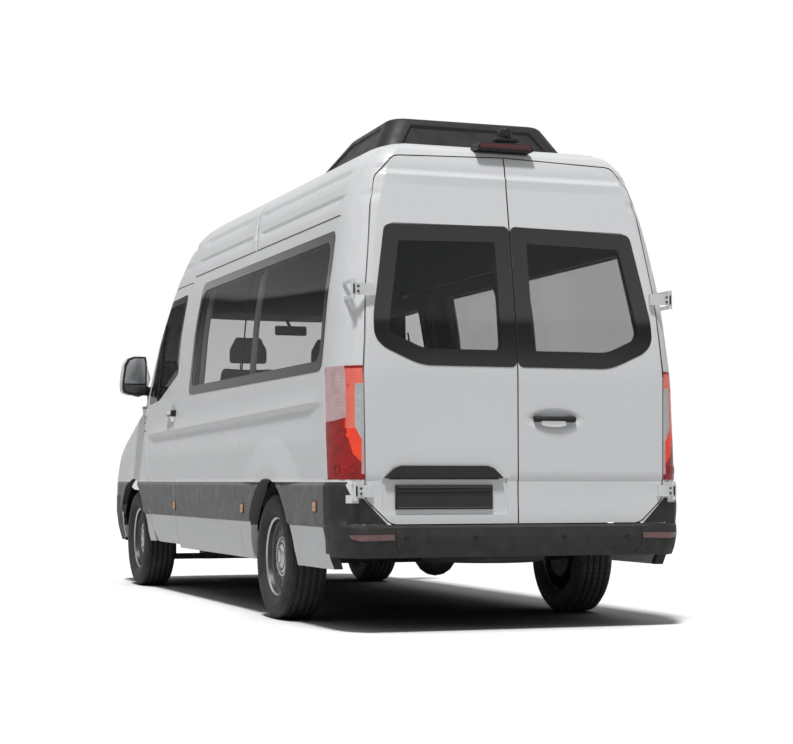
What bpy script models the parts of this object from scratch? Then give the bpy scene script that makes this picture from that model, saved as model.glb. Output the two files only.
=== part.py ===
"""High roof window van, modelled as separate body, door, glass, running gear and cab parts.

Units are metres. +X is forward, +Y is the left side, +Z is up, and the ground is at zero height.
The body skin is one loft of horizontal slices. Panels, doors, lamps and glass are cut from offset
copies of that loft, so that they meet each other along their shut lines.
"""
import math

import bmesh
import bpy
from mathutils import Matrix, Vector

# Overall sizes
BODY_LENGTH = 5.932
BODY_HALF_WIDTH = 1.000
ROOF_HEIGHT = 2.620
WHEELBASE = 3.665
REAR_OVERHANG = 1.262
TRACK = 1.736
REAR_REACH = BODY_LENGTH / 2
FRONT_REACH = BODY_LENGTH / 2
REAR_AXLE_X = REAR_OVERHANG - REAR_REACH
FRONT_AXLE_X = REAR_AXLE_X + WHEELBASE

# Gaps and walls
SEAT_GAP = 0.0003
SHUT_GAP = 0.0065
OVERRUN = 0.300
WALL = 0.060
DOOR_WALL = 0.060
THIN_WALL = 0.035
POST_WALL = 0.100
LAMP_DEPTH = 0.050
GLASS_THICKNESS = 0.005
SKIN_LIP = 0.012
REBATE = 0.011

# Wheels and tyres
TYRE_RADIUS = 0.350
TYRE_WIDTH = 0.235
RIM_RADIUS = 0.2205
RIM_WIDTH = 0.165
FLANGE_THICKNESS = 0.0105
RIM_SEAT_DEPTH = 0.017
RIM_WELL_DEPTH = 0.032
ARCH_RADIUS = 0.440
WHEEL_BOX_WALL = 0.030
WHEEL_SEGMENTS = 20
ARCH_SEGMENTS = 32
FLAT_ANGLE_DEGREES = 0.05

# Body levels, as shares of roof height, half width, rear reach, front reach and front corner depth,
# and the squareness of the front corner
FRONT_CORNER_DEPTH = 0.500
LEVEL_SHARES = (
    (0.1221, 0.955, 0.9778, 0.9862, 0.90, 4.0),
    (0.1603, 0.976, 0.9963, 0.9970, 0.90, 4.0),
    (0.1832, 0.983, 1.0000, 1.0000, 0.90, 4.0),
    (0.2042, 0.991, 0.9963, 0.9997, 0.90, 4.0),
    (0.2122, 1.008, 0.9848, 0.9990, 0.90, 4.0),
    (0.2870, 1.009, 0.9845, 0.9852, 0.90, 4.0),
    (0.2931, 0.996, 0.9845, 0.9835, 0.90, 4.0),
    (0.3588, 0.996, 0.9845, 0.9558, 0.90, 3.4),
    (0.4008, 0.9899, 0.9845, 0.9120, 0.94, 3.0),
    (0.4389, 0.9843, 0.9845, 0.8429, 0.96, 2.6),
    (0.4656, 0.9804, 0.9845, 0.7906, 0.98, 2.5),
    (0.4962, 0.976, 0.9845, 0.7249, 1.00, 2.4),
    (0.5725, 0.9582, 0.9801, 0.6797, 1.00, 2.4),
    (0.6679, 0.936, 0.9683, 0.6254, 1.00, 2.4),
    (0.7443, 0.905, 0.9568, 0.5806, 1.00, 2.4),
    (0.8282, 0.862, 0.9434, 0.5293, 1.00, 2.4),
    (0.8893, 0.815, 0.9339, 0.4879, 1.00, 2.4),
    (0.9351, 0.765, 0.9255, 0.4477, 1.00, 2.4),
    (0.9618, 0.700, 0.9154, 0.4046, 0.96, 2.4),
    (0.9790, 0.620, 0.8833, 0.3506, 0.92, 2.4),
    (0.9924, 0.450, 0.7923, 0.2360, 0.84, 2.4),
    (1.0000, 0.180, 0.5732, 0.0337, 0.60, 2.4),
)
GUTTER_SHARE = 0.8282
COARSE_LEVELS = (0, 2, 4, 6, 7, 9, 11, 13, 15, 17, 19, 21)
REAR_CORNER_DEPTH = 0.270
REAR_CORNER_WIDTH_SHARE = 0.150
REAR_FACE_SHARES = (0.0, 0.5)
REAR_CORNER_STEPS = 3
SIDE_SHARES = (0.50,)
FRONT_STEPS = 6

# Panel seams along the body
REAR_CORNER_LENGTH = 0.322
LAMP_LOW_LENGTH = 0.221
BUMPER_SIDE_LENGTH = 0.242
REAR_SEAM_X = REAR_CORNER_LENGTH - REAR_REACH
LAMP_FRONT_LOW_X = LAMP_LOW_LENGTH - REAR_REACH
BUMPER_SIDE_X = BUMPER_SIDE_LENGTH - REAR_REACH
DOOR_REAR_X = 0.645
ROOF_SEAM_X = 0.730
FRONT_BUMPER_X = 2.420
SILL_Z = 0.345
GUTTER_Z = 2.170
REAR_BUMPER_LOW_Z = 0.385
REAR_BUMPER_TOP_Z = 0.536
BUMPER_CORNER_Z = 0.660
FRONT_BUMPER_TOP_Z = 0.660
LAMP_LOW_Z = 0.780
LAMP_TOP_Z = 1.360
FENDER_TOP_Z = 1.220
SCUTTLE_LOW_Z = 1.150

# Front door, in side view
DOOR_TOP_Z = 2.130
DOOR_SHARES = (
    (0.000, 0.000), (0.595, 0.000), (0.700, 0.053), (0.745, 0.126), (0.810, 0.255), (0.915, 0.406),
    (1.000, 0.507), (1.000, 0.541), (0.640, 1.000), (0.000, 1.000),
)
DOOR_LENGTH = 1.050
DOOR_CORNER = 0.035
FRONT_HINGE_X = 1.712
FRONT_HINGE_INSET = 0.018
FRONT_HINGE_Y = BODY_HALF_WIDTH - FRONT_HINGE_INSET
FRONT_HINGE_LOW_Z = 1.165
FRONT_HINGE_HIGH_Z = 1.275
HINGE_RADIUS = 0.008
HINGE_LENGTH = 0.050
HINGE_STRAP = 0.095
HINGE_WEB = 0.030
HINGE_EAR = 0.018
HINGE_LEAF = 0.008
BELT_Z = 1.345
DOOR_GLASS_SHARES = (
    (0.090, 0.650), (0.580, 0.560), (0.915, 0.545), (0.600, 0.955), (0.090, 0.962),
)
GLASS_CORNER = 0.045
GLASS_FRAME = 0.045

# Side windows, in side view
SIDE_GLASS_TOP_Z = 2.090
SIDE_GLASS_FRONT_X = 0.335
SIDE_GLASS_REAR_X = -2.590
SIDE_GLASS_RAKE = 0.055
SIDE_GLASS_CORNER = 0.070
SLIDING_DOOR_FRONT_X = 0.527
SLIDING_DOOR_REAR_X = -0.780
SLIDING_GLASS_FRONT_X = 0.430
SLIDING_GLASS_REAR_X = -0.690
QUARTER_GLASS_FRONT_X = -0.870

# Rear doors, in rear view
REAR_DOOR_LOW_Z = 0.555
REAR_HEADER_HEIGHT = 0.125
REAR_POST_WIDTH = 0.155
REAR_DOOR_TOP_Z = ROOF_HEIGHT - REAR_HEADER_HEIGHT
REAR_DOOR_HALF_WIDTH = BODY_HALF_WIDTH - REAR_POST_WIDTH
REAR_DOOR_SHARES = (
    (0.000, 0.000), (0.830, 0.000), (0.990, 0.065), (1.000, 0.400), (0.965, 0.626), (0.900, 0.848),
    (0.860, 0.930), (0.740, 0.990), (0.000, 1.000),
)
REAR_DOOR_CORNER = 0.060
CENTRE_GAP = 0.0035
REAR_GLASS_SHARES = (
    (0.014, 0.420), (0.620, 0.420), (0.885, 0.470), (0.935, 0.514), (0.835, 0.790), (0.780, 0.803),
    (0.014, 0.806),
)
REAR_GLASS_FRAME = 0.070
REAR_HINGE_OFFSET = 0.029
REAR_HINGE_INSET = 0.100
REAR_HINGE_X = REAR_HINGE_OFFSET - REAR_REACH
REAR_HINGE_Y = BODY_HALF_WIDTH - REAR_HINGE_INSET
REAR_HINGE_LOW_Z = 0.722
REAR_HINGE_HIGH_Z = 1.750
REAR_HINGE_LEAN = 0.040
REAR_HINGE_RADIUS = 0.012
REAR_HINGE_LENGTH = 0.060
REAR_HINGE_EAR = 0.018
REAR_HINGE_PLAY = 0.0012
PLATE_RECESS_DEPTH = 0.010
PLATE_RECESS_MARGIN = 0.095
PLATE_RECESS_OUTER_Y = REAR_DOOR_HALF_WIDTH - PLATE_RECESS_MARGIN
PLATE_RECESS_INNER_Y = 0.060
PLATE_RECESS_LOW_Z = 0.600
PLATE_RECESS_TOP_Z = 0.790

# Windscreen, in front view
WINDSCREEN_LOW_Z = 1.335
WINDSCREEN_TOP_Z = 2.020
WINDSCREEN_LOW_PILLAR = 0.200
WINDSCREEN_TOP_PILLAR = 0.310
WINDSCREEN_LOW_HALF_WIDTH = BODY_HALF_WIDTH - WINDSCREEN_LOW_PILLAR
WINDSCREEN_TOP_HALF_WIDTH = BODY_HALF_WIDTH - WINDSCREEN_TOP_PILLAR
WINDSCREEN_CORNER = 0.080

# Bonnet, grille and headlamps
BONNET_REAR_X = 2.215
WING_REAR_WIDTH = 0.300
WING_FRONT_WIDTH = 0.400
BONNET_REAR_HALF_WIDTH = BODY_HALF_WIDTH - WING_REAR_WIDTH
BONNET_FRONT_HALF_WIDTH = BODY_HALF_WIDTH - WING_FRONT_WIDTH
BONNET_LOW_Z = 0.985
BONNET_GAP = 0.007
BONNET_REAR_GAP = 0.042
BONNET_HINGE_INSET = 0.200
BONNET_HINGE_Y = BONNET_REAR_HALF_WIDTH - BONNET_HINGE_INSET
BONNET_HINGE_SINK = 0.030
BONNET_HINGE_RADIUS = 0.006
GRILLE_INSET = 0.520
GRILLE_HALF_WIDTH = BODY_HALF_WIDTH - GRILLE_INSET
GRILLE_SLOTS = 5
GRILLE_BAR_SHARE = 0.350
HEADLAMP_SHARES = (
    (0.000, 0.000), (0.700, 0.120), (1.000, 0.420), (1.000, 1.000), (0.500, 1.000), (0.410, 0.840),
    (0.000, 0.840),
)
HEADLAMP_INSET = 0.035
HEADLAMP_OUTER_Y = BODY_HALF_WIDTH - HEADLAMP_INSET
HEADLAMP_TOP_Z = 1.040
HEADLAMP_REAR_X = 2.480

# Floor and frame
FLOOR_LOW_Z = 0.620
FLOOR_TOP_Z = 0.660
FLOOR_REAR_OFFSET = 0.151
FLOOR_REAR_X = FLOOR_REAR_OFFSET - REAR_REACH
FLOOR_FRONT_X = 1.440
FLOOR_CORNER_INSET = 0.115
FLOOR_REAR_INSET = 0.230
FLOOR_CORNER_Y = BODY_HALF_WIDTH - FLOOR_CORNER_INSET
FLOOR_REAR_HALF_WIDTH = BODY_HALF_WIDTH - FLOOR_REAR_INSET
RAIL_INSET = 0.388
RAIL_WIDTH = 0.080
RAIL_OUTER_Y = TRACK / 2 - RAIL_INSET
RAIL_INNER_Y = RAIL_OUTER_Y - RAIL_WIDTH
RAIL_LOW_Z = 0.460
RAIL_FRONT_X = 2.750
JACK_PAD_X = 0.900
JACK_PAD_LENGTH = 0.120
JACK_PAD_DEPTH = 0.010
BRACKET_TOP_Z = 0.530
WHEEL_BOX_INSET = 0.268
WHEEL_BOX_INNER_Y = TRACK / 2 - WHEEL_BOX_INSET
BULKHEAD_WALL = 0.040
BULKHEAD_SHELF_Z = 0.820
BULKHEAD_FRONT_X = 1.980
BULKHEAD_TOP_Z = 1.190
BULKHEAD_CLEARANCE = 0.066
CROSSMEMBER_LENGTH = 0.120

# Running gear
AXLE_TUBE_RADIUS = 0.045
DIFFERENTIAL_RADIUS = 0.125
DRUM_RADIUS = 0.140
DRUM_WIDTH = 0.060
HUB_RADIUS = 0.060
HUB_FACE_INSET = 0.020
SPRING_INSET = 0.308
SPRING_Y = TRACK / 2 - SPRING_INSET
SPRING_WIDTH = 0.070
SPRING_THICKNESS = 0.040
SPRING_REACH = 0.680
SPRING_RISE = 0.110
KINGPIN_INSET = 0.168
KINGPIN_Y = TRACK / 2 - KINGPIN_INSET
KINGPIN_RADIUS = 0.022
KINGPIN_LOW_Z = 0.230
KINGPIN_TOP_Z = 0.600
SPINDLE_RADIUS = 0.040
STRUT_RADIUS = 0.030
STRUT_TOP_Z = 0.745
TOWER_MARGIN = 0.060
TOWER_OUTER_Y = KINGPIN_Y + TOWER_MARGIN
ARM_HALF_LENGTH = 0.050
ARM_LOW_Z = 0.190
SUBFRAME_TOP_Z = 0.340
SUBFRAME_HALF_LENGTH = 0.080

# Engine, tank, exhaust and spare wheel
ENGINE_REAR_X = 2.040
ENGINE_FRONT_X = 2.600
ENGINE_MARGIN = 0.100
ENGINE_HALF_WIDTH = RAIL_INNER_Y - ENGINE_MARGIN
ENGINE_LOW_Z = 0.520
ENGINE_TOP_Z = 0.960
TANK_FRONT_X = 0.400
TANK_REAR_X = -0.500
TANK_MARGIN = 0.020
TANK_SIDE_MARGIN = 0.140
TANK_INNER_Y = RAIL_OUTER_Y + TANK_MARGIN
TANK_OUTER_Y = BODY_HALF_WIDTH - TANK_SIDE_MARGIN
TANK_LOW_Z = 0.380
TANK_CORNER = 0.040
SILENCER_RADIUS = 0.100
SILENCER_FRONT_X = 0.100
SILENCER_REAR_X = -0.600
SILENCER_MARGIN = 0.140
SILENCER_Y = -RAIL_OUTER_Y - SILENCER_MARGIN
SILENCER_Z = 0.470
PIPE_RADIUS = 0.028
PIPE_END_X = -2.600
PIPE_FRONT_X = 0.900
PIPE_SET = 0.065
PIPE_LOW_Y = SILENCER_Y - PIPE_SET
HANGER_HALF_WIDTH = 0.020
SPARE_X = -2.430
SPARE_LOW_Z = 0.290
SPARE_RADIUS = 0.345
SPARE_WIDTH = 0.215
SPARE_BOSS_RADIUS = 0.070

# Cab
DASH_INSET = 0.210
DASH_HALF_WIDTH = BODY_HALF_WIDTH - DASH_INSET
DASH_CLEARANCE = 0.075
COLUMN_TILT = math.radians(30)
DASH_FACE_LENGTH = 0.220
DASH_FOOT_X = 1.330
DASH_FOOT_Z = 0.950
STEERING_WHEEL_RADIUS = 0.190
STEERING_RIM_RADIUS = 0.014
COLUMN_LENGTH = 0.300
COLUMN_RADIUS = 0.030
DRIVER_Y = 0.450
SEAT_REAR_X = 0.720
SEAT_FRONT_X = 1.230
SEAT_HALF_WIDTH = 0.240
BENCH_INNER_Y = 0.060
BENCH_SIDE_MARGIN = 0.240
BENCH_OUTER_Y = BENCH_SIDE_MARGIN - BODY_HALF_WIDTH
SEAT_BASE_Z = 0.860
SEAT_TOP_Z = 1.000
BACKREST_TOP_Z = 1.560
BACKREST_THICKNESS = 0.120
HEADREST_TOP_Z = 1.780
HEADREST_HALF_WIDTH = 0.130
SEAT_CORNER = 0.030

# Roof unit, high lamp and mirrors
ROOF_UNIT_REAR_X = -2.390
ROOF_UNIT_FRONT_X = -1.150
ROOF_UNIT_INSET = 0.410
ROOF_UNIT_SINK = 0.120
ROOF_UNIT_SHOULDER = 0.080
ROOF_UNIT_HEIGHT = 0.165
ROOF_UNIT_HALF_WIDTH = BODY_HALF_WIDTH - ROOF_UNIT_INSET
ROOF_UNIT_LOW_Z = ROOF_HEIGHT - ROOF_UNIT_SINK
ROOF_UNIT_SHOULDER_Z = ROOF_HEIGHT + ROOF_UNIT_SHOULDER
ROOF_UNIT_TOP_Z = ROOF_HEIGHT + ROOF_UNIT_HEIGHT
ROOF_UNIT_TAPER = 0.130
ROOF_UNIT_GAP = 0.0008
HIGH_LAMP_HALF_WIDTH = 0.165
HIGH_LAMP_OFFSET = 0.191
HIGH_LAMP_REAR_X = HIGH_LAMP_OFFSET - REAR_REACH
HIGH_LAMP_LENGTH = 0.120
HIGH_LAMP_DROP = 0.030
HIGH_LAMP_HEIGHT = 0.070
HIGH_LAMP_TOP_Z = ROOF_HEIGHT - HIGH_LAMP_DROP
HIGH_LAMP_LOW_Z = HIGH_LAMP_TOP_Z - HIGH_LAMP_HEIGHT
MIRROR_REAR_X = 1.590
MIRROR_FRONT_X = 1.790
MIRROR_GAP = 0.035
MIRROR_WIDTH = 0.137
MIRROR_INNER_Y = BODY_HALF_WIDTH + MIRROR_GAP
MIRROR_OUTER_Y = MIRROR_INNER_Y + MIRROR_WIDTH
MIRROR_LOW_Z = 1.400
MIRROR_TOP_Z = 1.680
MIRROR_CORNER = 0.035
MIRROR_ARM_X = 1.625
MIRROR_ARM_HALF = 0.020
MIRROR_ARM_Z = 1.440

# Colours and finishes, as red, green, blue, roughness and metallic value
WHITE_PAINT = (0.72, 0.74, 0.76, 0.30, 0.0)
CHARCOAL_PLASTIC = (0.035, 0.038, 0.042, 0.60, 0.0)
GREY_PLASTIC = (0.120, 0.125, 0.130, 0.60, 0.0)
DARK_GLASS = (0.015, 0.018, 0.022, 0.08, 0.0)
RED_LAMP = (0.45, 0.02, 0.015, 0.20, 0.0)
CLEAR_LAMP = (0.75, 0.77, 0.80, 0.12, 0.0)
BLACK_RUBBER = (0.020, 0.020, 0.021, 0.85, 0.0)
DARK_STEEL = (0.060, 0.062, 0.066, 0.50, 0.8)
GREY_FABRIC = (0.055, 0.057, 0.062, 0.95, 0.0)

PARTS = "window_van"
CUTTERS = "window_van_cutters"


def clear_scene():
    """Start from an empty scene."""
    for item in list(bpy.data.objects):
        bpy.data.objects.remove(item)
    for name in (PARTS, CUTTERS):
        bpy.context.scene.collection.children.link(bpy.data.collections.new(name))


def material(name, finish):
    """Make one Principled material from a finish tuple."""
    red, green, blue, roughness, metallic = finish
    made = bpy.data.materials.new(name)
    made.use_nodes = True
    shader = made.node_tree.nodes["Principled BSDF"]
    shader.inputs["Base Color"].default_value = (red, green, blue, 1.0)
    shader.inputs["Roughness"].default_value = roughness
    shader.inputs["Metallic"].default_value = metallic
    return made


def guide(mesh, name="guide"):
    """Wrap a mesh in a hidden helper object."""
    helper = bpy.data.objects.new(name, mesh)
    helper.hide_render = True
    helper.display_type = "WIRE"
    bpy.data.collections[CUTTERS].objects.link(helper)
    return helper


def mesh_from(work, name="shape"):
    """Turn a bmesh into a mesh with outward faces."""
    bmesh.ops.recalc_face_normals(work, faces=work.faces)
    mesh = bpy.data.meshes.new(name)
    work.to_mesh(mesh)
    work.free()
    return mesh


def box(low, high):
    """Make a block between two corners."""
    work = bmesh.new()
    bmesh.ops.create_cube(work, size=1.0)
    size = Vector(high) - Vector(low)
    bmesh.ops.scale(work, vec=size, verts=work.verts)
    bmesh.ops.translate(work, vec=Vector(low) + size / 2, verts=work.verts)
    return guide(mesh_from(work))


def padded_box(low, high, corner, segments=2):
    """Make a block with rounded edges."""
    shape = box(low, high)
    work = bmesh.new()
    work.from_mesh(shape.data)
    bmesh.ops.bevel(work, geom=work.edges[:], offset=corner, segments=segments, profile=0.5,
                    affect="EDGES", material=-1)
    discard(shape)
    return guide(mesh_from(work))


def plate(outline, low, high, normal):
    """Extrude an outline along the named axis, from low to high."""
    work = bmesh.new()
    place = {
        "x": lambda a, b: (low, a, b),
        "y": lambda a, b: (a, low, b),
        "z": lambda a, b: (a, b, low),
    }[normal]
    direction = {"x": (1.0, 0.0, 0.0), "y": (0.0, 1.0, 0.0), "z": (0.0, 0.0, 1.0)}[normal]
    face = work.faces.new([work.verts.new(place(a, b)) for a, b in outline])
    grown = bmesh.ops.extrude_face_region(work, geom=[face])
    moved = [item for item in grown["geom"] if isinstance(item, bmesh.types.BMVert)]
    bmesh.ops.translate(work, vec=Vector(direction) * (high - low), verts=moved)
    return guide(mesh_from(work))


def rod(start, end, radius, segments=12):
    """Make a cylinder between two points."""
    start, end = Vector(start), Vector(end)
    work = bmesh.new()
    bmesh.ops.create_cone(work, cap_ends=True, segments=segments, radius1=radius, radius2=radius,
                          depth=(end - start).length)
    turn = (end - start).to_track_quat("Z", "Y").to_matrix().to_4x4()
    bmesh.ops.transform(work, matrix=Matrix.Translation((start + end) / 2) @ turn, verts=work.verts)
    return guide(mesh_from(work))


def ball(centre, radius):
    """Make a sphere about a centre."""
    work = bmesh.new()
    bmesh.ops.create_uvsphere(work, u_segments=12, v_segments=8, radius=radius)
    bmesh.ops.translate(work, vec=centre, verts=work.verts)
    return guide(mesh_from(work))


def discard(*helpers):
    """Remove helpers that have done their work."""
    for helper in helpers:
        mesh = helper.data
        bpy.data.objects.remove(helper)
        bpy.data.meshes.remove(mesh)


def copy_of(shape):
    """Copy a helper with a mesh of its own."""
    return guide(shape.data.copy())


def evaluated_mesh(shape):
    """Return the shape's mesh with its modifiers applied."""
    graph = bpy.context.evaluated_depsgraph_get()
    return bpy.data.meshes.new_from_object(shape.evaluated_get(graph))


def combine(shape, tools, operation):
    """Apply exact Booleans of one kind to a shape, and remove the tools."""
    for tool in tools:
        modifier = shape.modifiers.new(operation.title(), "BOOLEAN")
        modifier.operation = operation
        modifier.object = tool
        modifier.solver = "EXACT"
    result = evaluated_mesh(shape)
    old = shape.data
    shape.modifiers.clear()
    shape.data = result
    bpy.data.meshes.remove(old)
    discard(*tools)
    tidy(shape)
    return shape


def tidy(shape):
    """Weld stray vertices and flatten faces that lie in one plane."""
    work = bmesh.new()
    work.from_mesh(shape.data)
    bmesh.ops.remove_doubles(work, verts=work.verts, dist=0.00005)
    bmesh.ops.dissolve_degenerate(work, edges=work.edges, dist=0.00005)
    work.to_mesh(shape.data)
    work.free()


def flatten(shape):
    """Merge neighbouring faces that lie in one plane."""
    work = bmesh.new()
    work.from_mesh(shape.data)
    bmesh.ops.dissolve_limit(work, angle_limit=math.radians(FLAT_ANGLE_DEGREES), verts=work.verts,
                             edges=work.edges)
    work.to_mesh(shape.data)
    work.free()


def cut(shape, *tools):
    """Cut tools away from a shape."""
    return combine(shape, tools, "DIFFERENCE")


def keep(shape, *tools):
    """Keep only what lies inside every tool."""
    return combine(shape, tools, "INTERSECT")


def unite(shape, *tools):
    """Join tools to a shape."""
    return combine(shape, tools, "UNION")


def mirrored(shape):
    """Copy a shape to the other side of the van."""
    work = bmesh.new()
    work.from_mesh(shape.data)
    bmesh.ops.scale(work, vec=(1.0, -1.0, 1.0), verts=work.verts)
    bmesh.ops.reverse_faces(work, faces=work.faces)
    mesh = bpy.data.meshes.new("mirrored")
    work.to_mesh(mesh)
    work.free()
    return guide(mesh)


def turned_over(shape):
    """Move a shape to the other side of the van."""
    other = mirrored(shape)
    discard(shape)
    return other


def finish(shape, name, look, pivot=None, smooth=False):
    """Name a finished part, give it its material and hang it from its pivot."""
    shape.name = name
    shape.data.name = name
    shape.hide_render = False
    shape.display_type = "TEXTURED"
    bpy.data.collections[CUTTERS].objects.unlink(shape)
    bpy.data.collections[PARTS].objects.link(shape)
    flatten(shape)
    shape.data.materials.clear()
    shape.data.materials.append(material(name, look))
    if smooth:
        shape.data.shade_smooth()
        shape.data.set_sharp_from_angle(angle=math.radians(40))
    if pivot:
        shape.parent = pivot
        shape.matrix_parent_inverse = pivot.matrix_world.inverted()
    return shape


def pivot_at(name, place):
    """Make an empty on a joint axis."""
    empty = bpy.data.objects.new(name, None)
    empty.location = place
    bpy.data.collections[PARTS].objects.link(empty)
    bpy.context.view_layer.update()
    return empty


def rounded(outline, radius, steps=2):
    """Round the corners of a closed outline with arcs."""
    smooth = []
    count = len(outline)
    for index, corner in enumerate(outline):
        here = Vector(corner)
        before = Vector(outline[index - 1]) - here
        after = Vector(outline[(index + 1) % count]) - here
        angle = before.angle(after)
        reach = min(radius / math.tan(angle / 2), 0.45 * before.length, 0.45 * after.length)
        start = here + before.normalized() * reach
        end = here + after.normalized() * reach
        if math.pi - angle < math.radians(12):
            smooth.append(tuple(here))
            continue
        for step in range(steps + 1):
            share = step / steps
            point = start.lerp(here, share).lerp(here.lerp(end, share), share)
            smooth.append(tuple(point))
    return smooth


def grown(outline, distance):
    """Move each side of a closed outline outwards by a distance."""
    count = len(outline)
    area = sum(outline[i - 1][0] * outline[i][1] - outline[i][0] * outline[i - 1][1]
               for i in range(count))
    side = 1.0 if area > 0 else -1.0
    moved = []
    for index, corner in enumerate(outline):
        here = Vector(corner)
        before = (here - Vector(outline[index - 1])).normalized()
        after = (Vector(outline[(index + 1) % count]) - here).normalized()
        first = Vector((before.y, -before.x)) * side
        second = Vector((after.y, -after.x)) * side
        bisector = (first + second).normalized()
        moved.append(tuple(here + bisector * distance / max(bisector.dot(first), 0.3)))
    return moved


def from_shares(shares, origin, size):
    """Place an outline that is given as shares of a size."""
    return [(origin[0] + a * size[0], origin[1] + b * size[1]) for a, b in shares]


# Body loft


def level_height(share):
    """Height of a body level. Levels above the gutter follow the roof's height."""
    if share <= GUTTER_SHARE:
        return GUTTER_Z * share / GUTTER_SHARE
    return GUTTER_Z + (ROOF_HEIGHT - GUTTER_Z) * (share - GUTTER_SHARE) / (1 - GUTTER_SHARE)


def level_at(height):
    """Interpolate the body's half width, rear and front at a height."""
    for low, high in zip(LEVEL_SHARES, LEVEL_SHARES[1:]):
        base, top = level_height(low[0]), level_height(high[0])
        if height <= top:
            part = max(height - base, 0.0) / (top - base)
            return [a + (b - a) * part for a, b in zip(low, high)]
    return list(LEVEL_SHARES[-1])


def half_slice(level, inset):
    """Give one half of a horizontal slice, from the rear centre to the front centre."""
    _, width, rear, front, depth, square = level
    half = width * BODY_HALF_WIDTH - inset
    back = inset - rear * REAR_REACH
    nose = front * FRONT_REACH - inset
    corner_width = half * REAR_CORNER_WIDTH_SHARE
    corner_depth = REAR_CORNER_DEPTH - inset
    points = [(back, share * half) for share in REAR_FACE_SHARES]
    for step in range(REAR_CORNER_STEPS + 1):
        angle = math.pi / 2 * step / REAR_CORNER_STEPS
        points.append((back + corner_depth * (1 - math.cos(angle)),
                       half - corner_width * (1 - math.sin(angle))))
    side_start = back + corner_depth
    side_end = nose - depth * FRONT_CORNER_DEPTH + inset
    points += [(side_start + (side_end - side_start) * share, half) for share in SIDE_SHARES]
    for step in range(FRONT_STEPS + 1):
        angle = math.pi / 2 * step / FRONT_STEPS
        along = math.sin(angle) ** (2 / square)
        across = math.cos(angle) ** (2 / square) if step < FRONT_STEPS else 0.0
        points.append((side_end + (nose - side_end) * along, half * across))
    return points


def full_slice(level, inset):
    """Mirror a half slice into a closed ring."""
    half = half_slice(level, inset)
    return half + [(x, -y) for x, y in reversed(half[1:-1])]


def hull(inset):
    """Loft the body between its levels, moved inwards and down by the inset."""
    work = bmesh.new()
    rings = []
    levels = LEVEL_SHARES
    if inset >= THIN_WALL:
        levels = [LEVEL_SHARES[index] for index in COARSE_LEVELS]
    for level in levels:
        height = level_height(level[0]) - inset
        rings.append([work.verts.new((x, y, height)) for x, y in full_slice(level, inset)])
    for low, high in zip(rings, rings[1:]):
        for index in range(len(low)):
            work.faces.new((low[index - 1], low[index], high[index], high[index - 1]))
    bmesh.ops.triangulate(work, faces=work.faces[:], quad_method="FIXED")
    work.faces.new(rings[0])
    work.faces.new(rings[-1])
    return guide(mesh_from(work))


def shell(thickness, depth=0.0):
    """Make the body skin of a thickness, starting at a depth below the surface."""
    return cut(hull(depth), hull(depth + thickness))


def side_tool(outline, inner=0.3):
    """Extrude a side view outline through the left side."""
    return plate(outline, BODY_HALF_WIDTH * inner, BODY_HALF_WIDTH + OVERRUN, "y")


def through_tool(outline):
    """Extrude a side view outline through both sides."""
    return plate(outline, -BODY_HALF_WIDTH - OVERRUN, BODY_HALF_WIDTH + OVERRUN, "y")


def rear_tool(outline):
    """Extrude a rear view outline through the rear face."""
    return plate(outline, -REAR_REACH - OVERRUN, REAR_SEAM_X + OVERRUN, "x")


def front_tool(outline, rear_x):
    """Extrude a front view outline through the nose or windscreen."""
    return plate(outline, rear_x, FRONT_REACH + OVERRUN, "x")


def windscreen_tool(outline):
    """Extrude a front view outline through the windscreen."""
    return front_tool(outline, ROOF_SEAM_X)


def rebated(shape, tool, outline, inner_tool):
    """Step the rim of a door inwards behind its outer skin."""
    ring = cut(tool(grown(outline, OVERRUN / 6)), inner_tool(grown(outline, -REBATE)))
    ring = keep(ring, hull(SKIN_LIP))
    return cut(shape, ring)


def glazed(shape, corners, radius, frame, tool):
    """Cut a glass recess and the clear hole behind it."""
    recess = cut(tool(rounded(corners, radius)), hull(GLASS_THICKNESS + SEAT_GAP))
    cut(shape, recess)
    return cut(shape, tool(rounded(grown(corners, -frame), radius)))


def pane(corners, radius, tool):
    """Make the glass that fills a recess."""
    return keep(shell(GLASS_THICKNESS), tool(grown(rounded(corners, radius), -SEAT_GAP)))


# Outlines that several parts share


def door_outline():
    """Front door in side view."""
    size = (DOOR_LENGTH + SHUT_GAP, DOOR_TOP_Z - SILL_Z)
    return rounded(from_shares(DOOR_SHARES, (DOOR_REAR_X, SILL_Z), size), DOOR_CORNER)


def door_glass_outline():
    """Corners of the front door glass in side view."""
    size = (DOOR_LENGTH, DOOR_TOP_Z - SILL_Z)
    return from_shares(DOOR_GLASS_SHARES, (DOOR_REAR_X, SILL_Z), size)


def rear_door_outline():
    """Left rear door in rear view."""
    size = (REAR_DOOR_HALF_WIDTH, REAR_DOOR_TOP_Z - REAR_DOOR_LOW_Z)
    outline = from_shares(REAR_DOOR_SHARES, (0.0, REAR_DOOR_LOW_Z), size)
    outline = [(max(y, CENTRE_GAP), z) for y, z in outline]
    return [outline[0]] + rounded(outline, REAR_DOOR_CORNER)[3:-3] + [outline[-1]]


def rear_opening_outline():
    """Opening for both rear doors in rear view."""
    left = [(max(y, 0.0), z) for y, z in grown(rear_door_outline(), SHUT_GAP)]
    return left + [(-y, z) for y, z in reversed(left[1:-1])]


def rear_glass_outline():
    """Corners of the left rear door glass in rear view."""
    size = (REAR_DOOR_HALF_WIDTH, REAR_DOOR_TOP_Z - REAR_DOOR_LOW_Z)
    return from_shares(REAR_GLASS_SHARES, (0.0, REAR_DOOR_LOW_Z), size)


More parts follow.
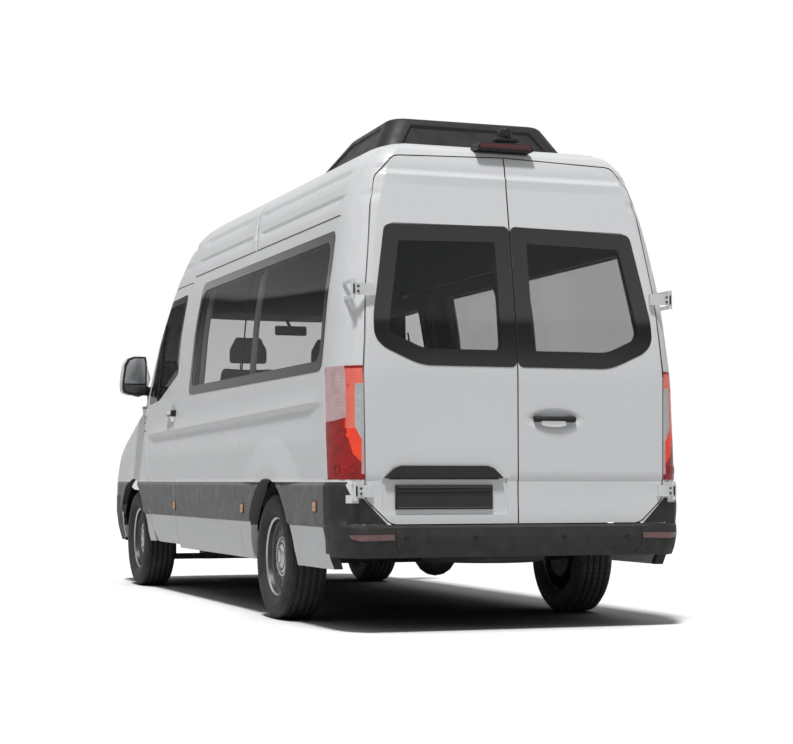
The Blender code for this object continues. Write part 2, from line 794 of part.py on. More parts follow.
def side_glass_outline(front_x, rear_x, rake):
    """Corners of a side window in side view, with its rear edge raked."""
    return [(front_x, BELT_Z), (front_x, SIDE_GLASS_TOP_Z), (rear_x + rake, SIDE_GLASS_TOP_Z),
            (rear_x, BELT_Z)]


def sliding_door_outline():
    """Sliding door in side view."""
    corners = [(SLIDING_DOOR_FRONT_X, SILL_Z), (SLIDING_DOOR_FRONT_X, DOOR_TOP_Z),
               (SLIDING_DOOR_REAR_X, DOOR_TOP_Z), (SLIDING_DOOR_REAR_X, SILL_Z)]
    return rounded(corners, DOOR_CORNER)


def bonnet_outline():
    """Bonnet in plan view."""
    return [(BONNET_REAR_X, BONNET_REAR_HALF_WIDTH), (BONNET_REAR_X, -BONNET_REAR_HALF_WIDTH),
            (FRONT_REACH + OVERRUN, -BONNET_FRONT_HALF_WIDTH),
            (FRONT_REACH + OVERRUN, BONNET_FRONT_HALF_WIDTH)]


def headlamp_outline():
    """Left headlamp in front view."""
    origin = (GRILLE_HALF_WIDTH + SEAT_GAP, FRONT_BUMPER_TOP_Z + SEAT_GAP)
    size = (HEADLAMP_OUTER_Y - origin[0], HEADLAMP_TOP_Z - origin[1])
    return from_shares(HEADLAMP_SHARES, origin, size)


def windscreen_outline():
    """Corners of the windscreen in front view."""
    return [(WINDSCREEN_LOW_HALF_WIDTH, WINDSCREEN_LOW_Z),
            (WINDSCREEN_TOP_HALF_WIDTH, WINDSCREEN_TOP_Z),
            (-WINDSCREEN_TOP_HALF_WIDTH, WINDSCREEN_TOP_Z),
            (-WINDSCREEN_LOW_HALF_WIDTH, WINDSCREEN_LOW_Z)]


def lamp_side_outline(clearance):
    """Rear lamp corner in side view, grown by a clearance."""
    far = -REAR_REACH - OVERRUN
    return grown([(far, LAMP_LOW_Z), (LAMP_FRONT_LOW_X, LAMP_LOW_Z), (REAR_SEAM_X, LAMP_TOP_Z),
                  (far, LAMP_TOP_Z)], clearance)


def arch_tool(axle_x, radius, inner_y=WHEEL_BOX_INNER_Y):
    """Cylinder that opens a left wheel arch."""
    return rod((axle_x, inner_y, TYRE_RADIUS), (axle_x, BODY_HALF_WIDTH + OVERRUN, TYRE_RADIUS),
               radius, ARCH_SEGMENTS)


# Body shell


def side_panel():
    """Left side panel between the front door and the rear frame."""
    outline = [(DOOR_REAR_X - SHUT_GAP, SILL_Z - OVERRUN), (DOOR_REAR_X - SHUT_GAP, GUTTER_Z),
               (REAR_SEAM_X, GUTTER_Z), (REAR_SEAM_X, LAMP_TOP_Z),
               (LAMP_FRONT_LOW_X, LAMP_LOW_Z + SEAT_GAP),
               (BUMPER_SIDE_X, LAMP_LOW_Z + SEAT_GAP), (BUMPER_SIDE_X, SILL_Z - OVERRUN)]
    panel = keep(shell(WALL), side_tool(outline))
    return cut(panel, arch_tool(REAR_AXLE_X, ARCH_RADIUS))


def build_side_panels():
    """Side panels with their window openings."""
    left = side_panel()
    right = mirrored(left)
    band = side_glass_outline(SIDE_GLASS_FRONT_X, SIDE_GLASS_REAR_X, SIDE_GLASS_RAKE)
    glazed(left, band, SIDE_GLASS_CORNER, GLASS_FRAME, side_tool)
    finish(left, "side_panel_left", WHITE_PAINT)
    finish(pane(band, SIDE_GLASS_CORNER, side_tool), "side_glass_left", DARK_GLASS)
    build_right_side(right)


def build_right_side(panel):
    """Right side panel, sliding door and their glass, worked on the left and mirrored."""
    panel = turned_over(panel)
    quarter = side_glass_outline(QUARTER_GLASS_FRONT_X, SIDE_GLASS_REAR_X, SIDE_GLASS_RAKE)
    opening = sliding_door_outline()
    cut(panel, side_tool(grown(opening, SHUT_GAP)))
    corner = SIDE_GLASS_CORNER
    glazed(panel, quarter, corner, GLASS_FRAME, side_tool)
    for level in (BELT_Z - HINGE_LENGTH, SILL_Z + HINGE_LENGTH):
        unite(panel, door_guide(level))
    finish(turned_over(panel), "side_panel_right", WHITE_PAINT)
    finish(turned_over(pane(quarter, corner, side_tool)), "side_glass_right", DARK_GLASS)
    door = keep(shell(DOOR_WALL), side_tool(opening))
    band = side_glass_outline(SLIDING_GLASS_FRONT_X, SLIDING_GLASS_REAR_X, 0.0)
    glazed(door, band, corner, GLASS_FRAME, side_tool)
    finish(turned_over(door), "sliding_door", WHITE_PAINT)
    finish(turned_over(pane(band, corner, side_tool)), "sliding_door_glass", DARK_GLASS)


def door_guide(level):
    """Latch block that reaches from the panel to the sliding door's rear edge."""
    inner = level_at(level)[1] * BODY_HALF_WIDTH - DOOR_WALL + SKIN_LIP
    return box((SLIDING_DOOR_REAR_X - SHUT_GAP - HINGE_LEAF, inner, level - HINGE_EAR),
               (SLIDING_DOOR_REAR_X - SEAT_GAP, inner + DOOR_WALL / 2, level + HINGE_EAR))


def build_roof():
    """Roof between the cab and the rear frame."""
    high = ROOF_HEIGHT + OVERRUN
    outline = [(REAR_SEAM_X + SEAT_GAP, GUTTER_Z + SEAT_GAP), (ROOF_SEAM_X, GUTTER_Z + SEAT_GAP),
               (ROOF_SEAM_X, high), (REAR_SEAM_X + SEAT_GAP, high)]
    finish(keep(shell(WALL), through_tool(outline)), "roof_panel", WHITE_PAINT)


def rear_frame_shape():
    """Rear corner posts and header around the rear doors."""
    low = REAR_BUMPER_TOP_Z + SEAT_GAP
    far = -REAR_REACH - OVERRUN
    high = ROOF_HEIGHT + OVERRUN
    edge = REAR_SEAM_X - SEAT_GAP
    outline = [(far, low), (BUMPER_SIDE_X - SEAT_GAP, low),
               (BUMPER_SIDE_X - SEAT_GAP, LAMP_LOW_Z), (LAMP_FRONT_LOW_X - SEAT_GAP, LAMP_LOW_Z),
               (edge, LAMP_TOP_Z), (edge, high), (far, high)]
    frame = keep(shell(POST_WALL), through_tool(outline))
    cut(frame, rear_tool(rear_opening_outline()))
    return frame


def rear_lamp_shape():
    """Left rear lamp, the outer layer of the corner."""
    lamp = keep(shell(LAMP_DEPTH), plate(lamp_side_outline(-SEAT_GAP), 0.0,
                                         BODY_HALF_WIDTH + OVERRUN, "y"))
    return cut(lamp, rear_tool(rear_opening_outline()))


def lamp_pocket():
    """Space in the corner posts that the rear lamps take, on the left."""
    pocket = plate(lamp_side_outline(0.0), 0.0, BODY_HALF_WIDTH + OVERRUN, "y")
    return cut(pocket, hull(LAMP_DEPTH + SEAT_GAP))


def bumper_corner_outline():
    """Rear bumper in rear view, with raised corners."""
    inner = REAR_DOOR_HALF_WIDTH + SHUT_GAP
    wide = BODY_HALF_WIDTH + OVERRUN
    return [(-wide, REAR_BUMPER_LOW_Z), (wide, REAR_BUMPER_LOW_Z), (wide, BUMPER_CORNER_Z),
            (inner, BUMPER_CORNER_Z), (inner, REAR_BUMPER_TOP_Z), (-inner, REAR_BUMPER_TOP_Z),
            (-inner, BUMPER_CORNER_Z), (-wide, BUMPER_CORNER_Z)]


def bumper_pocket(side):
    """Space on a corner post that the bumper's raised corner takes."""
    inner = side * (REAR_DOOR_HALF_WIDTH + SHUT_GAP - SEAT_GAP)
    outer = side * (BODY_HALF_WIDTH + OVERRUN)
    pocket = box((-REAR_REACH - OVERRUN, min(inner, outer), REAR_BUMPER_TOP_Z - OVERRUN),
                 (REAR_SEAM_X, max(inner, outer), BUMPER_CORNER_Z + SEAT_GAP))
    return cut(pocket, hull(LAMP_DEPTH + SEAT_GAP))


def build_rear():
    """Rear frame, lamps and bumper."""
    frame = rear_frame_shape()
    lamp = rear_lamp_shape()
    pocket = lamp_pocket()
    cut(frame, mirrored(pocket), pocket)
    cut(frame, bumper_pocket(1), bumper_pocket(-1))
    for side in (1, -1):
        for level in (REAR_HINGE_LOW_Z, REAR_HINGE_HIGH_Z):
            unite(frame, *rear_hinge_ears(side, level))
    finish(frame, "rear_frame", WHITE_PAINT)
    finish(mirrored(lamp), "tail_lamp_right", RED_LAMP)
    finish(lamp, "tail_lamp_left", RED_LAMP)
    bumper = keep(shell(LAMP_DEPTH), rear_tool(bumper_corner_outline()))
    cut(bumper, box((BUMPER_SIDE_X - SEAT_GAP, -BODY_HALF_WIDTH - OVERRUN, 0.0),
                    (FRONT_REACH, BODY_HALF_WIDTH + OVERRUN, ROOF_HEIGHT)))
    finish(bumper, "rear_bumper", CHARCOAL_PLASTIC)


def rear_hinge_point(side, level):
    """Point of a rear hinge axis at a height."""
    return Vector((REAR_HINGE_X + (level - REAR_HINGE_LOW_Z) * REAR_HINGE_LEAN,
                   side * REAR_HINGE_Y, level))


def rear_hinge_barrel(side, level, low, high, radius=REAR_HINGE_RADIUS):
    """Barrel on a rear hinge axis between two heights about its level."""
    return rod(rear_hinge_point(side, level + low), rear_hinge_point(side, level + high), radius, 8)


def rear_hinge_ears(side, level):
    """Fixed ears above and below a rear door hinge, with their webs to the corner post."""
    half = REAR_HINGE_LENGTH / 2 + REAR_HINGE_PLAY
    pieces = []
    for low, high in ((half, half + REAR_HINGE_EAR), (-half - REAR_HINGE_EAR, -half)):
        pieces.append(rear_hinge_barrel(side, level, low, high))
        middle = rear_hinge_point(side, level)
        near = side * (REAR_HINGE_Y - REAR_HINGE_RADIUS / 2)
        far = side * (REAR_HINGE_Y + REAR_HINGE_RADIUS / 2)
        pieces.append(box((middle.x, min(near, far), level + low),
                          (REAR_SEAM_X - POST_WALL, max(near, far), level + high)))
    return pieces


def build_cab_frame():
    """Front roof, windscreen pillars and scuttle."""
    high = ROOF_HEIGHT + OVERRUN
    far = FRONT_REACH + OVERRUN
    rear = DOOR_REAR_X - SHUT_GAP + SEAT_GAP
    outline = [(ROOF_SEAM_X + SEAT_GAP, high), (ROOF_SEAM_X + SEAT_GAP, GUTTER_Z + SEAT_GAP),
               (rear, GUTTER_Z - SEAT_GAP), (rear, DOOR_TOP_Z), (ROOF_SEAM_X, FENDER_TOP_Z),
               (BONNET_REAR_X - BONNET_REAR_GAP, FENDER_TOP_Z), (BONNET_REAR_X - BONNET_REAR_GAP, high)]
    frame = keep(shell(WALL), through_tool(outline))
    cut(frame, through_tool(grown(door_outline(), SHUT_GAP)))
    glazed(frame, windscreen_outline(), WINDSCREEN_CORNER, GLASS_FRAME, windscreen_tool)
    for side in (1, -1):
        unite(frame, *bonnet_ears(side))
    for _ in range(2):
        front_hinge_fixed(frame, FRONT_HINGE_HIGH_Z)
        frame = turned_over(frame)
    finish(frame, "cab_frame", WHITE_PAINT)
    glass = pane(windscreen_outline(), WINDSCREEN_CORNER, windscreen_tool)
    finish(glass, "windscreen", DARK_GLASS)


def bonnet_axis():
    """Point of the bonnet hinge axis on the centre line."""
    share = BONNET_REAR_X / FRONT_REACH
    height = SCUTTLE_LOW_Z
    for low, high in zip(LEVEL_SHARES, LEVEL_SHARES[1:]):
        if high[3] <= share < low[3]:
            part = (low[3] - share) / (low[3] - high[3])
            height = level_height(low[0] + (high[0] - low[0]) * part)
    return Vector((BONNET_REAR_X - BONNET_REAR_GAP / 2, 0.0, height - BONNET_HINGE_SINK))


def bonnet_hinge_rod(side, near, far):
    """Barrel on the bonnet axis, between two distances from the hinge centre."""
    axis = bonnet_axis()
    centre = side * BONNET_HINGE_Y
    return rod((axis.x, centre + near, axis.z), (axis.x, centre + far, axis.z),
               BONNET_HINGE_RADIUS, 8)


def bonnet_ears(side):
    """Fixed ears of a bonnet hinge, with webs to the scuttle."""
    half = HINGE_LENGTH / 2 + SEAT_GAP
    axis = bonnet_axis()
    pieces = []
    for near, far in ((half, half + HINGE_EAR), (-half - HINGE_EAR, -half)):
        pieces.append(bonnet_hinge_rod(side, near, far))
        centre = side * BONNET_HINGE_Y
        pieces.append(box((axis.x - WALL / 2, centre + near, axis.z - HINGE_LEAF / 2),
                          (axis.x, centre + far, axis.z + HINGE_LEAF / 2)))
    return pieces


def build_bonnet():
    """Bonnet, hinged at its rear edge."""
    axis = bonnet_axis()
    pivot = pivot_at("bonnet_pivot", axis)
    bonnet = keep(shell(THIN_WALL), plate(bonnet_outline(), BONNET_LOW_Z, ROOF_HEIGHT, "z"))
    for side in (1, -1):
        half = HINGE_LENGTH / 2
        unite(bonnet, bonnet_hinge_rod(side, -half, half))
        centre = side * BONNET_HINGE_Y
        unite(bonnet, box((axis.x, centre - half, axis.z - HINGE_LEAF / 2),
                          (axis.x + WALL / 2, centre + half, axis.z + HINGE_LEAF / 2)))
    finish(bonnet, "bonnet", WHITE_PAINT, pivot)


def fender_shape():
    """Left front wing around the wheel."""
    rear = DOOR_REAR_X + DOOR_LENGTH * DOOR_SHARES[2][0]
    far = FRONT_REACH + OVERRUN
    outline = [(rear, SILL_Z), (FRONT_BUMPER_X, SILL_Z),
               (FRONT_BUMPER_X, FRONT_BUMPER_TOP_Z + SEAT_GAP), (far, FRONT_BUMPER_TOP_Z + SEAT_GAP),
               (far, FENDER_TOP_Z - SEAT_GAP), (rear, FENDER_TOP_Z - SEAT_GAP)]
    wing = keep(shell(THIN_WALL), plate(outline, BONNET_FRONT_HALF_WIDTH, BODY_HALF_WIDTH + OVERRUN, "y"))
    cut(wing, arch_tool(FRONT_AXLE_X, ARCH_RADIUS), side_tool(grown(door_outline(), SHUT_GAP)))
    bonnet = grown(bonnet_outline(), BONNET_GAP)
    cut(wing, plate(bonnet, BONNET_LOW_Z - SHUT_GAP, ROOF_HEIGHT, "z"))
    cut(wing, front_tool(grown(headlamp_outline(), SEAT_GAP), HEADLAMP_REAR_X))
    return wing


def build_front():
    """Wings, headlamps, grille and front bumper."""
    wing = front_hinge_fixed(fender_shape(), FRONT_HINGE_LOW_Z)
    finish(mirrored(wing), "fender_right", WHITE_PAINT)
    finish(wing, "fender_left", WHITE_PAINT)
    lamp = keep(shell(WALL), front_tool(headlamp_outline(), HEADLAMP_REAR_X + SEAT_GAP))
    finish(mirrored(lamp), "headlamp_right", CLEAR_LAMP)
    finish(lamp, "headlamp_left", CLEAR_LAMP)
    build_grille()
    bumper = keep(shell(LAMP_DEPTH), box((FRONT_BUMPER_X + SEAT_GAP, -BODY_HALF_WIDTH - OVERRUN, 0.0),
                                         (FRONT_REACH + OVERRUN, BODY_HALF_WIDTH + OVERRUN,
                                          FRONT_BUMPER_TOP_Z)))
    finish(bumper, "front_bumper", CHARCOAL_PLASTIC)


def build_grille():
    """Grille with level slots between the headlamps."""
    low = FRONT_BUMPER_TOP_Z + SEAT_GAP
    high = BONNET_LOW_Z - SHUT_GAP
    wide = GRILLE_HALF_WIDTH
    grille = keep(shell(THIN_WALL), front_tool([(-wide, low), (wide, low), (wide, high),
                                                (-wide, high)], HEADLAMP_REAR_X))
    pitch = (high - low) / (GRILLE_SLOTS + GRILLE_BAR_SHARE)
    slots = []
    for index in range(GRILLE_SLOTS):
        base = low + pitch * (index + GRILLE_BAR_SHARE)
        top = base + pitch * (1 - GRILLE_BAR_SHARE)
        inner = wide - pitch * GRILLE_BAR_SHARE
        slots.append(box((HEADLAMP_REAR_X, -inner, base), (FRONT_REACH + OVERRUN, inner, top)))
    finish(cut(grille, *slots), "grille", CHARCOAL_PLASTIC)


# Doors


def front_hinge_barrel(low, high):
    """Barrel on the left front door's hinge axis between two heights."""
    return rod((FRONT_HINGE_X, FRONT_HINGE_Y, low), (FRONT_HINGE_X, FRONT_HINGE_Y, high),
               HINGE_RADIUS, 8)


def front_hinge_strap(level):
    """Door half of a front hinge, which lies flush in the skin."""
    half = HINGE_LENGTH / 2
    strap = box((FRONT_HINGE_X - HINGE_STRAP, FRONT_HINGE_Y - HINGE_RADIUS * 2, level - half),
                (FRONT_HINGE_X, FRONT_HINGE_Y + HINGE_LEAF / 2, level + half))
    return unite(strap, front_hinge_barrel(level - half, level + half))


def front_hinge_fixed(body, level):
    """Notch the left side of the body round a front hinge, and add its fixed ears."""
    half = HINGE_LENGTH / 2
    room = half + SHUT_GAP
    inner = FRONT_HINGE_Y - HINGE_RADIUS * 2 - SHUT_GAP
    cut(body, box((FRONT_HINGE_X - HINGE_STRAP, inner, level - room),
                  (FRONT_HINGE_X + HINGE_RADIUS + SHUT_GAP, inner + OVERRUN, level + room)))
    for low in (level + half + SEAT_GAP, level - half - SEAT_GAP - HINGE_EAR):
        web = box((FRONT_HINGE_X, inner, low),
                  (FRONT_HINGE_X + HINGE_WEB, FRONT_HINGE_Y + HINGE_LEAF / 2, low + HINGE_EAR))
        unite(body, front_hinge_barrel(low, low + HINGE_EAR))
        unite(body, web)
    return body


def front_door_shape():
    """Left front door without its glass."""
    outline = door_outline()
    door = keep(shell(DOOR_WALL), side_tool(outline))
    door = rebated(door, side_tool, outline, side_tool)
    glazed(door, door_glass_outline(), GLASS_CORNER, GLASS_FRAME, side_tool)
    for level in (FRONT_HINGE_LOW_Z, FRONT_HINGE_HIGH_Z):
        unite(door, front_hinge_strap(level))
    return door


def edge_share(edge, height_share):
    """Share of a door's width that a stretch of its edge reaches at a height."""
    for low, high in zip(edge, edge[1:]):
        if height_share <= high[1]:
            part = (height_share - low[1]) / (high[1] - low[1])
            return low[0] + (high[0] - low[0]) * part
    return 1.0


def mirror_shape():
    """Left door mirror with its arm."""
    head = padded_box((MIRROR_REAR_X, MIRROR_INNER_Y, MIRROR_LOW_Z),
                      (MIRROR_FRONT_X, MIRROR_OUTER_Y, MIRROR_TOP_Z), MIRROR_CORNER)
    skin = level_at(MIRROR_ARM_Z)[1] * BODY_HALF_WIDTH
    arm = box((MIRROR_ARM_X - MIRROR_ARM_HALF, skin - WALL, MIRROR_ARM_Z - MIRROR_ARM_HALF),
              (MIRROR_ARM_X + MIRROR_ARM_HALF, MIRROR_INNER_Y + MIRROR_CORNER,
               MIRROR_ARM_Z + MIRROR_ARM_HALF))
    return cut(unite(head, arm), hull(-SEAT_GAP))


def build_front_doors():
    """Front doors with glass and mirrors."""
    shapes = {"door_front": (front_door_shape(), WHITE_PAINT),
              "door_glass_front": (pane(door_glass_outline(), GLASS_CORNER, side_tool), DARK_GLASS),
              "mirror": (mirror_shape(), CHARCOAL_PLASTIC)}
    for side, word in ((1, "left"), (-1, "right")):
        pivot = pivot_at("door_front_" + word + "_pivot",
                         (FRONT_HINGE_X, side * FRONT_HINGE_Y, FRONT_HINGE_LOW_Z))
        for stem, (shape, look) in shapes.items():
            made = copy_of(shape) if side > 0 else mirrored(shape)
            finish(made, stem + "_" + word, look, pivot)
    for shape, _ in shapes.values():
        discard(shape)


def rear_slab(thickness):
    """Layer of the body behind its rear face, of an even depth along the van."""
    inner = hull(-SEAT_GAP)
    inner.data.transform(Matrix.Translation((thickness, 0.0, 0.0)))
    return cut(hull(0.0), inner)


def rear_hinge_leaf(level):
    """Leaf from a rear hinge pin around the corner to the left door's skin, in plan view."""
    point = rear_hinge_point(1, level)
    share = (level - REAR_DOOR_LOW_Z) / (REAR_DOOR_TOP_Z - REAR_DOOR_LOW_Z)
    edge = REAR_DOOR_HALF_WIDTH * edge_share(REAR_DOOR_SHARES[1:7], share)
    skin = SKIN_LIP - level_at(level)[2] * REAR_REACH
    back = point.x - HINGE_LEAF / 2
    return [(back, REAR_HINGE_Y), (back + HINGE_LEAF, REAR_HINGE_Y),
            (back + HINGE_LEAF, edge - REAR_HINGE_RADIUS), (skin, edge - REAR_HINGE_RADIUS),
            (skin, edge - REAR_HINGE_LENGTH / 2), (back, edge - REAR_HINGE_LENGTH / 2)]


def rear_door_shape():
    """Left rear door without its glass."""
    outline = rear_door_outline()
    door = keep(rear_slab(DOOR_WALL), rear_tool(outline))
    door = rebated(door, rear_tool, outline, rear_tool)
    glazed(door, rear_glass_outline(), GLASS_CORNER, REAR_GLASS_FRAME, rear_tool)
    half = REAR_HINGE_LENGTH / 2
    for level in (REAR_HINGE_LOW_Z, REAR_HINGE_HIGH_Z):
        leaf = plate(rear_hinge_leaf(level), level - half, level + half, "z")
        unite(door, rear_hinge_barrel(1, level, -half, half), leaf)
    return door


def plate_recess():
    """Shallow recess for the number plate in the left rear door."""
    tool = rear_tool([(PLATE_RECESS_INNER_Y, PLATE_RECESS_LOW_Z),
                      (PLATE_RECESS_OUTER_Y, PLATE_RECESS_LOW_Z),
                      (PLATE_RECESS_OUTER_Y, PLATE_RECESS_TOP_Z),
                      (PLATE_RECESS_INNER_Y, PLATE_RECESS_TOP_Z)])
    return cut(tool, hull(PLATE_RECESS_DEPTH))


def build_rear_doors():
    """Rear doors with glass."""
    door = rear_door_shape()
    glass = pane(rear_glass_outline(), GLASS_CORNER, rear_tool)
    for side, word in ((1, "left"), (-1, "right")):
        pivot = pivot_at("door_rear_" + word + "_pivot", rear_hinge_point(side, REAR_HINGE_LOW_Z))
        leaf = copy_of(door) if side > 0 else mirrored(door)
        if side > 0:
            cut(leaf, plate_recess())
        finish(leaf, "door_rear_" + word, WHITE_PAINT, pivot)
        window = copy_of(glass) if side > 0 else mirrored(glass)
        finish(window, "door_glass_rear_" + word, DARK_GLASS, pivot)
    discard(door, glass)


# Floor, frame and running gear


def build_floor():
    """Load floor with wheel boxes and the frame rails under it."""
    wide = BODY_HALF_WIDTH + OVERRUN
    half = [(FLOOR_FRONT_X, wide), (REAR_SEAM_X + SEAT_GAP, wide),
            (REAR_SEAM_X + SEAT_GAP, FLOOR_CORNER_Y), (FLOOR_REAR_X, FLOOR_REAR_HALF_WIDTH)]
    plan = half + [(x, -y) for x, y in reversed(half)]
    floor = plate(plan, FLOOR_LOW_Z, FLOOR_TOP_Z, "z")
    for side in (1, -1):
        unite(floor, wheel_box(side))
    keep(floor, hull(WALL + SEAT_GAP))
    for side in (1, -1):
        hollow = rod((REAR_AXLE_X, side * (WHEEL_BOX_INNER_Y + WHEEL_BOX_WALL), TYRE_RADIUS),
                     (REAR_AXLE_X, side * wide, TYRE_RADIUS), ARCH_RADIUS, ARCH_SEGMENTS)
        cut(floor, hollow)
    for side in (1, -1):
        unite(floor, *frame_pieces(side))
    unite(floor, cross_rail(ENGINE_REAR_X + CROSSMEMBER_LENGTH), cross_rail(RAIL_FRONT_X))
    finish(floor, "floor_pan", DARK_STEEL)


def cross_rail(front_x):
    """Crossmember between the two rails, ending at a forward place."""
    return box((front_x - CROSSMEMBER_LENGTH, -RAIL_OUTER_Y, RAIL_LOW_Z),
               (front_x, RAIL_OUTER_Y, ENGINE_LOW_Z - SEAT_GAP))


def wheel_box(side):
    """Closed drum over a rear wheel, from inside the floor plate upward."""
    drum = rod((REAR_AXLE_X, side * WHEEL_BOX_INNER_Y, TYRE_RADIUS),
               (REAR_AXLE_X, side * (BODY_HALF_WIDTH + OVERRUN), TYRE_RADIUS),
               ARCH_RADIUS + WHEEL_BOX_WALL, ARCH_SEGMENTS)
    wide = BODY_HALF_WIDTH + OVERRUN
    low = (FLOOR_LOW_Z + FLOOR_TOP_Z) / 2
    return keep(drum, box((FLOOR_REAR_X, -wide, low), (FLOOR_FRONT_X, wide, ROOF_HEIGHT)))


def frame_pieces(side):
    """Rail, bumper bracket, jacking pad and spring hangers of one side."""
    inner, outer = sorted((side * RAIL_INNER_Y, side * RAIL_OUTER_Y))
    lap = SEAT_GAP * 10
    rail = box((FLOOR_REAR_X, inner, RAIL_LOW_Z), (RAIL_FRONT_X, outer, FLOOR_LOW_Z + lap))
    bracket = keep(box((-REAR_REACH, inner, RAIL_LOW_Z), (FLOOR_REAR_X + lap, outer, BRACKET_TOP_Z)),
                   hull(LAMP_DEPTH + SEAT_GAP))
    near, far = sorted((side * (SPRING_Y - SPRING_WIDTH / 2), side * (SPRING_Y + SPRING_WIDTH / 2)))
    top = spring_height(SPRING_REACH) + SPRING_THICKNESS / 2 + SEAT_GAP
    hangers = []
    for end in (-1, 1):
        middle = REAR_AXLE_X + end * (SPRING_REACH - SPRING_THICKNESS)
        hangers.append(box((middle - SPRING_THICKNESS, near, top),
                           (middle + SPRING_THICKNESS, far, FLOOR_LOW_Z + lap)))
    pad = box((JACK_PAD_X - JACK_PAD_LENGTH / 2, inner + JACK_PAD_DEPTH, RAIL_LOW_Z - JACK_PAD_DEPTH),
              (JACK_PAD_X + JACK_PAD_LENGTH / 2, outer - JACK_PAD_DEPTH, RAIL_LOW_Z + lap))
    return [rail, bracket, pad] + hangers


def spring_height(distance):
    """Height of the spring's middle line at a distance from the axle."""
    low = TYRE_RADIUS + AXLE_TUBE_RADIUS + SPRING_THICKNESS / 2
    return low + SPRING_RISE * (distance / SPRING_REACH) ** 2


def spring_leaf(side):
    """Bowed leaf spring that lies on the axle tube."""
    steps = 6
    places = [SPRING_REACH * (2 * step / steps - 1) for step in range(steps + 1)]
    half = SPRING_THICKNESS / 2
    upper = [(REAR_AXLE_X + x, spring_height(abs(x)) + half) for x in places]
    lower = [(REAR_AXLE_X + x, spring_height(abs(x)) - half) for x in reversed(places)]
    flat = spring_height(SPRING_REACH) + half
    upper = [(x, min(z, flat)) for x, z in upper]
    near, far = sorted((side * (SPRING_Y - SPRING_WIDTH / 2), side * (SPRING_Y + SPRING_WIDTH / 2)))
    return plate(upper + lower, near, far, "y")


def build_rear_axle():
    """Rear axle with differential, brake drums, hubs and leaf springs."""
    z = TYRE_RADIUS
    hub = TRACK / 2 - HUB_FACE_INSET - SEAT_GAP
    axle = rod((REAR_AXLE_X, -hub, z), (REAR_AXLE_X, hub, z), AXLE_TUBE_RADIUS)
    unite(axle, ball((REAR_AXLE_X, 0.0, z), DIFFERENTIAL_RADIUS))
    for side in (1, -1):
        drum = rod((REAR_AXLE_X, side * (hub - DRUM_WIDTH), z), (REAR_AXLE_X, side * (hub - DRUM_WIDTH / 2), z),
                   DRUM_RADIUS, 16)
        flange = rod((REAR_AXLE_X, side * (hub - DRUM_WIDTH * 0.6), z), (REAR_AXLE_X, side * hub, z),
                     HUB_RADIUS)
        saddle = box((REAR_AXLE_X - AXLE_TUBE_RADIUS, side * SPRING_Y - SPRING_WIDTH / 2, z),
                     (REAR_AXLE_X + AXLE_TUBE_RADIUS, side * SPRING_Y + SPRING_WIDTH / 2,
                      z + AXLE_TUBE_RADIUS + SPRING_THICKNESS / 2))
        unite(axle, drum, flange)
        unite(axle, saddle)
        unite(axle, spring_leaf(side))
    finish(axle, "rear_axle", DARK_STEEL)


def build_front_axle():
    """Front subframe with lower arms, spring struts and towers."""
    x = FRONT_AXLE_X
    frame = box((x - SUBFRAME_HALF_LENGTH, -RAIL_OUTER_Y, ARM_LOW_Z),
                (x + SUBFRAME_HALF_LENGTH, RAIL_OUTER_Y, SUBFRAME_TOP_Z))
    for side in (1, -1):
        low, high = sorted((side * RAIL_INNER_Y, side * RAIL_OUTER_Y))
        post = box((x - SUBFRAME_HALF_LENGTH, low, ARM_LOW_Z),
                   (x + SUBFRAME_HALF_LENGTH, high, RAIL_LOW_Z - SEAT_GAP))
        low, high = sorted((side * RAIL_INNER_Y, side * (KINGPIN_Y + KINGPIN_RADIUS)))
        arm = box((x - ARM_HALF_LENGTH, low, ARM_LOW_Z),
                  (x + ARM_HALF_LENGTH, high, KINGPIN_LOW_Z - SEAT_GAP))
        unite(frame, post)
        unite(frame, arm)
    finish(frame, "front_axle", DARK_STEEL)
    for side, word in ((1, "left"), (-1, "right")):
        build_strut(side, word)


def build_strut(side, word):
    """Spring strut and its tower, standing on the frame rail."""
    x = FRONT_AXLE_X
    near, far = sorted((side * (RAIL_OUTER_Y + SEAT_GAP), side * (RAIL_OUTER_Y + THIN_WALL)))
    wall = box((x - WALL, near, RAIL_LOW_Z), (x + WALL, far, BULKHEAD_SHELF_Z - SEAT_GAP))
    near, far = sorted((side * (RAIL_OUTER_Y + SEAT_GAP), side * TOWER_OUTER_Y))
    top = box((x - WALL, near, STRUT_TOP_Z), (x + WALL, far, BULKHEAD_SHELF_Z - SEAT_GAP))
    strut = rod((x, side * KINGPIN_Y, KINGPIN_TOP_Z + SEAT_GAP),
                (x, side * KINGPIN_Y, STRUT_TOP_Z + THIN_WALL / 2), STRUT_RADIUS)
    unite(wall, top)
    unite(wall, strut)
    finish(wall, "strut_" + word, DARK_STEEL)


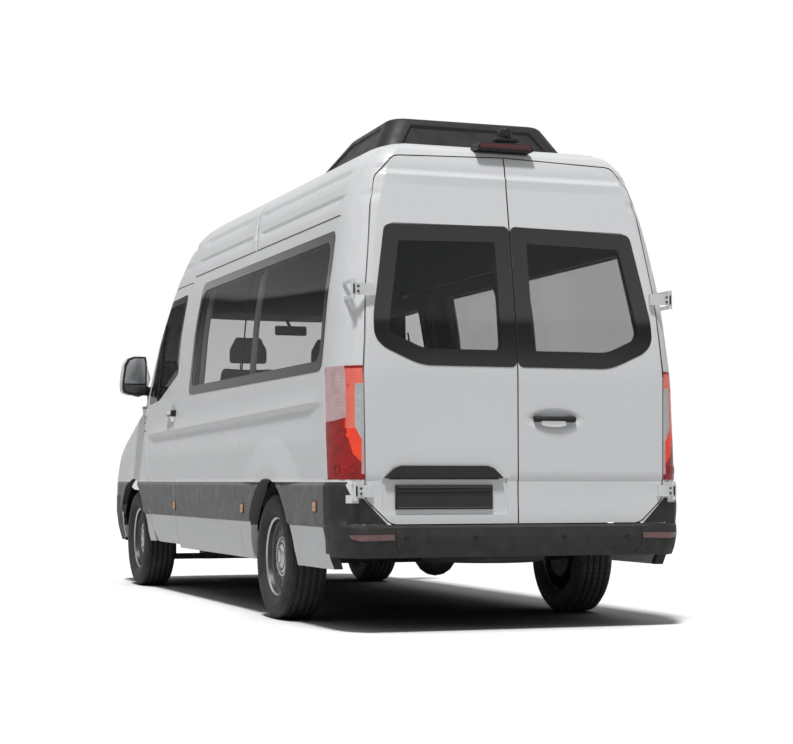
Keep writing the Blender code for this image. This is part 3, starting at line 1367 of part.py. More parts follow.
def build_knuckles():
    """Steering knuckles with their spindles and hubs."""
    z = TYRE_RADIUS
    hub = TRACK / 2 - HUB_FACE_INSET - SEAT_GAP
    for side, word in ((1, "left"), (-1, "right")):
        place = (FRONT_AXLE_X, side * KINGPIN_Y, z)
        pivot = pivot_at("steer_" + word + "_pivot", place)
        pin = rod((FRONT_AXLE_X, side * KINGPIN_Y, KINGPIN_LOW_Z),
                  (FRONT_AXLE_X, side * KINGPIN_Y, KINGPIN_TOP_Z), KINGPIN_RADIUS)
        spindle = rod(place, (FRONT_AXLE_X, side * (hub - DRUM_WIDTH / 4), z), SPINDLE_RADIUS)
        disc = rod((FRONT_AXLE_X, side * (hub - DRUM_WIDTH * 0.8), z),
                   (FRONT_AXLE_X, side * (hub - DRUM_WIDTH * 0.4), z), DRUM_RADIUS, 16)
        flange = rod((FRONT_AXLE_X, side * (hub - DRUM_WIDTH / 2), z),
                     (FRONT_AXLE_X, side * hub, z), HUB_RADIUS)
        unite(pin, spindle)
        unite(pin, disc)
        unite(pin, flange)
        finish(pin, "knuckle_" + word, DARK_STEEL, pivot)


def turned(profile, name, segments=WHEEL_SEGMENTS):
    """Turn a closed profile of radius and outward distance about the wheel's axle."""
    work = bmesh.new()
    rings = []
    for radius, out in profile:
        rings.append([work.verts.new((radius * math.cos(2 * math.pi * step / segments), out,
                                      radius * math.sin(2 * math.pi * step / segments)))
                      for step in range(segments)])
    for index in range(len(rings)):
        first, second = rings[index - 1], rings[index]
        for step in range(segments):
            work.faces.new((first[step - 1], first[step], second[step], second[step - 1]))
    mesh = mesh_from(work, name)
    return mesh


def tyre_profile():
    """Tyre section between the rim's flanges, as radius and outward distance."""
    seat = RIM_RADIUS - RIM_SEAT_DEPTH + SEAT_GAP
    bead = RIM_WIDTH / 2 - FLANGE_THICKNESS - SEAT_GAP
    half = TYRE_WIDTH / 2
    wall = TYRE_RADIUS - RIM_RADIUS
    right = [(seat, bead), (RIM_RADIUS + FLANGE_THICKNESS, bead), (RIM_RADIUS + wall * 0.45, half),
             (TYRE_RADIUS - wall * 0.06, half * 0.88), (TYRE_RADIUS, half * 0.62)]
    return right + [(radius, -out) for radius, out in reversed(right)]


def wheel_profile():
    """Steel wheel section with a dished disc and a hub bore, as radius and outward distance."""
    half = RIM_WIDTH / 2
    flange = half - FLANGE_THICKNESS
    seat = RIM_RADIUS - RIM_SEAT_DEPTH
    well = RIM_RADIUS - RIM_WELL_DEPTH
    disc = well - FLANGE_THICKNESS
    lip = seat - FLANGE_THICKNESS
    bore = RIM_RADIUS * 0.14
    return [(RIM_RADIUS, half), (RIM_RADIUS, flange), (seat, flange), (well, 0.0), (seat, -flange),
            (RIM_RADIUS, -flange), (RIM_RADIUS, -half), (lip, -half), (disc, -half * 0.2),
            (RIM_RADIUS * 0.36, -HUB_FACE_INSET), (bore, -HUB_FACE_INSET), (bore, half * 0.36),
            (RIM_RADIUS * 0.34, half * 0.36), (RIM_RADIUS * 0.50, half * 0.62), (disc, half * 0.36),
            (lip, half)]


def build_wheels():
    """Four tyres on four wheels, sharing their meshes."""
    tyre_mesh = turned(tyre_profile(), "tyre")
    wheel_mesh = turned(wheel_profile(), "wheel")
    corners = (("front_left", FRONT_AXLE_X, 1), ("front_right", FRONT_AXLE_X, -1),
               ("rear_left", REAR_AXLE_X, 1), ("rear_right", REAR_AXLE_X, -1))
    for word, x, side in corners:
        place = Vector((x, side * TRACK / 2, TYRE_RADIUS))
        pivot = pivot_at("wheel_" + word + "_pivot", place)
        for stem, mesh, look in (("tyre_", tyre_mesh, BLACK_RUBBER), ("wheel_", wheel_mesh, DARK_STEEL)):
            made = guide(mesh.copy())
            made.rotation_euler = (0.0, 0.0, 0.0 if side > 0 else math.pi)
            finish(made, stem + word, look, None, smooth=True)
            made.parent = pivot
    bpy.data.meshes.remove(tyre_mesh)
    bpy.data.meshes.remove(wheel_mesh)


def build_underbody():
    """Engine, fuel tank, exhaust and spare wheel."""
    engine = padded_box((ENGINE_REAR_X, -ENGINE_HALF_WIDTH, ENGINE_LOW_Z),
                        (ENGINE_FRONT_X, ENGINE_HALF_WIDTH, ENGINE_TOP_Z), SEAT_CORNER, 1)
    finish(engine, "engine_block", DARK_STEEL)
    tank = padded_box((TANK_REAR_X, TANK_INNER_Y, TANK_LOW_Z),
                      (TANK_FRONT_X, TANK_OUTER_Y, FLOOR_LOW_Z - SEAT_GAP), TANK_CORNER)
    finish(tank, "fuel_tank", CHARCOAL_PLASTIC)
    build_exhaust()
    spare = rod((SPARE_X, 0.0, SPARE_LOW_Z), (SPARE_X, 0.0, SPARE_LOW_Z + SPARE_WIDTH), SPARE_RADIUS, 24)
    boss = rod((SPARE_X, 0.0, SPARE_LOW_Z + SPARE_WIDTH / 2), (SPARE_X, 0.0, FLOOR_LOW_Z - SEAT_GAP),
               SPARE_BOSS_RADIUS)
    finish(unite(spare, boss), "spare_wheel", BLACK_RUBBER)


def build_exhaust():
    """Silencer with its pipe and hangers under the right side."""
    silencer = rod((SILENCER_REAR_X, SILENCER_Y, SILENCER_Z), (SILENCER_FRONT_X, SILENCER_Y, SILENCER_Z),
                   SILENCER_RADIUS, 16)
    middle = (SILENCER_REAR_X + SILENCER_FRONT_X) / 2
    tail = rod((PIPE_END_X, PIPE_LOW_Y, SILENCER_Z), (middle, PIPE_LOW_Y, SILENCER_Z), PIPE_RADIUS)
    head = rod((middle, SILENCER_Y, SILENCER_Z), (PIPE_FRONT_X, SILENCER_Y, SILENCER_Z), PIPE_RADIUS)
    hanger = box((middle - HANGER_HALF_WIDTH, SILENCER_Y - HANGER_HALF_WIDTH, SILENCER_Z),
                 (middle + HANGER_HALF_WIDTH, SILENCER_Y + HANGER_HALF_WIDTH, FLOOR_LOW_Z - SEAT_GAP))
    unite(silencer, head)
    unite(silencer, hanger)
    unite(silencer, tail)
    finish(silencer, "exhaust", DARK_STEEL)


# Cab and roof


def column_line():
    """Middle of the dashboard's slanted face and the column's direction."""
    along = Vector((math.sin(COLUMN_TILT), 0.0, math.cos(COLUMN_TILT)))
    foot = Vector((DASH_FOOT_X, 0.0, DASH_FOOT_Z))
    middle = foot + along * DASH_FACE_LENGTH / 2
    back = Vector((-math.cos(COLUMN_TILT), 0.0, math.sin(COLUMN_TILT)))
    return middle, back, foot, foot + along * DASH_FACE_LENGTH


def build_cab():
    """Bulkhead, dashboard, steering wheel and seats."""
    wide = BODY_HALF_WIDTH + OVERRUN
    front, wall = BULKHEAD_FRONT_X, BULKHEAD_WALL
    rear = FLOOR_FRONT_X + SEAT_GAP
    shelf = BULKHEAD_SHELF_Z
    outline = [(rear, FLOOR_LOW_Z), (rear + wall, FLOOR_LOW_Z), (rear + wall, shelf), (front, shelf),
               (front, BULKHEAD_TOP_Z), (front - wall, BULKHEAD_TOP_Z), (front - wall, shelf + wall),
               (rear, shelf + wall)]
    bulkhead = keep(plate(outline, -wide, wide, "y"), hull(BULKHEAD_CLEARANCE))
    slots = [box((rear - OVERRUN, side * RAIL_INNER_Y - SEAT_GAP if side > 0 else -RAIL_OUTER_Y - SEAT_GAP,
                  FLOOR_LOW_Z - OVERRUN),
                 (rear + wall + OVERRUN, RAIL_OUTER_Y + SEAT_GAP if side > 0 else SEAT_GAP - RAIL_INNER_Y,
                  FLOOR_LOW_Z + SEAT_GAP * 11)) for side in (1, -1)]
    finish(cut(bulkhead, *slots), "bulkhead", GREY_PLASTIC)
    middle, back, foot, top = column_line()
    dash = [(foot.x, foot.z), (top.x, top.z), (top.x + wall * 2, top.z + wall),
            (front - wall - SEAT_GAP, top.z + wall), (front - wall - SEAT_GAP, DASH_FOOT_Z + wall * 2),
            (foot.x + wall * 5, DASH_FOOT_Z)]
    finish(keep(plate(dash, -DASH_HALF_WIDTH, DASH_HALF_WIDTH, "y"), hull(DASH_CLEARANCE)),
           "dashboard", GREY_PLASTIC)
    build_steering_wheel(middle, back)
    build_seats()


def build_steering_wheel(face, back):
    """Steering wheel with spokes and column."""
    offset = Vector((0.0, DRIVER_Y, 0.0))
    centre = face + back * COLUMN_LENGTH + offset
    pivot = pivot_at("steering_wheel_pivot", centre)
    bpy.ops.mesh.primitive_torus_add(major_radius=STEERING_WHEEL_RADIUS, minor_radius=STEERING_RIM_RADIUS,
                                     major_segments=20, minor_segments=6)
    torus = bpy.context.object
    mesh = torus.data.copy()
    bpy.data.objects.remove(torus)
    turn = back.to_track_quat("Z", "Y").to_matrix().to_4x4()
    mesh.transform(Matrix.Translation(centre) @ turn)
    rim = guide(mesh)
    across = STEERING_WHEEL_RADIUS
    spoke = rod(centre + Vector((0.0, across, 0.0)), centre - Vector((0.0, across, 0.0)),
                STEERING_RIM_RADIUS * 0.8, 10)
    column = rod(face + offset + back * SEAT_GAP, centre + back * STEERING_RIM_RADIUS, COLUMN_RADIUS)
    unite(rim, spoke)
    unite(rim, column)
    finish(rim, "steering_wheel", CHARCOAL_PLASTIC, pivot)


def seat_shape(inner_y, outer_y):
    """Seat with base, cushion, backrest and headrests between two sides."""
    low, high = sorted((inner_y, outer_y))
    base = box((SEAT_REAR_X + SEAT_CORNER, low + SEAT_CORNER, FLOOR_TOP_Z + SEAT_GAP),
               (SEAT_FRONT_X - SEAT_CORNER * 2, high - SEAT_CORNER, SEAT_BASE_Z + SEAT_CORNER))
    cushion = padded_box((SEAT_REAR_X, low, SEAT_BASE_Z), (SEAT_FRONT_X, high, SEAT_TOP_Z), SEAT_CORNER)
    backrest = padded_box((SEAT_REAR_X, low, SEAT_BASE_Z + SEAT_CORNER / 2),
                          (SEAT_REAR_X + BACKREST_THICKNESS, high, BACKREST_TOP_Z), SEAT_CORNER)
    unite(cushion, backrest)
    count = max(1, round((high - low) / (2 * SEAT_HALF_WIDTH)))
    for index in range(count):
        middle = low + (high - low) * (index + 0.5) / count
        head = padded_box((SEAT_REAR_X + SEAT_CORNER / 2, middle - HEADREST_HALF_WIDTH,
                           BACKREST_TOP_Z - SEAT_CORNER),
                          (SEAT_REAR_X + BACKREST_THICKNESS - SEAT_CORNER / 2,
                           middle + HEADREST_HALF_WIDTH, HEADREST_TOP_Z), SEAT_CORNER)
        unite(cushion, head)
    return unite(cushion, base)


def build_seats():
    """Driver's seat and the double passenger seat."""
    driver = seat_shape(DRIVER_Y - SEAT_HALF_WIDTH, DRIVER_Y + SEAT_HALF_WIDTH)
    finish(driver, "seat_driver", GREY_FABRIC)
    finish(seat_shape(BENCH_INNER_Y, BENCH_OUTER_Y), "seat_passenger", GREY_FABRIC)


def build_roof_fittings():
    """Roof air conditioner and high brake lamp."""
    wide, taper = ROOF_UNIT_HALF_WIDTH, ROOF_UNIT_TAPER
    rear, front = ROOF_UNIT_REAR_X, ROOF_UNIT_FRONT_X
    low, shoulder, top = ROOF_UNIT_LOW_Z, ROOF_UNIT_SHOULDER_Z, ROOF_UNIT_TOP_Z
    side = [(rear, low), (front, low), (front - taper / 2, shoulder), (front - taper * 1.6, top),
            (rear + taper * 1.6, top), (rear + taper / 2, shoulder)]
    end = [(-wide, low), (wide, low), (wide - taper / 3, shoulder), (wide - taper, top),
           (taper - wide, top), (taper / 3 - wide, shoulder)]
    unit = keep(plate(side, -wide, wide, "y"), plate(end, rear - taper, front + taper, "x"))
    finish(cut(unit, hull(-ROOF_UNIT_GAP)), "roof_air_conditioner", CHARCOAL_PLASTIC)
    lamp = padded_box((HIGH_LAMP_REAR_X, -HIGH_LAMP_HALF_WIDTH, HIGH_LAMP_LOW_Z),
                      (HIGH_LAMP_REAR_X + HIGH_LAMP_LENGTH, HIGH_LAMP_HALF_WIDTH, HIGH_LAMP_TOP_Z),
                      HINGE_EAR, 1)
    finish(cut(lamp, hull(-SEAT_GAP)), "high_brake_lamp", RED_LAMP)


def main():
    """Build the whole van."""
    clear_scene()
    build_side_panels()
    build_roof()
    build_rear()
    build_cab_frame()
    build_bonnet()
    build_front()
    build_front_doors()
    build_rear_doors()
    build_floor()
    build_rear_axle()
    build_front_axle()
    build_knuckles()
    build_wheels()
    build_underbody()
    build_cab()
    build_roof_fittings()


main()
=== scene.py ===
"""Looks of the high-roof window van: skins, glass, lamps, trim, wheels, cab and studio."""

import logging
import math
from collections.abc import Iterable, Sequence
from dataclasses import dataclass, field
from enum import Enum, IntEnum

import bmesh
import bpy
from mathutils import Matrix, Vector
from mathutils.bvhtree import BVHTree


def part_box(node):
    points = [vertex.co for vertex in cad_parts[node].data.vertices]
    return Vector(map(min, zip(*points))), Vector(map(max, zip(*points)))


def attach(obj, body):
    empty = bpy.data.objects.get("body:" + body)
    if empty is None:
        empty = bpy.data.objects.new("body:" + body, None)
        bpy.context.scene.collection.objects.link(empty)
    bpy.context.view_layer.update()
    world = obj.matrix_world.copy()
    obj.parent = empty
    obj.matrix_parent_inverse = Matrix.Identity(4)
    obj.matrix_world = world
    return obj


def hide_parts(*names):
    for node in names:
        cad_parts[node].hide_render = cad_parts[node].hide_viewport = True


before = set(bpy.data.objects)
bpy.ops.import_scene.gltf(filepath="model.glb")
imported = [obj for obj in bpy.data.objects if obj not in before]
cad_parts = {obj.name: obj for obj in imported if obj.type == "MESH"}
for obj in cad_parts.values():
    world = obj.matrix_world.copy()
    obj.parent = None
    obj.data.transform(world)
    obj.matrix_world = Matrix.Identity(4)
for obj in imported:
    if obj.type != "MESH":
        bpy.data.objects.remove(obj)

LOG = logging.getLogger("window_van")
Point = tuple[float, float, float]
Flat = tuple[float, float]
CUT_PLAY = 0.00001  # Metres within which a dividing plane takes an existing point
HEART = Vector((0.0, 0.0, 1.2))  # A place inside the body that every outer face looks away from
HINGE_PIN: Flat = (-2.915, 0.880)  # A rear hinge's pin in x and y on the solids' faceted form
HINGE_LEVELS: Flat = (0.722, 1.750)  # Heights of the two hinges of a rear door


# Finishes


class Grain(Enum):
    """Named kinds of fine relief that a finish can carry."""

    SMOOTH = "smooth"
    STIPPLE = "stipple"
    WEAVE = "weave"
    PRISM = "prism"
    CAST = "cast"


class Slot(Enum):
    """Material slots of the record."""

    PAINT = "white_paint"
    GLASS = "window_glass"
    CLEAR = "clear_lens"
    RED = "red_lens"
    CHARCOAL = "charcoal_plastic"
    GREY = "grey_plastic"
    RUBBER = "tyre_rubber"
    STEEL = "dark_steel"
    FABRIC = "seat_fabric"


class PanelLook(IntEnum):
    """Order of the finishes on a panel's skin."""

    FINISH = 0
    MOULDING = 1
    TRIM = 2
    CHARCOAL = 3


class LampLook(IntEnum):
    """Order of the finishes on a tail lamp's lens."""

    PINK = 0
    RED_LIT = 1
    CLEAR = 2
    RED_DARK = 3
    BLACK = 4
    SALMON = 5


@dataclass
class Wiring:
    """A node tree being wired for one material."""

    tree: bpy.types.NodeTree

    def add(self, kind: str, **values: object) -> bpy.types.Node:
        """Add a node and set its properties.

        Args:
            kind: Node type without the ShaderNode prefix.
            values: Properties of the node.

        Returns:
            The new node.
        """
        node = self.tree.nodes.new("ShaderNode" + kind)
        for name, value in values.items():
            setattr(node, name, value)
        return node

    def join(self, source: bpy.types.NodeSocket, target: bpy.types.NodeSocket) -> None:
        """Link two sockets."""
        self.tree.links.new(source, target)

    def noise(self, where: bpy.types.NodeSocket, scale: float, detail: float = 3.0) -> bpy.types.NodeSocket:
        """Add a noise texture.

        Args:
            where: Coordinates to read.
            scale: Noise scale per metre.
            detail: Number of octaves.

        Returns:
            The noise value socket.
        """
        node = self.add("TexNoise")
        node.inputs["Scale"].default_value = scale
        node.inputs["Detail"].default_value = detail
        self.join(where, node.inputs["Vector"])
        return node.outputs[0]

    def spread(self, value: bpy.types.NodeSocket, low: float, high: float,
               start: float = 0.3, end: float = 0.7) -> bpy.types.NodeSocket:
        """Map a value from one range to another, clamped.

        Args:
            value: Socket to map.
            low: Result at the start.
            high: Result at the end.
            start: Value that gives low.
            end: Value that gives high.

        Returns:
            The mapped socket.
        """
        node = self.add("MapRange")
        node.inputs["From Min"].default_value = start
        node.inputs["From Max"].default_value = end
        node.inputs["To Min"].default_value = low
        node.inputs["To Max"].default_value = high
        self.join(value, node.inputs["Value"])
        return node.outputs["Result"]

    def combine(self, first: bpy.types.NodeSocket, second: bpy.types.NodeSocket,
                operation: str = "MULTIPLY") -> bpy.types.NodeSocket:
        """Combine two values.

        Args:
            first: First value.
            second: Second value.
            operation: Math operation.

        Returns:
            The result socket.
        """
        node = self.add("Math", operation=operation)
        self.join(first, node.inputs[0])
        self.join(second, node.inputs[1])
        return node.outputs[0]


@dataclass(frozen=True)
class Finish:
    """One surface finish of the van.

    Attributes:
        name: Name of the material.
        colour: Base colour.
        roughness: Middle roughness.
        metallic: Metallic share.
        coat: Clear coat share.
        alpha: Opacity, for tinted glass and clear lenses.
        drift: Share by which the colour wanders.
        drift_scale: Scale of that wandering per metre.
        grain: Kind of fine relief.
        grain_scale: Scale of the relief per metre.
        grain_height: Height of the relief in metres.
        dust: Share of road dust near the ground.
        glow: Strength of lit colour.
        sheen: Fabric sheen.
    """

    name: str
    colour: Point
    roughness: float = 0.45
    metallic: float = 0.0
    coat: float = 0.0
    alpha: float = 1.0
    drift: float = 0.05
    drift_scale: float = 2.5
    grain: Grain = Grain.SMOOTH
    grain_scale: float = 60.0
    grain_height: float = 0.0
    dust: float = 0.0
    glow: float = 0.0
    sheen: float = 0.0

    def material(self) -> bpy.types.Material:
        """Return this finish's material, made on first use."""
        found = bpy.data.materials.get("van_" + self.name)
        return found or self.make()

    def make(self) -> bpy.types.Material:
        """Build the node tree.

        Returns:
            The new material.
        """
        material = bpy.data.materials.new("van_" + self.name)
        material.use_nodes = True
        wiring = Wiring(material.node_tree)
        shader = material.node_tree.nodes["Principled BSDF"]
        shader.inputs["Metallic"].default_value = self.metallic
        shader.inputs["Coat Weight"].default_value = self.coat
        shader.inputs["Coat Roughness"].default_value = 0.08
        shader.inputs["Sheen Weight"].default_value = self.sheen
        shader.inputs["Alpha"].default_value = self.alpha
        if self.glow:
            shader.inputs["Emission Color"].default_value = (*self.colour, 1.0)
            shader.inputs["Emission Strength"].default_value = self.glow
        where = wiring.add("TexCoord").outputs["Object"]
        wiring.join(self.tone(wiring, where), shader.inputs["Base Color"])
        drift = wiring.noise(where, self.drift_scale * 7.0)
        low, high = max(self.roughness * 0.8, 0.02), min(self.roughness * 1.2, 1.0)
        wiring.join(wiring.spread(drift, low, high), shader.inputs["Roughness"])
        if self.grain_height:
            bump = wiring.add("Bump")
            bump.inputs["Distance"].default_value = self.grain_height
            bump.inputs["Strength"].default_value = 0.8
            wiring.join(self.relief(wiring, where), bump.inputs["Height"])
            wiring.join(bump.outputs["Normal"], shader.inputs["Normal"])
        return material

    def tone(self, wiring: Wiring, where: bpy.types.NodeSocket) -> bpy.types.NodeSocket:
        """Wire the colour: slow drift, and dust that gathers low down.

        Args:
            wiring: Tree to wire.
            where: Object coordinates.

        Returns:
            The colour socket.
        """
        mix = wiring.add("Mix", data_type="RGBA")
        mix.inputs[6].default_value = (*[c * (1 - self.drift) for c in self.colour], 1.0)
        mix.inputs[7].default_value = (*[min(c * (1 + self.drift), 1.0) for c in self.colour], 1.0)
        wiring.join(wiring.spread(wiring.noise(where, self.drift_scale, 5.0), 0.0, 1.0), mix.inputs[0])
        if not self.dust:
            return mix.outputs[2]
        split = wiring.add("SeparateXYZ")
        wiring.join(where, split.inputs[0])
        low = wiring.spread(split.outputs["Z"], self.dust, 0.0, 0.25, 1.0)
        patches = wiring.spread(wiring.noise(where, 14.0, 8.0), 0.15, 1.0)
        cover = wiring.add("Mix", data_type="RGBA")
        cover.inputs[7].default_value = (0.30, 0.27, 0.23, 1.0)
        wiring.join(wiring.combine(low, patches), cover.inputs[0])
        wiring.join(mix.outputs[2], cover.inputs[6])
        return cover.outputs[2]

    def relief(self, wiring: Wiring, where: bpy.types.NodeSocket) -> bpy.types.NodeSocket:
        """Wire the height of the fine relief.

        Args:
            wiring: Tree to wire.
            where: Object coordinates.

        Returns:
            The height socket.
        """
        if self.grain in (Grain.WEAVE, Grain.PRISM):
            woven = self.grain is Grain.WEAVE
            heights = []
            for direction in ("X", "Z") if woven else ("Y", "Z"):
                wave = wiring.add("TexWave", bands_direction=direction, wave_profile="SIN" if woven else "TRI")
                wave.inputs["Scale"].default_value = self.grain_scale
                wave.inputs["Distortion"].default_value = 0.6 if woven else 0.0
                wiring.join(where, wave.inputs["Vector"])
                heights.append(wave.outputs[1])
            return wiring.combine(heights[0], heights[1], "MAXIMUM" if woven else "MULTIPLY")
        if self.grain is Grain.STIPPLE:
            cells = wiring.add("TexVoronoi")
            cells.inputs["Scale"].default_value = self.grain_scale
            wiring.join(where, cells.inputs["Vector"])
            return cells.outputs[0]
        return wiring.noise(where, self.grain_scale, 6.0 if self.grain is Grain.CAST else 2.0)


PAINT = Finish("white_paint", (0.745, 0.755, 0.765), roughness=0.36, drift=0.012, drift_scale=1.2,
               dust=0.04)
MOULDING = Finish("grey_moulding", (0.135, 0.138, 0.140), roughness=0.52, drift=0.03, grain=Grain.STIPPLE,
                  grain_scale=900.0, grain_height=0.00010, dust=0.07)
CHARCOAL = Finish("charcoal_plastic", (0.011, 0.0115, 0.012), roughness=0.50, drift=0.10,
                  grain=Grain.STIPPLE, grain_scale=900.0, grain_height=0.00014, dust=0.10)
BLACK = Finish("black_plastic", (0.008, 0.008, 0.009), roughness=0.42, drift=0.10, grain=Grain.STIPPLE,
               grain_scale=1200.0, grain_height=0.00005)
SEAL = Finish("window_rubber", (0.010, 0.010, 0.010), roughness=0.75, drift=0.15, grain=Grain.CAST,
              grain_scale=300.0, grain_height=0.0001)
TINT = Finish("tinted_glass", (0.018, 0.020, 0.021), roughness=0.03, alpha=0.28, drift=0.04)
CLEAR_GLASS = Finish("clear_glass", (0.05, 0.055, 0.055), roughness=0.03, alpha=0.14, drift=0.04)
LAMP_COVER = Finish("lamp_cover", (0.30, 0.31, 0.32), roughness=0.04, alpha=0.16, coat=0.3, drift=0.05)
FRIT = Finish("glass_border", (0.008, 0.009, 0.010), roughness=0.06, coat=0.3, drift=0.08)
TRIM = Finish("cab_trim", (0.040, 0.042, 0.045), roughness=0.72, drift=0.08, grain=Grain.STIPPLE,
              grain_scale=700.0, grain_height=0.0002)
PALE_TRIM = Finish("pillar_trim", (0.30, 0.31, 0.32), roughness=0.62, drift=0.04, grain=Grain.STIPPLE,
                   grain_scale=800.0, grain_height=0.0001)
FLOOR_MAT = Finish("floor_mat", (0.035, 0.036, 0.038), roughness=0.80, drift=0.15, grain=Grain.CAST,
                   grain_scale=120.0, grain_height=0.0005)
FABRIC = Finish("seat_fabric", (0.040, 0.042, 0.046), roughness=0.88, drift=0.14, drift_scale=25.0,
                grain=Grain.WEAVE, grain_scale=160.0, grain_height=0.0006, sheen=0.25)
RUBBER = Finish("tyre_rubber", (0.017, 0.017, 0.018), roughness=0.68, drift=0.18, drift_scale=8.0,
                grain=Grain.CAST, grain_scale=220.0, grain_height=0.0003, dust=0.10)
WHEEL = Finish("wheel_steel", (0.11, 0.12, 0.13), roughness=0.36, metallic=0.75, drift=0.18,
               grain=Grain.CAST, grain_scale=150.0, grain_height=0.0002, dust=0.14)
SILVER = Finish("silver_rim", (0.62, 0.63, 0.64), roughness=0.24, metallic=1.0, drift=0.06,
                grain=Grain.CAST, grain_scale=260.0, grain_height=0.00008)
STEEL = Finish("dark_steel", (0.030, 0.030, 0.032), roughness=0.55, metallic=0.5, drift=0.30,
               drift_scale=6.0, grain=Grain.CAST, grain_scale=45.0, grain_height=0.0006, dust=0.30)
UNDERSEAL = Finish("underseal", (0.028, 0.028, 0.029), roughness=0.82, drift=0.30, drift_scale=4.0,
                   grain=Grain.CAST, grain_scale=60.0, grain_height=0.0012, dust=0.22)
EXHAUST = Finish("exhaust_steel", (0.10, 0.095, 0.088), roughness=0.50, metallic=0.8, drift=0.35,
                 drift_scale=7.0, grain=Grain.CAST, grain_scale=70.0, grain_height=0.0004, dust=0.25)
MIRROR_DARK = Finish("wide_mirror_glass", (0.085, 0.088, 0.09), roughness=0.28, metallic=0.5, drift=0.04)
MIRROR = Finish("mirror_glass", (0.44, 0.45, 0.46), roughness=0.30, metallic=0.6, drift=0.04)
RED_DARK = Finish("red_lens", (0.36, 0.004, 0.005), roughness=0.22, coat=0.15, drift=0.25, drift_scale=22.0,
                  grain=Grain.PRISM, grain_scale=30.0, grain_height=0.0016)
RED_LIT = Finish("lit_lens", (0.90, 0.060, 0.022), roughness=0.22, coat=0.2, drift=0.20, drift_scale=14.0,
                 grain=Grain.PRISM, grain_scale=22.0, grain_height=0.0012, glow=0.16)
SALMON = Finish("salmon_lens", (0.85, 0.165, 0.125), roughness=0.22, coat=0.2, drift=0.14, drift_scale=9.0,
                grain=Grain.PRISM, grain_scale=20.0, grain_height=0.0010, glow=0.10)
PINK = Finish("pale_lens", (0.62, 0.42, 0.43), roughness=0.18, coat=0.4, drift=0.12, drift_scale=16.0,
              grain=Grain.PRISM, grain_scale=18.0, grain_height=0.0010)
CLEAR_LENS = Finish("clear_lens", (0.52, 0.54, 0.54), roughness=0.10, coat=0.9, drift=0.10,
                    drift_scale=30.0, grain=Grain.PRISM, grain_scale=26.0, grain_height=0.0014)
BRAKE_RED = Finish("brake_lens", (0.075, 0.005, 0.006), roughness=0.12, coat=0.8, drift=0.25,
                   drift_scale=30.0, grain=Grain.PRISM, grain_scale=40.0, grain_height=0.0010)
REFLECTOR = Finish("reflector", (0.17, 0.085, 0.085), roughness=0.22, coat=0.7, drift=0.20,
                   drift_scale=40.0, grain=Grain.PRISM, grain_scale=60.0, grain_height=0.0008)
AMBER = Finish("amber_lens", (0.72, 0.27, 0.06), roughness=0.16, coat=0.8, drift=0.15, drift_scale=60.0,
               grain=Grain.PRISM, grain_scale=90.0, grain_height=0.0006)


# Mesh making


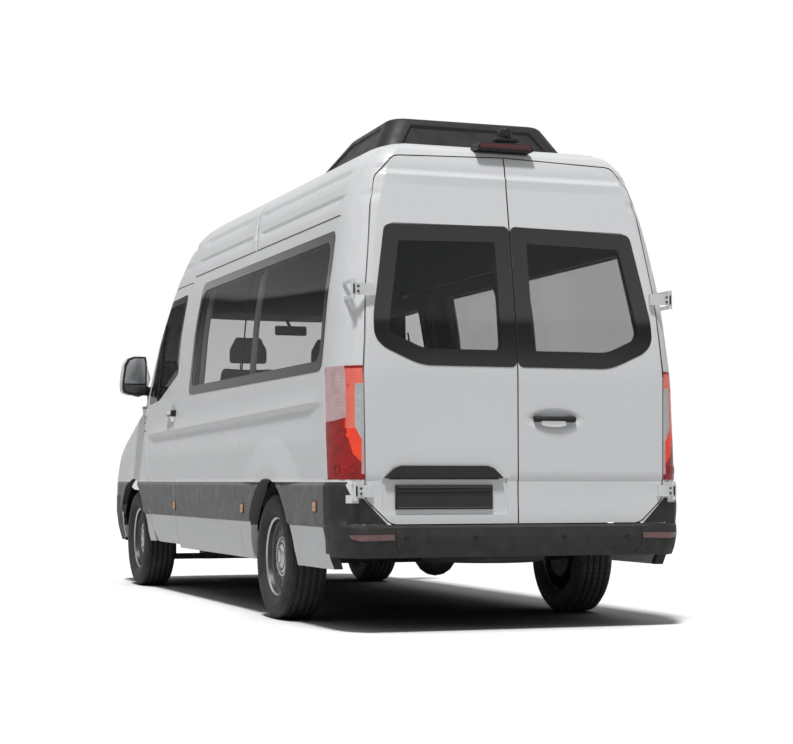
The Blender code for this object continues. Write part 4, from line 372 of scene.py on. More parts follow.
class Shape:
    """Makes closed bmesh shapes and turns them into pieces."""

    @staticmethod
    def block(low: Point, high: Point, edge: float = 0.004, steps: int = 2) -> bmesh.types.BMesh:
        """Make a block with rounded edges.

        Args:
            low: Lowest corner.
            high: Highest corner.
            edge: Radius of the edges.
            steps: Segments of each rounded edge.

        Returns:
            The shape.
        """
        work = bmesh.new()
        size = [b - a for a, b in zip(low, high)]
        middle = [(a + b) / 2 for a, b in zip(low, high)]
        bmesh.ops.create_cube(work, size=1.0, matrix=Matrix.Translation(middle) @ Matrix.Diagonal((*size, 1.0)))
        if edge:
            Shape.soften(work, work.edges[:], edge, steps)
        return work

    @staticmethod
    def soften(work: bmesh.types.BMesh, edges: list[bmesh.types.BMEdge], width: float, steps: int = 2) -> None:
        """Bevel edges of a shape.

        Args:
            work: The shape.
            edges: Edges to round.
            width: Bevel width.
            steps: Segments.
        """
        bmesh.ops.bevel(work, geom=edges, offset=width, segments=steps, affect="EDGES", profile=0.5,
                        material=-1, clamp_overlap=True)

    @staticmethod
    def plate(outline: Sequence[Point], depth: Point, edge: float = 0.0, steps: int = 2) -> bmesh.types.BMesh:
        """Extrude a flat outline.

        Args:
            outline: Points of the face, in order.
            depth: Extrusion as a vector.
            edge: Radius of the rim edges.
            steps: Segments of each rounded edge.

        Returns:
            The shape.
        """
        work = Shape.sheet(outline)
        Shape.thicken(work, depth)
        if edge:
            Shape.soften(work, work.edges[:], edge, steps)
        return work

    @staticmethod
    def sheet(outline: Iterable[Point]) -> bmesh.types.BMesh:
        """Make one face from the points of its outline.

        Args:
            outline: Points of the outline in order.

        Returns:
            The shape with its one face.
        """
        work = bmesh.new()
        work.faces.new([work.verts.new(point) for point in outline])
        return work

    @staticmethod
    def cut_across(work: bmesh.types.BMesh, axis: int, places: Iterable[float], play: float = CUT_PLAY) -> None:
        """Divide a shape by planes across one axis.

        Args:
            work: The shape.
            axis: 0, 1 or 2.
            places: Where each plane cuts the axis.
            play: Distance within which an existing point counts as cut.
        """
        normal = Vector([float(axis == k) for k in range(3)])
        for place in places:
            bmesh.ops.bisect_plane(work, geom=work.faces[:] + work.edges[:] + work.verts[:],
                                   plane_co=normal * place, plane_no=normal, dist=play)

    @staticmethod
    def thicken(work: bmesh.types.BMesh, depth: Point) -> None:
        """Extrude a sheet by a vector into a closed shape.

        Args:
            work: The sheet.
            depth: Where its other side lies.
        """
        out = bmesh.ops.extrude_face_region(work, geom=work.faces[:])["geom"]
        moved = [item for item in out if isinstance(item, bmesh.types.BMVert)]
        bmesh.ops.translate(work, verts=moved, vec=depth)
        bmesh.ops.recalc_face_normals(work, faces=work.faces[:])

    @staticmethod
    def turned(profile: Sequence[Flat], centre: Point, axis: Point, steps: int = 48) -> bmesh.types.BMesh:
        """Spin a profile of radius and length about an axis.

        Args:
            profile: Radius and place along the axis of each point.
            centre: Point on the axis that the lengths start from.
            axis: Direction of the axis.
            steps: Number of steps round.

        Returns:
            The shape.
        """
        work = bmesh.new()
        along = Vector(axis).normalized()
        out = along.orthogonal().normalized()
        points = [Vector(centre) + out * radius + along * place for radius, place in profile]
        verts = [work.verts.new(point) for point in points]
        edges = [work.edges.new(pair) for pair in zip(verts, verts[1:])]
        bmesh.ops.spin(work, geom=verts + edges, cent=centre, axis=along, angle=math.tau, steps=steps,
                       use_merge=True, use_duplicate=False)
        bmesh.ops.remove_doubles(work, verts=work.verts[:], dist=CUT_PLAY)
        bmesh.ops.recalc_face_normals(work, faces=work.faces[:])
        return work

    @staticmethod
    def sweep(route: Sequence[Point], radius: float, sides: int = 10, flat: float = 1.0) -> bmesh.types.BMesh:
        """Bridge circles along a route into a round bar.

        Args:
            route: Points of the middle line.
            radius: Radius of the bar.
            sides: Sides of the bar.
            flat: Share of the radius kept across.

        Returns:
            The shape.
        """
        work = bmesh.new()
        points = [Vector(point) for point in route]
        rings = []
        for index, point in enumerate(points):
            ahead = points[min(index + 1, len(points) - 1)] - points[max(index - 1, 0)]
            turn = ahead.to_track_quat("Z", "Y").to_matrix().to_4x4()
            place = Matrix.Translation(point) @ turn @ Matrix.Diagonal((flat, 1.0, 1.0, 1.0))
            ring = bmesh.ops.create_circle(work, cap_ends=index in (0, len(points) - 1), segments=sides,
                                           radius=radius, matrix=place)["verts"]
            rings.append({edge for vert in ring for edge in vert.link_edges if edge.other_vert(vert) in ring})
        for near, far in zip(rings, rings[1:]):
            bmesh.ops.bridge_loops(work, edges=list(near | far))
        bmesh.ops.recalc_face_normals(work, faces=work.faces[:])
        return work

    @staticmethod
    def merge(*parts: bmesh.types.BMesh) -> bmesh.types.BMesh:
        """Put several shapes into the first one.

        Args:
            parts: The shapes. All but the first are freed.

        Returns:
            The first shape with the faces of all.
        """
        first, *rest = parts
        for part in rest:
            mesh = bpy.data.meshes.new("joined")
            part.to_mesh(mesh)
            part.free()
            first.from_mesh(mesh)
            bpy.data.meshes.remove(mesh)
        return first

    @staticmethod
    def shade(work: bmesh.types.BMesh, limit: float = 32.0) -> None:
        """Shade faces smooth and keep edges over the limit in degrees sharp.

        Args:
            work: The shape.
            limit: Angle in degrees past which an edge stays sharp.
        """
        for face in work.faces:
            face.smooth = True
        for edge in work.edges:
            angle = edge.calc_face_angle(None)
            edge.smooth = angle is None or angle < math.radians(limit)

    @staticmethod
    def piece(name: str, work: bmesh.types.BMesh, body: str, slot: Slot, *finishes: Finish,
              replaces: Iterable[str] = (), limit: float = 32.0) -> bpy.types.Object:
        """Turn a shape into a piece that rides on a body.

        Args:
            name: Name of the piece.
            work: The shape, which is freed.
            body: Body that it rides on.
            slot: Material slot of the record, not used.
            finishes: Finishes in the order of the faces' material indices.
            replaces: CAD nodes that it stands for.
            limit: Angle in degrees over which an edge stays sharp.

        Returns:
            The new object.
        """
        Shape.shade(work, limit)
        mesh = bpy.data.meshes.new(name)
        work.to_mesh(mesh)
        work.free()
        thing = bpy.data.objects.new(name, mesh)
        bpy.context.scene.collection.objects.link(thing)
        for finish in finishes:
            mesh.materials.append(finish.material())
        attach(thing, body)
        if replaces:
            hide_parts(*replaces)
        return thing


def stations(start: float, end: float, count: int) -> list[float]:
    """Divide a span evenly and return both ends and the places between."""
    return [start + (end - start) * step / count for step in range(count + 1)]


def held_off(hits: Iterable[tuple[Vector, Vector]], proud: float) -> list[Point]:
    """Raise a line of places off the skin, each along its own normal."""
    return [tuple(place + normal * proud) for place, normal in hits]


def ease(value: float, start: float, end: float) -> float:
    """Rise smoothly from 0 at the start to 1 at the end."""
    part = min(max((value - start) / (end - start), 0.0), 1.0)
    return part * part * (3 - 2 * part)


def word(side: int) -> str:
    """Name of a side."""
    return "left" if side > 0 else "right"


# Body form


@dataclass(frozen=True)
class Level:
    """One level of the body, as shares of its main sizes."""

    height: float
    width: float
    rear: float
    front: float
    depth: float
    square: float


@dataclass
class BodyForm:
    """The body's outer form: the solids' own facets, and the smooth surface with its pressings."""

    half_width: float = 1.000
    roof_height: float = 2.620
    rear_reach: float = 2.966
    front_reach: float = 2.966
    corner_depth: float = 0.270
    corner_share: float = 0.150
    nose_depth: float = 0.500
    band_low: float = 0.535
    band_top: float = 0.768
    band_chamfer: float = 0.018
    band_height: float = 0.0150
    crease_height: float = 0.0110
    crease_slope: float = 0.0189
    crease_front: Flat = (1.491, 1.109)
    rear_wheel: Flat = (-1.704, 0.350)
    front_wheel: Flat = (1.961, 0.350)
    flare_height: float = 0.024
    rib_heights: tuple[float, ...] = (2.292, 2.430)
    rib_depth: float = 0.010
    seam: tuple[Flat, ...] = ((-1.050, 0.300), (-0.950, 1.350), (-0.925, 2.170), (-0.709, 2.400), (-0.650, 2.640))
    seam_half: float = 0.0042
    seam_depth: float = 0.0055
    levels: tuple[Level, ...] = (
        Level(0.1221, 0.955, 0.9778, 0.9862, 0.90, 4.0), Level(0.1603, 0.976, 0.9963, 0.9970, 0.90, 4.0),
        Level(0.1832, 0.983, 1.0000, 1.0000, 0.90, 4.0), Level(0.2042, 0.991, 0.9963, 0.9997, 0.90, 4.0),
        Level(0.2122, 1.008, 0.9848, 0.9990, 0.90, 4.0), Level(0.2870, 1.009, 0.9845, 0.9852, 0.90, 4.0),
        Level(0.2931, 0.996, 0.9845, 0.9835, 0.90, 4.0), Level(0.3588, 0.996, 0.9845, 0.9558, 0.90, 3.4),
        Level(0.4008, 0.9899, 0.9845, 0.9120, 0.94, 3.0), Level(0.4389, 0.9843, 0.9845, 0.8429, 0.96, 2.6),
        Level(0.4656, 0.9804, 0.9845, 0.7906, 0.98, 2.5), Level(0.4962, 0.976, 0.9845, 0.7249, 1.00, 2.4),
        Level(0.5725, 0.9582, 0.9801, 0.6797, 1.00, 2.4), Level(0.6679, 0.936, 0.9683, 0.6254, 1.00, 2.4),
        Level(0.7443, 0.905, 0.9568, 0.5806, 1.00, 2.4), Level(0.8282, 0.862, 0.9434, 0.5293, 1.00, 2.4),
        Level(0.8893, 0.815, 0.9339, 0.4879, 1.00, 2.4), Level(0.9351, 0.765, 0.9255, 0.4477, 1.00, 2.4),
        Level(0.9618, 0.700, 0.9154, 0.4046, 0.96, 2.4), Level(0.9790, 0.620, 0.8833, 0.3506, 0.92, 2.4),
        Level(0.9924, 0.450, 0.7923, 0.2360, 0.84, 2.4), Level(1.0000, 0.180, 0.5732, 0.0337, 0.60, 2.4))
    facets: BVHTree = field(init=False)
    smooth: BVHTree = field(init=False)

    def __post_init__(self) -> None:
        """Build both surfaces."""
        self.facets = self.surface(list(self.levels), 2, 3, 2, 6)
        self.smooth = self.surface(self.fine_levels(), 9, 10, 30, 26)

    def ring(self, level: Level, face: int, corner: int, side: int, nose: int) -> list[Point]:
        """Give one closed level ring.

        Args:
            level: The level.
            face: Steps across half the rear.
            corner: Steps round the rear corner.
            side: Steps along the side.
            nose: Steps round the front.

        Returns:
            The ring's points.
        """
        half = level.width * self.half_width
        back = -level.rear * self.rear_reach
        tip = level.front * self.front_reach
        height = level.height * self.roof_height
        corner_width = half * self.corner_share
        flat = half - corner_width
        points = [(back, flat * step / face) for step in range(face)]
        if face == 2:
            points = [(back, 0.0), (back, half * 0.5)]
        for step in range(corner + 1):
            angle = math.pi / 2 * step / corner
            points.append((back + self.corner_depth * (1 - math.cos(angle)),
                           half - corner_width * (1 - math.sin(angle))))
        start = back + self.corner_depth
        end = tip - level.depth * self.nose_depth
        points += [(start + (end - start) * step / side, half) for step in range(1, side)]
        for step in range(nose + 1):
            angle = math.pi / 2 * step / nose
            along = math.sin(angle) ** (2 / level.square)
            across = math.cos(angle) ** (2 / level.square) if step < nose else 0.0
            points.append((end + (tip - end) * along, half * across))
        points += [(x, -y) for x, y in reversed(points[1:-1])]
        return [(x, y, height) for x, y in points]

    def surface(self, levels: list[Level], face: int, corner: int, side: int, nose: int) -> BVHTree:
        """Bridge level rings into a surface to measure against.

        Args:
            levels: Levels from the lowest up.
            face: Steps across half the rear.
            corner: Steps round the rear corner.
            side: Steps along the side.
            nose: Steps round the front.

        Returns:
            The search tree of the surface.
        """
        work = bmesh.new()
        rings = []
        for level in levels:
            rings.append([work.verts.new(point) for point in self.ring(level, face, corner, side, nose)])
        for low, high in zip(rings, rings[1:]):
            for index in range(len(low)):
                work.faces.new((low[index - 1], low[index], high[index], high[index - 1]))
        work.faces.new(rings[0])
        work.faces.new(rings[-1])
        bmesh.ops.triangulate(work, faces=work.faces[:], quad_method="FIXED")
        bmesh.ops.recalc_face_normals(work, faces=work.faces[:])
        tree = BVHTree.FromBMesh(work)
        work.free()
        return tree

    def fine_levels(self) -> list[Level]:
        """Interpolate many levels smoothly, without the moulding's step in width.

        Returns:
            The levels from the lowest up.
        """
        heights = [level.height for level in self.levels]
        stepped = (4, 5)  # The two levels of the moulding's own step
        plain = [level for index, level in enumerate(self.levels) if index not in stepped]
        table = []
        for low, high in zip(heights, heights[1:]):
            steps = max(6, round((high - low) / 0.006))
            table += [low + (high - low) * step / steps for step in range(steps)]
        table.append(heights[-1])
        knots = {"width": plain}
        result = []
        for height in table:
            values = [height]
            for name in ("width", "rear", "front", "depth", "square"):
                rows = knots.get(name, list(self.levels))
                values.append(blend_knots([row.height for row in rows], [getattr(row, name) for row in rows], height))
            result.append(Level(*values))
        return result

    def pressing(self, place: Vector, normal: Vector) -> float:
        """Height of the pressed and moulded relief at a place on the skin.

        Args:
            place: Point on the smooth surface.
            normal: Outward normal there.

        Returns:
            Height along the normal, in metres.
        """
        x, _, z = place
        side = ease(abs(normal.y), 0.45, 0.85) * ease(2.75 - x, 0.0, 0.4)
        height = side * self.band(z)
        height += side * self.crease(x, z)
        height += side * self.flares(x, z)
        height += self.roof_ribs(place, normal)
        if x < self.rear_wheel[0] + 1.6:
            height -= self.seam_depth * max(1 - abs(x - self.seam_place(z)) / self.seam_half, 0.0) * \
                (1.0 if abs(normal.y) > 0.5 or z > 2.2 else 0.0)
        height += ease(-normal.x, 0.55, 0.9) * self.rear_pressing(place)
        bowl = ((x - 0.800) / 0.080) ** 2 + ((z - 1.238) / 0.072) ** 2
        if bowl < 1.0 and side:
            height -= 0.016 * ease(1.0 - bowl, 0.0, 0.8)
        return height

    def band(self, z: float) -> float:
        """Height of the side moulding.

        Args:
            z: Height of the place.

        Returns:
            Height of the relief.
        """
        low = min(max((z - self.band_low) / self.band_chamfer, 0.0), 1.0)
        high = min(max((self.band_top - z) / self.band_chamfer, 0.0), 1.0)
        return self.band_height * min(low, high)

    def crease_line(self, x: float) -> float:
        """Height of the body crease at a place along the side."""
        return self.crease_front[1] + self.crease_slope * (self.crease_front[0] - x)

    def crease(self, x: float, z: float) -> float:
        """Height of the body crease, a crisp line with a hollow under it.

        Args:
            x: Place along the body.
            z: Height of the place.

        Returns:
            Height of the relief.
        """
        above = z - self.crease_line(x)
        fade = ease(x, -2.72, -2.35) * ease(1.62 - x, 0.0, 0.30)
        if above >= 0.0:
            return fade * self.crease_height * max(1 - above / 0.110, 0.0) ** 2
        return fade * self.crease_height * (1 - 1.6 * ease(-above, 0.0, 0.030) + 0.6 * ease(-above, 0.06, 0.20))

    def flares(self, x: float, z: float) -> float:
        """Height of the flared metal round the wheel arches.

        Args:
            x: Place along the body.
            z: Height of the place.

        Returns:
            Height of the relief.
        """
        height = 0.0
        rear = math.dist((x, z), self.rear_wheel)
        outer = 0.869 - math.dist((x, z), (self.rear_wheel[0], 0.151))
        if outer > 0.0 and z > self.band_top - 0.001:
            inner = max(rear - 0.505, 0.0)
            height += self.flare_height * min(outer / (outer + inner), 1.0)
        elif z <= self.band_top and rear < 0.60:
            height += 0.006 * ease(0.50 - rear, 0.0, 0.012)
        front = math.dist((x, z), self.front_wheel)
        height += 0.009 * ease(0.56 - front, 0.0, 0.10)
        return height

    def roof_ribs(self, place: Vector, normal: Vector) -> float:
        """Depth of the long pressed channels in the sides of the high roof.

        Args:
            place: A point of the skin.
            normal: The skin's outward direction there.

        Returns:
            Height of the relief.
        """
        x, _, z = place
        if abs(normal.y) < 0.25 or z < 2.2:
            return 0.0
        gap = min(abs(x - self.seam_place(z)), abs(x - 0.728), abs(x + 2.62), abs(x - 1.15))
        fade = ease(gap, 0.07, 0.13) * ease(1.2 - x, 0.0, 0.2)
        height = 0.0
        for line in self.rib_heights:
            below = line - z
            if 0.0 <= below < 0.085:
                height -= self.rib_depth * (1 - ease(below, 0.0, 0.085))
        return height * fade

    def seam_place(self, z: float) -> float:
        """Place along the body of the panel seam at a height.

        Args:
            z: Height of the place.

        Returns:
            The seam's place along the body.
        """
        for (x0, z0), (x1, z1) in zip(self.seam, self.seam[1:]):
            if z <= z1:
                return x0 + (x1 - x0) * (z - z0) / (z1 - z0)
        return self.seam[-1][0]

    def rear_pressing(self, place: Vector) -> float:
        """Relief of the rear doors: two creases and the handle's scoop.

        Args:
            place: A point of the skin.

        Returns:
            Height of the relief.
        """
        _, y, z = place
        height = -0.0045 * ease(0.787 - z, 0.0, 0.010) * ease(z, 0.60, 0.70)
        if 2.30 < z < 2.47 and abs(y) < 0.78:
            above = z - 2.385
            fade = ease(0.78 - abs(y), 0.0, 0.25)
            crease = 0.006 * max(1 + above / 0.06, 0.0) if above < 0.0 else -0.003 * ease(0.06 - above, 0.0, 0.06)
            height += fade * crease
        spread = ((y + 0.21) / 0.165) ** 2 + ((z - 1.095) / 0.055) ** 2
        if spread < 1.0:
            height -= 0.014 * ease(1.0 - spread, 0.0, 0.7)
        if 0.787 < z < 1.0 and 0.05 < y < 0.80:
            height -= 0.0035 * ease(0.86 - z, 0.0, 0.05) * ease(0.78 - y, 0.0, 0.06) * ease(y, 0.05, 0.11)
        return height

    def shift(self, place: Vector) -> Vector:
        """Move from the facets to the smooth pressed skin for a point near the body.

        Args:
            place: A point of a CAD panel.

        Returns:
            The vector to add to the point.
        """
        base, _, _, depth = self.facets.find_nearest(place)
        if base is None or depth > 0.110:
            return Vector()
        goal, normal, _, _ = self.smooth.find_nearest(base)
        if normal.dot(goal - HEART) < 0:
            normal = -normal
        return goal - base + normal * self.pressing(goal, normal)

    def side_at(self, x: float, z: float, side: int) -> tuple[Vector, Vector]:
        """Find the skin on one side.

        Args:
            x: Place along the body.
            z: Height.
            side: 1 for left, -1 for right.

        Returns:
            The point on the pressed skin and its outward normal.
        """
        return self.strike(Vector((x, 2.0 * side, z)), Vector((0.0, -side, 0.0)))

    def rear_at(self, y: float, z: float) -> tuple[Vector, Vector]:
        """Find the skin at the rear, as side_at does at a side."""
        return self.strike(Vector((-4.0, y, z)), Vector((1.0, 0.0, 0.0)))

    def strike(self, start: Vector, way: Vector) -> tuple[Vector, Vector]:
        """Follow a line to the pressed skin.

        Args:
            start: Where the line starts, outside the body.
            way: Its direction.

        Returns:
            The point met and the outward normal there.
        """
        place, normal, _, _ = self.smooth.ray_cast(start, way)
        if normal.dot(way) > 0:
            normal = -normal
        return place + normal * self.pressing(place, normal), normal


def blend_knots(places: Sequence[float], values: Sequence[float], place: float) -> float:
    """Interpolate monotonically through knots.

    Args:
        places: Places of the knots, rising.
        values: Values at the knots.
        place: Where to read.

    Returns:
        The value there.
    """
    count = len(places)
    index = max(i for i in range(count - 1) if places[i] <= place or i == 0)
    slopes = [(values[i + 1] - values[i]) / (places[i + 1] - places[i]) for i in range(count - 1)]

    def lean(at: int) -> float:
        """Slope at a knot.

        Args:
            at: Number of the knot.

        Returns:
            The slope.
        """
        if at in (0, count - 1):
            return slopes[min(at, count - 2)]
        before, after = slopes[at - 1], slopes[at]
        return 0.0 if before * after <= 0 else 2 * before * after / (before + after)

    width = places[index + 1] - places[index]
    t = (place - places[index]) / width
    return ((1 + 2 * t) * (1 - t) ** 2 * values[index] + t * (1 - t) ** 2 * width * lean(index)
            + t * t * (3 - 2 * t) * values[index + 1] + t * t * (t - 1) * width * lean(index + 1))


# Body skins and glass


@dataclass(frozen=True)
class Cut:
    """A plane that divides a skin: a point in side view and a direction in it."""

    point: Point
    normal: Point


@dataclass
class Skins:
    """Smooth painted skins that stand for the faceted CAD panels."""

    form: BodyForm
    pitch: float = 0.075
    level_pitch: float = 0.055
    arch_pitch: float = 0.026
    skin_depth: float = 0.0008
    panels: tuple[tuple[str, str, Finish], ...] = (
        ("side_panel_left", "body", PAINT), ("side_panel_right", "body", PAINT),
        ("sliding_door", "body", PAINT), ("roof_panel", "body", PAINT), ("rear_frame", "body", PAINT),
        ("cab_frame", "body", PAINT), ("bonnet", "bonnet", PAINT), ("fender_left", "body", PAINT),
        ("fender_right", "body", PAINT), ("door_front_left", "door_front_left", PAINT),
        ("door_front_right", "door_front_right", PAINT), ("door_rear_left", "door_rear_left", PAINT),
        ("door_rear_right", "door_rear_right", PAINT), ("front_bumper", "body", CHARCOAL),
        ("rear_bumper", "body", CHARCOAL))

    def build(self) -> None:
        """Build every painted panel and bumper."""
        for node, body, finish in self.panels:
            work = self.copy(node)
            self.divide(work, self.cuts(node))
            self.dress(work, finish)
            self.settle(work)
            slot = Slot.CHARCOAL if finish is CHARCOAL else Slot.PAINT
            Shape.piece(node + "_skin", work, body, slot, finish, MOULDING, TRIM, CHARCOAL, replaces=[node], limit=24.0)
            LOG.info("skin of %s", node)

    def copy(self, node: str) -> bmesh.types.BMesh:
        """Copy a CAD node and merge its loose triangles into broad faces.

        Args:
            node: Name of the node.

        Returns:
            The merged shape.
        """
        work = bmesh.new()
        work.from_mesh(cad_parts[node].data)
        bmesh.ops.remove_doubles(work, verts=work.verts[:], dist=0.00002)
        bmesh.ops.dissolve_limit(work, angle_limit=math.radians(0.6), verts=work.verts[:], edges=work.edges[:])
        return work

    def broad_copy(self, node: str) -> bmesh.types.BMesh:
        """Copy a CAD node and merge its nearly flat facets too.

        Args:
            node: Name of the node.

        Returns:
            The merged shape.
        """
        work = self.copy(node)
        bmesh.ops.dissolve_limit(work, angle_limit=math.radians(4.0), verts=work.verts[:], edges=work.edges[:])
        return work

    def smooth_copy(self, node: str, pitch: float) -> bmesh.types.BMesh:
        """Copy a faceted node, divide its outer faces evenly and settle it on the smooth form.

        Args:
            node: Name of the node.
            pitch: Distance between two dividing planes.

        Returns:
            The settled shape.
        """
        work = self.broad_copy(node)
        self.divide(work, self.grid(node, pitch))
        self.settle(work)
        return work

    def on_skin(self, place: Vector) -> bool:
        """Tell whether a point lies on the outer facets."""
        depth = self.form.facets.find_nearest(place)[3]
        return depth is not None and depth < self.skin_depth

    def divide(self, work: bmesh.types.BMesh, cuts: Iterable[Cut]) -> None:
        """Cut the outer faces of a shape by planes.

        Args:
            work: The shape.
            cuts: The planes.
        """
        skin = {vert for vert in work.verts if self.on_skin(vert.co)}
        outer = work.faces.layers.int.new("outer")
        for face in [face for face in work.faces if all(vert in skin for vert in face.verts)]:
            face[outer] = 1
        for cut in cuts:
            faces = [face for face in work.faces if face[outer]]
            geometry = faces + list({edge for face in faces for edge in face.edges}) \
                + list({vert for face in faces for vert in face.verts})
            bmesh.ops.bisect_plane(work, geom=geometry, plane_co=cut.point, plane_no=cut.normal, dist=CUT_PLAY)

    @staticmethod
    def grid(node: str, pitch: float) -> list[Cut]:
        """List evenly spaced planes across the three axes of a node's box.

        Args:
            node: Name of the node.
            pitch: Distance between two planes.

        Returns:
            The planes.
        """
        low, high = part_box(node)
        planes = []
        for axis in range(3):
            normal = tuple(float(axis == k) for k in range(3))
            for n in range(1, int((high[axis] - low[axis]) / pitch) + 1):
                place = low[axis] + pitch * n
                planes.append(Cut(tuple(place * part for part in normal), normal))
        return planes

    def cuts(self, node: str) -> list[Cut]:
        """List the planes that divide a node's skin.

        Args:
            node: Name of the node.

        Returns:
            The planes, level, upright and along the pressings.
        """
        form = self.form
        low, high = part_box(node)
        planes = []
        levels = {low[2] + self.level_pitch * step for step in range(1, int((high[2] - low[2]) / self.level_pitch) + 1)}
        levels |= {form.band_low, form.band_low + form.band_chamfer, form.band_top, form.band_top - form.band_chamfer}
        for line in form.rib_heights:
            levels |= {line, line + 0.001, line - 0.02, line - 0.045, line - 0.085}
        if high[0] < -2.6 and high[1] - low[1] < 1.2:
            levels |= {0.787, 0.777, 2.385, 2.384, 2.355, 2.325, 2.445}
        if node == "door_rear_right":
            levels |= {1.04 + 0.011 * step for step in range(11)}
        if node in ("side_panel_left", "side_panel_right"):
            levels |= {0.40 + self.arch_pitch * step for step in range(26)}
        if node in ("door_front_left", "door_front_right"):
            levels |= {1.164 + 0.0145 * step for step in range(11)}
        planes += [Cut((0.0, 0.0, z), (0.0, 0.0, 1.0)) for z in sorted(levels) if low[2] < z < high[2]]
        places = {low[0] + self.pitch * step for step in range(1, int((high[0] - low[0]) / self.pitch) + 1)}
        if node in ("side_panel_left", "side_panel_right"):
            places |= {-2.44 + self.arch_pitch * step for step in range(57)}
        if node in ("door_front_left", "door_front_right"):
            places |= {0.718 + 0.0165 * step for step in range(11)}
        planes += [Cut((x, 0.0, 0.0), (1.0, 0.0, 0.0)) for x in sorted(places) if low[0] < x < high[0]]
        if high[0] < -2.6 or low[0] > 1.3 or node in ("cab_frame", "roof_panel"):
            widths = {low[1] + self.pitch * step for step in range(1, int((high[1] - low[1]) / self.pitch) + 1)}
            if node == "door_rear_right":
                widths |= {-0.38 + 0.02 * step for step in range(18)}
            planes += [Cut((0.0, y, 0.0), (0.0, 1.0, 0.0)) for y in sorted(widths) if low[1] < y < high[1]]
        tilt = (form.crease_slope, 0.0, 1.0)
        for offset in (-0.20, -0.12, -0.06, -0.03, -0.015, -0.001, 0.001, 0.015, 0.04, 0.075, 0.11):
            x, z = form.crease_front
            if high[0] > -2.9 and high[1] - low[1] < 0.3:
                planes.append(Cut((x, 0.0, z + offset), tilt))
        if node in ("side_panel_left", "side_panel_right", "roof_panel"):
            for (x0, z0), (x1, z1) in zip(form.seam, form.seam[1:]):
                for offset in (-form.seam_half, 0.0, form.seam_half):
                    planes.append(Cut((x0 + offset, 0.0, z0), (z1 - z0, 0.0, x0 - x1)))
        return planes

    def dress(self, work: bmesh.types.BMesh, finish: Finish) -> None:
        """Give each face paint, moulding or inner trim by where it lies.

        Args:
            work: The shape.
            finish: Finish of the outside.
        """
        form = self.form
        for face in work.faces:
            middle = face.calc_center_median()
            base, out, _, depth = form.facets.find_nearest(middle)
            if out.dot(base - HEART) < 0:
                out = -out
            x, wide, z = middle.x, abs(middle.y), middle.z
            away = min(abs(z - level) for level in HINGE_LEVELS)
            look = PanelLook.FINISH
            if away < 0.090 and x < -2.76 and 0.80 < wide < 0.95 and depth > 0.004:
                look = PanelLook.FINISH
            elif x < -2.70 and finish is PAINT and (z < 0.552 or z < 0.772 and wide > 0.925):
                look = PanelLook.CHARCOAL
            elif (depth > 0.030 or depth > 0.015 and face.normal.dot(out) < -0.2
                  or depth > 0.008 and 1.50 < x < 2.42 and 0.45 < z < 0.84 and wide > 0.6):
                look = PanelLook.TRIM
            elif (finish is PAINT and depth < 0.022 and abs(out.y) > 0.5 and x < 2.6
                  and form.band_low - 0.001 < z < form.band_top + 0.001):
                look = PanelLook.MOULDING
            face.material_index = look

    def settle(self, work: bmesh.types.BMesh) -> None:
        """Move every point from the facets to the smooth pressed form, and each hinge as one.

        Args:
            work: The shape.
        """
        moves = []
        for vert in work.verts:
            x, y, z = vert.co
            goal = Vector((x, y, z))
            for level in HINGE_LEVELS:
                if x < -2.80 and abs(y) > 0.84 and abs(z - level) < 0.085 and not self.on_skin(vert.co):
                    goal = Vector((HINGE_PIN[0], math.copysign(HINGE_PIN[1], y), level))
            moves.append(self.form.shift(goal))
        for vert, move in zip(work.verts, moves):
            vert.co += move


@dataclass(frozen=True)
class Pane:
    """One window pane, drawn in side view as x and z or in rear view as y and z.

    Attributes:
        node: CAD node that it stands for.
        body: Body that it rides on.
        side: 1 for left, -1 for right, 0 for a rear door view.
        outline: Sharp outline.
        corner: Radius of the outline's corners.
        border: Width of the black border.
        clear_corner: Radius of the clear field's corners.
        finish: Glass of the clear field.
        proud: Height of the outside over the skin.
    """

    node: str
    body: str
    side: int
    outline: tuple[Flat, ...]
    corner: float
    border: float
    clear_corner: float
    finish: Finish
    proud: float = 0.0012


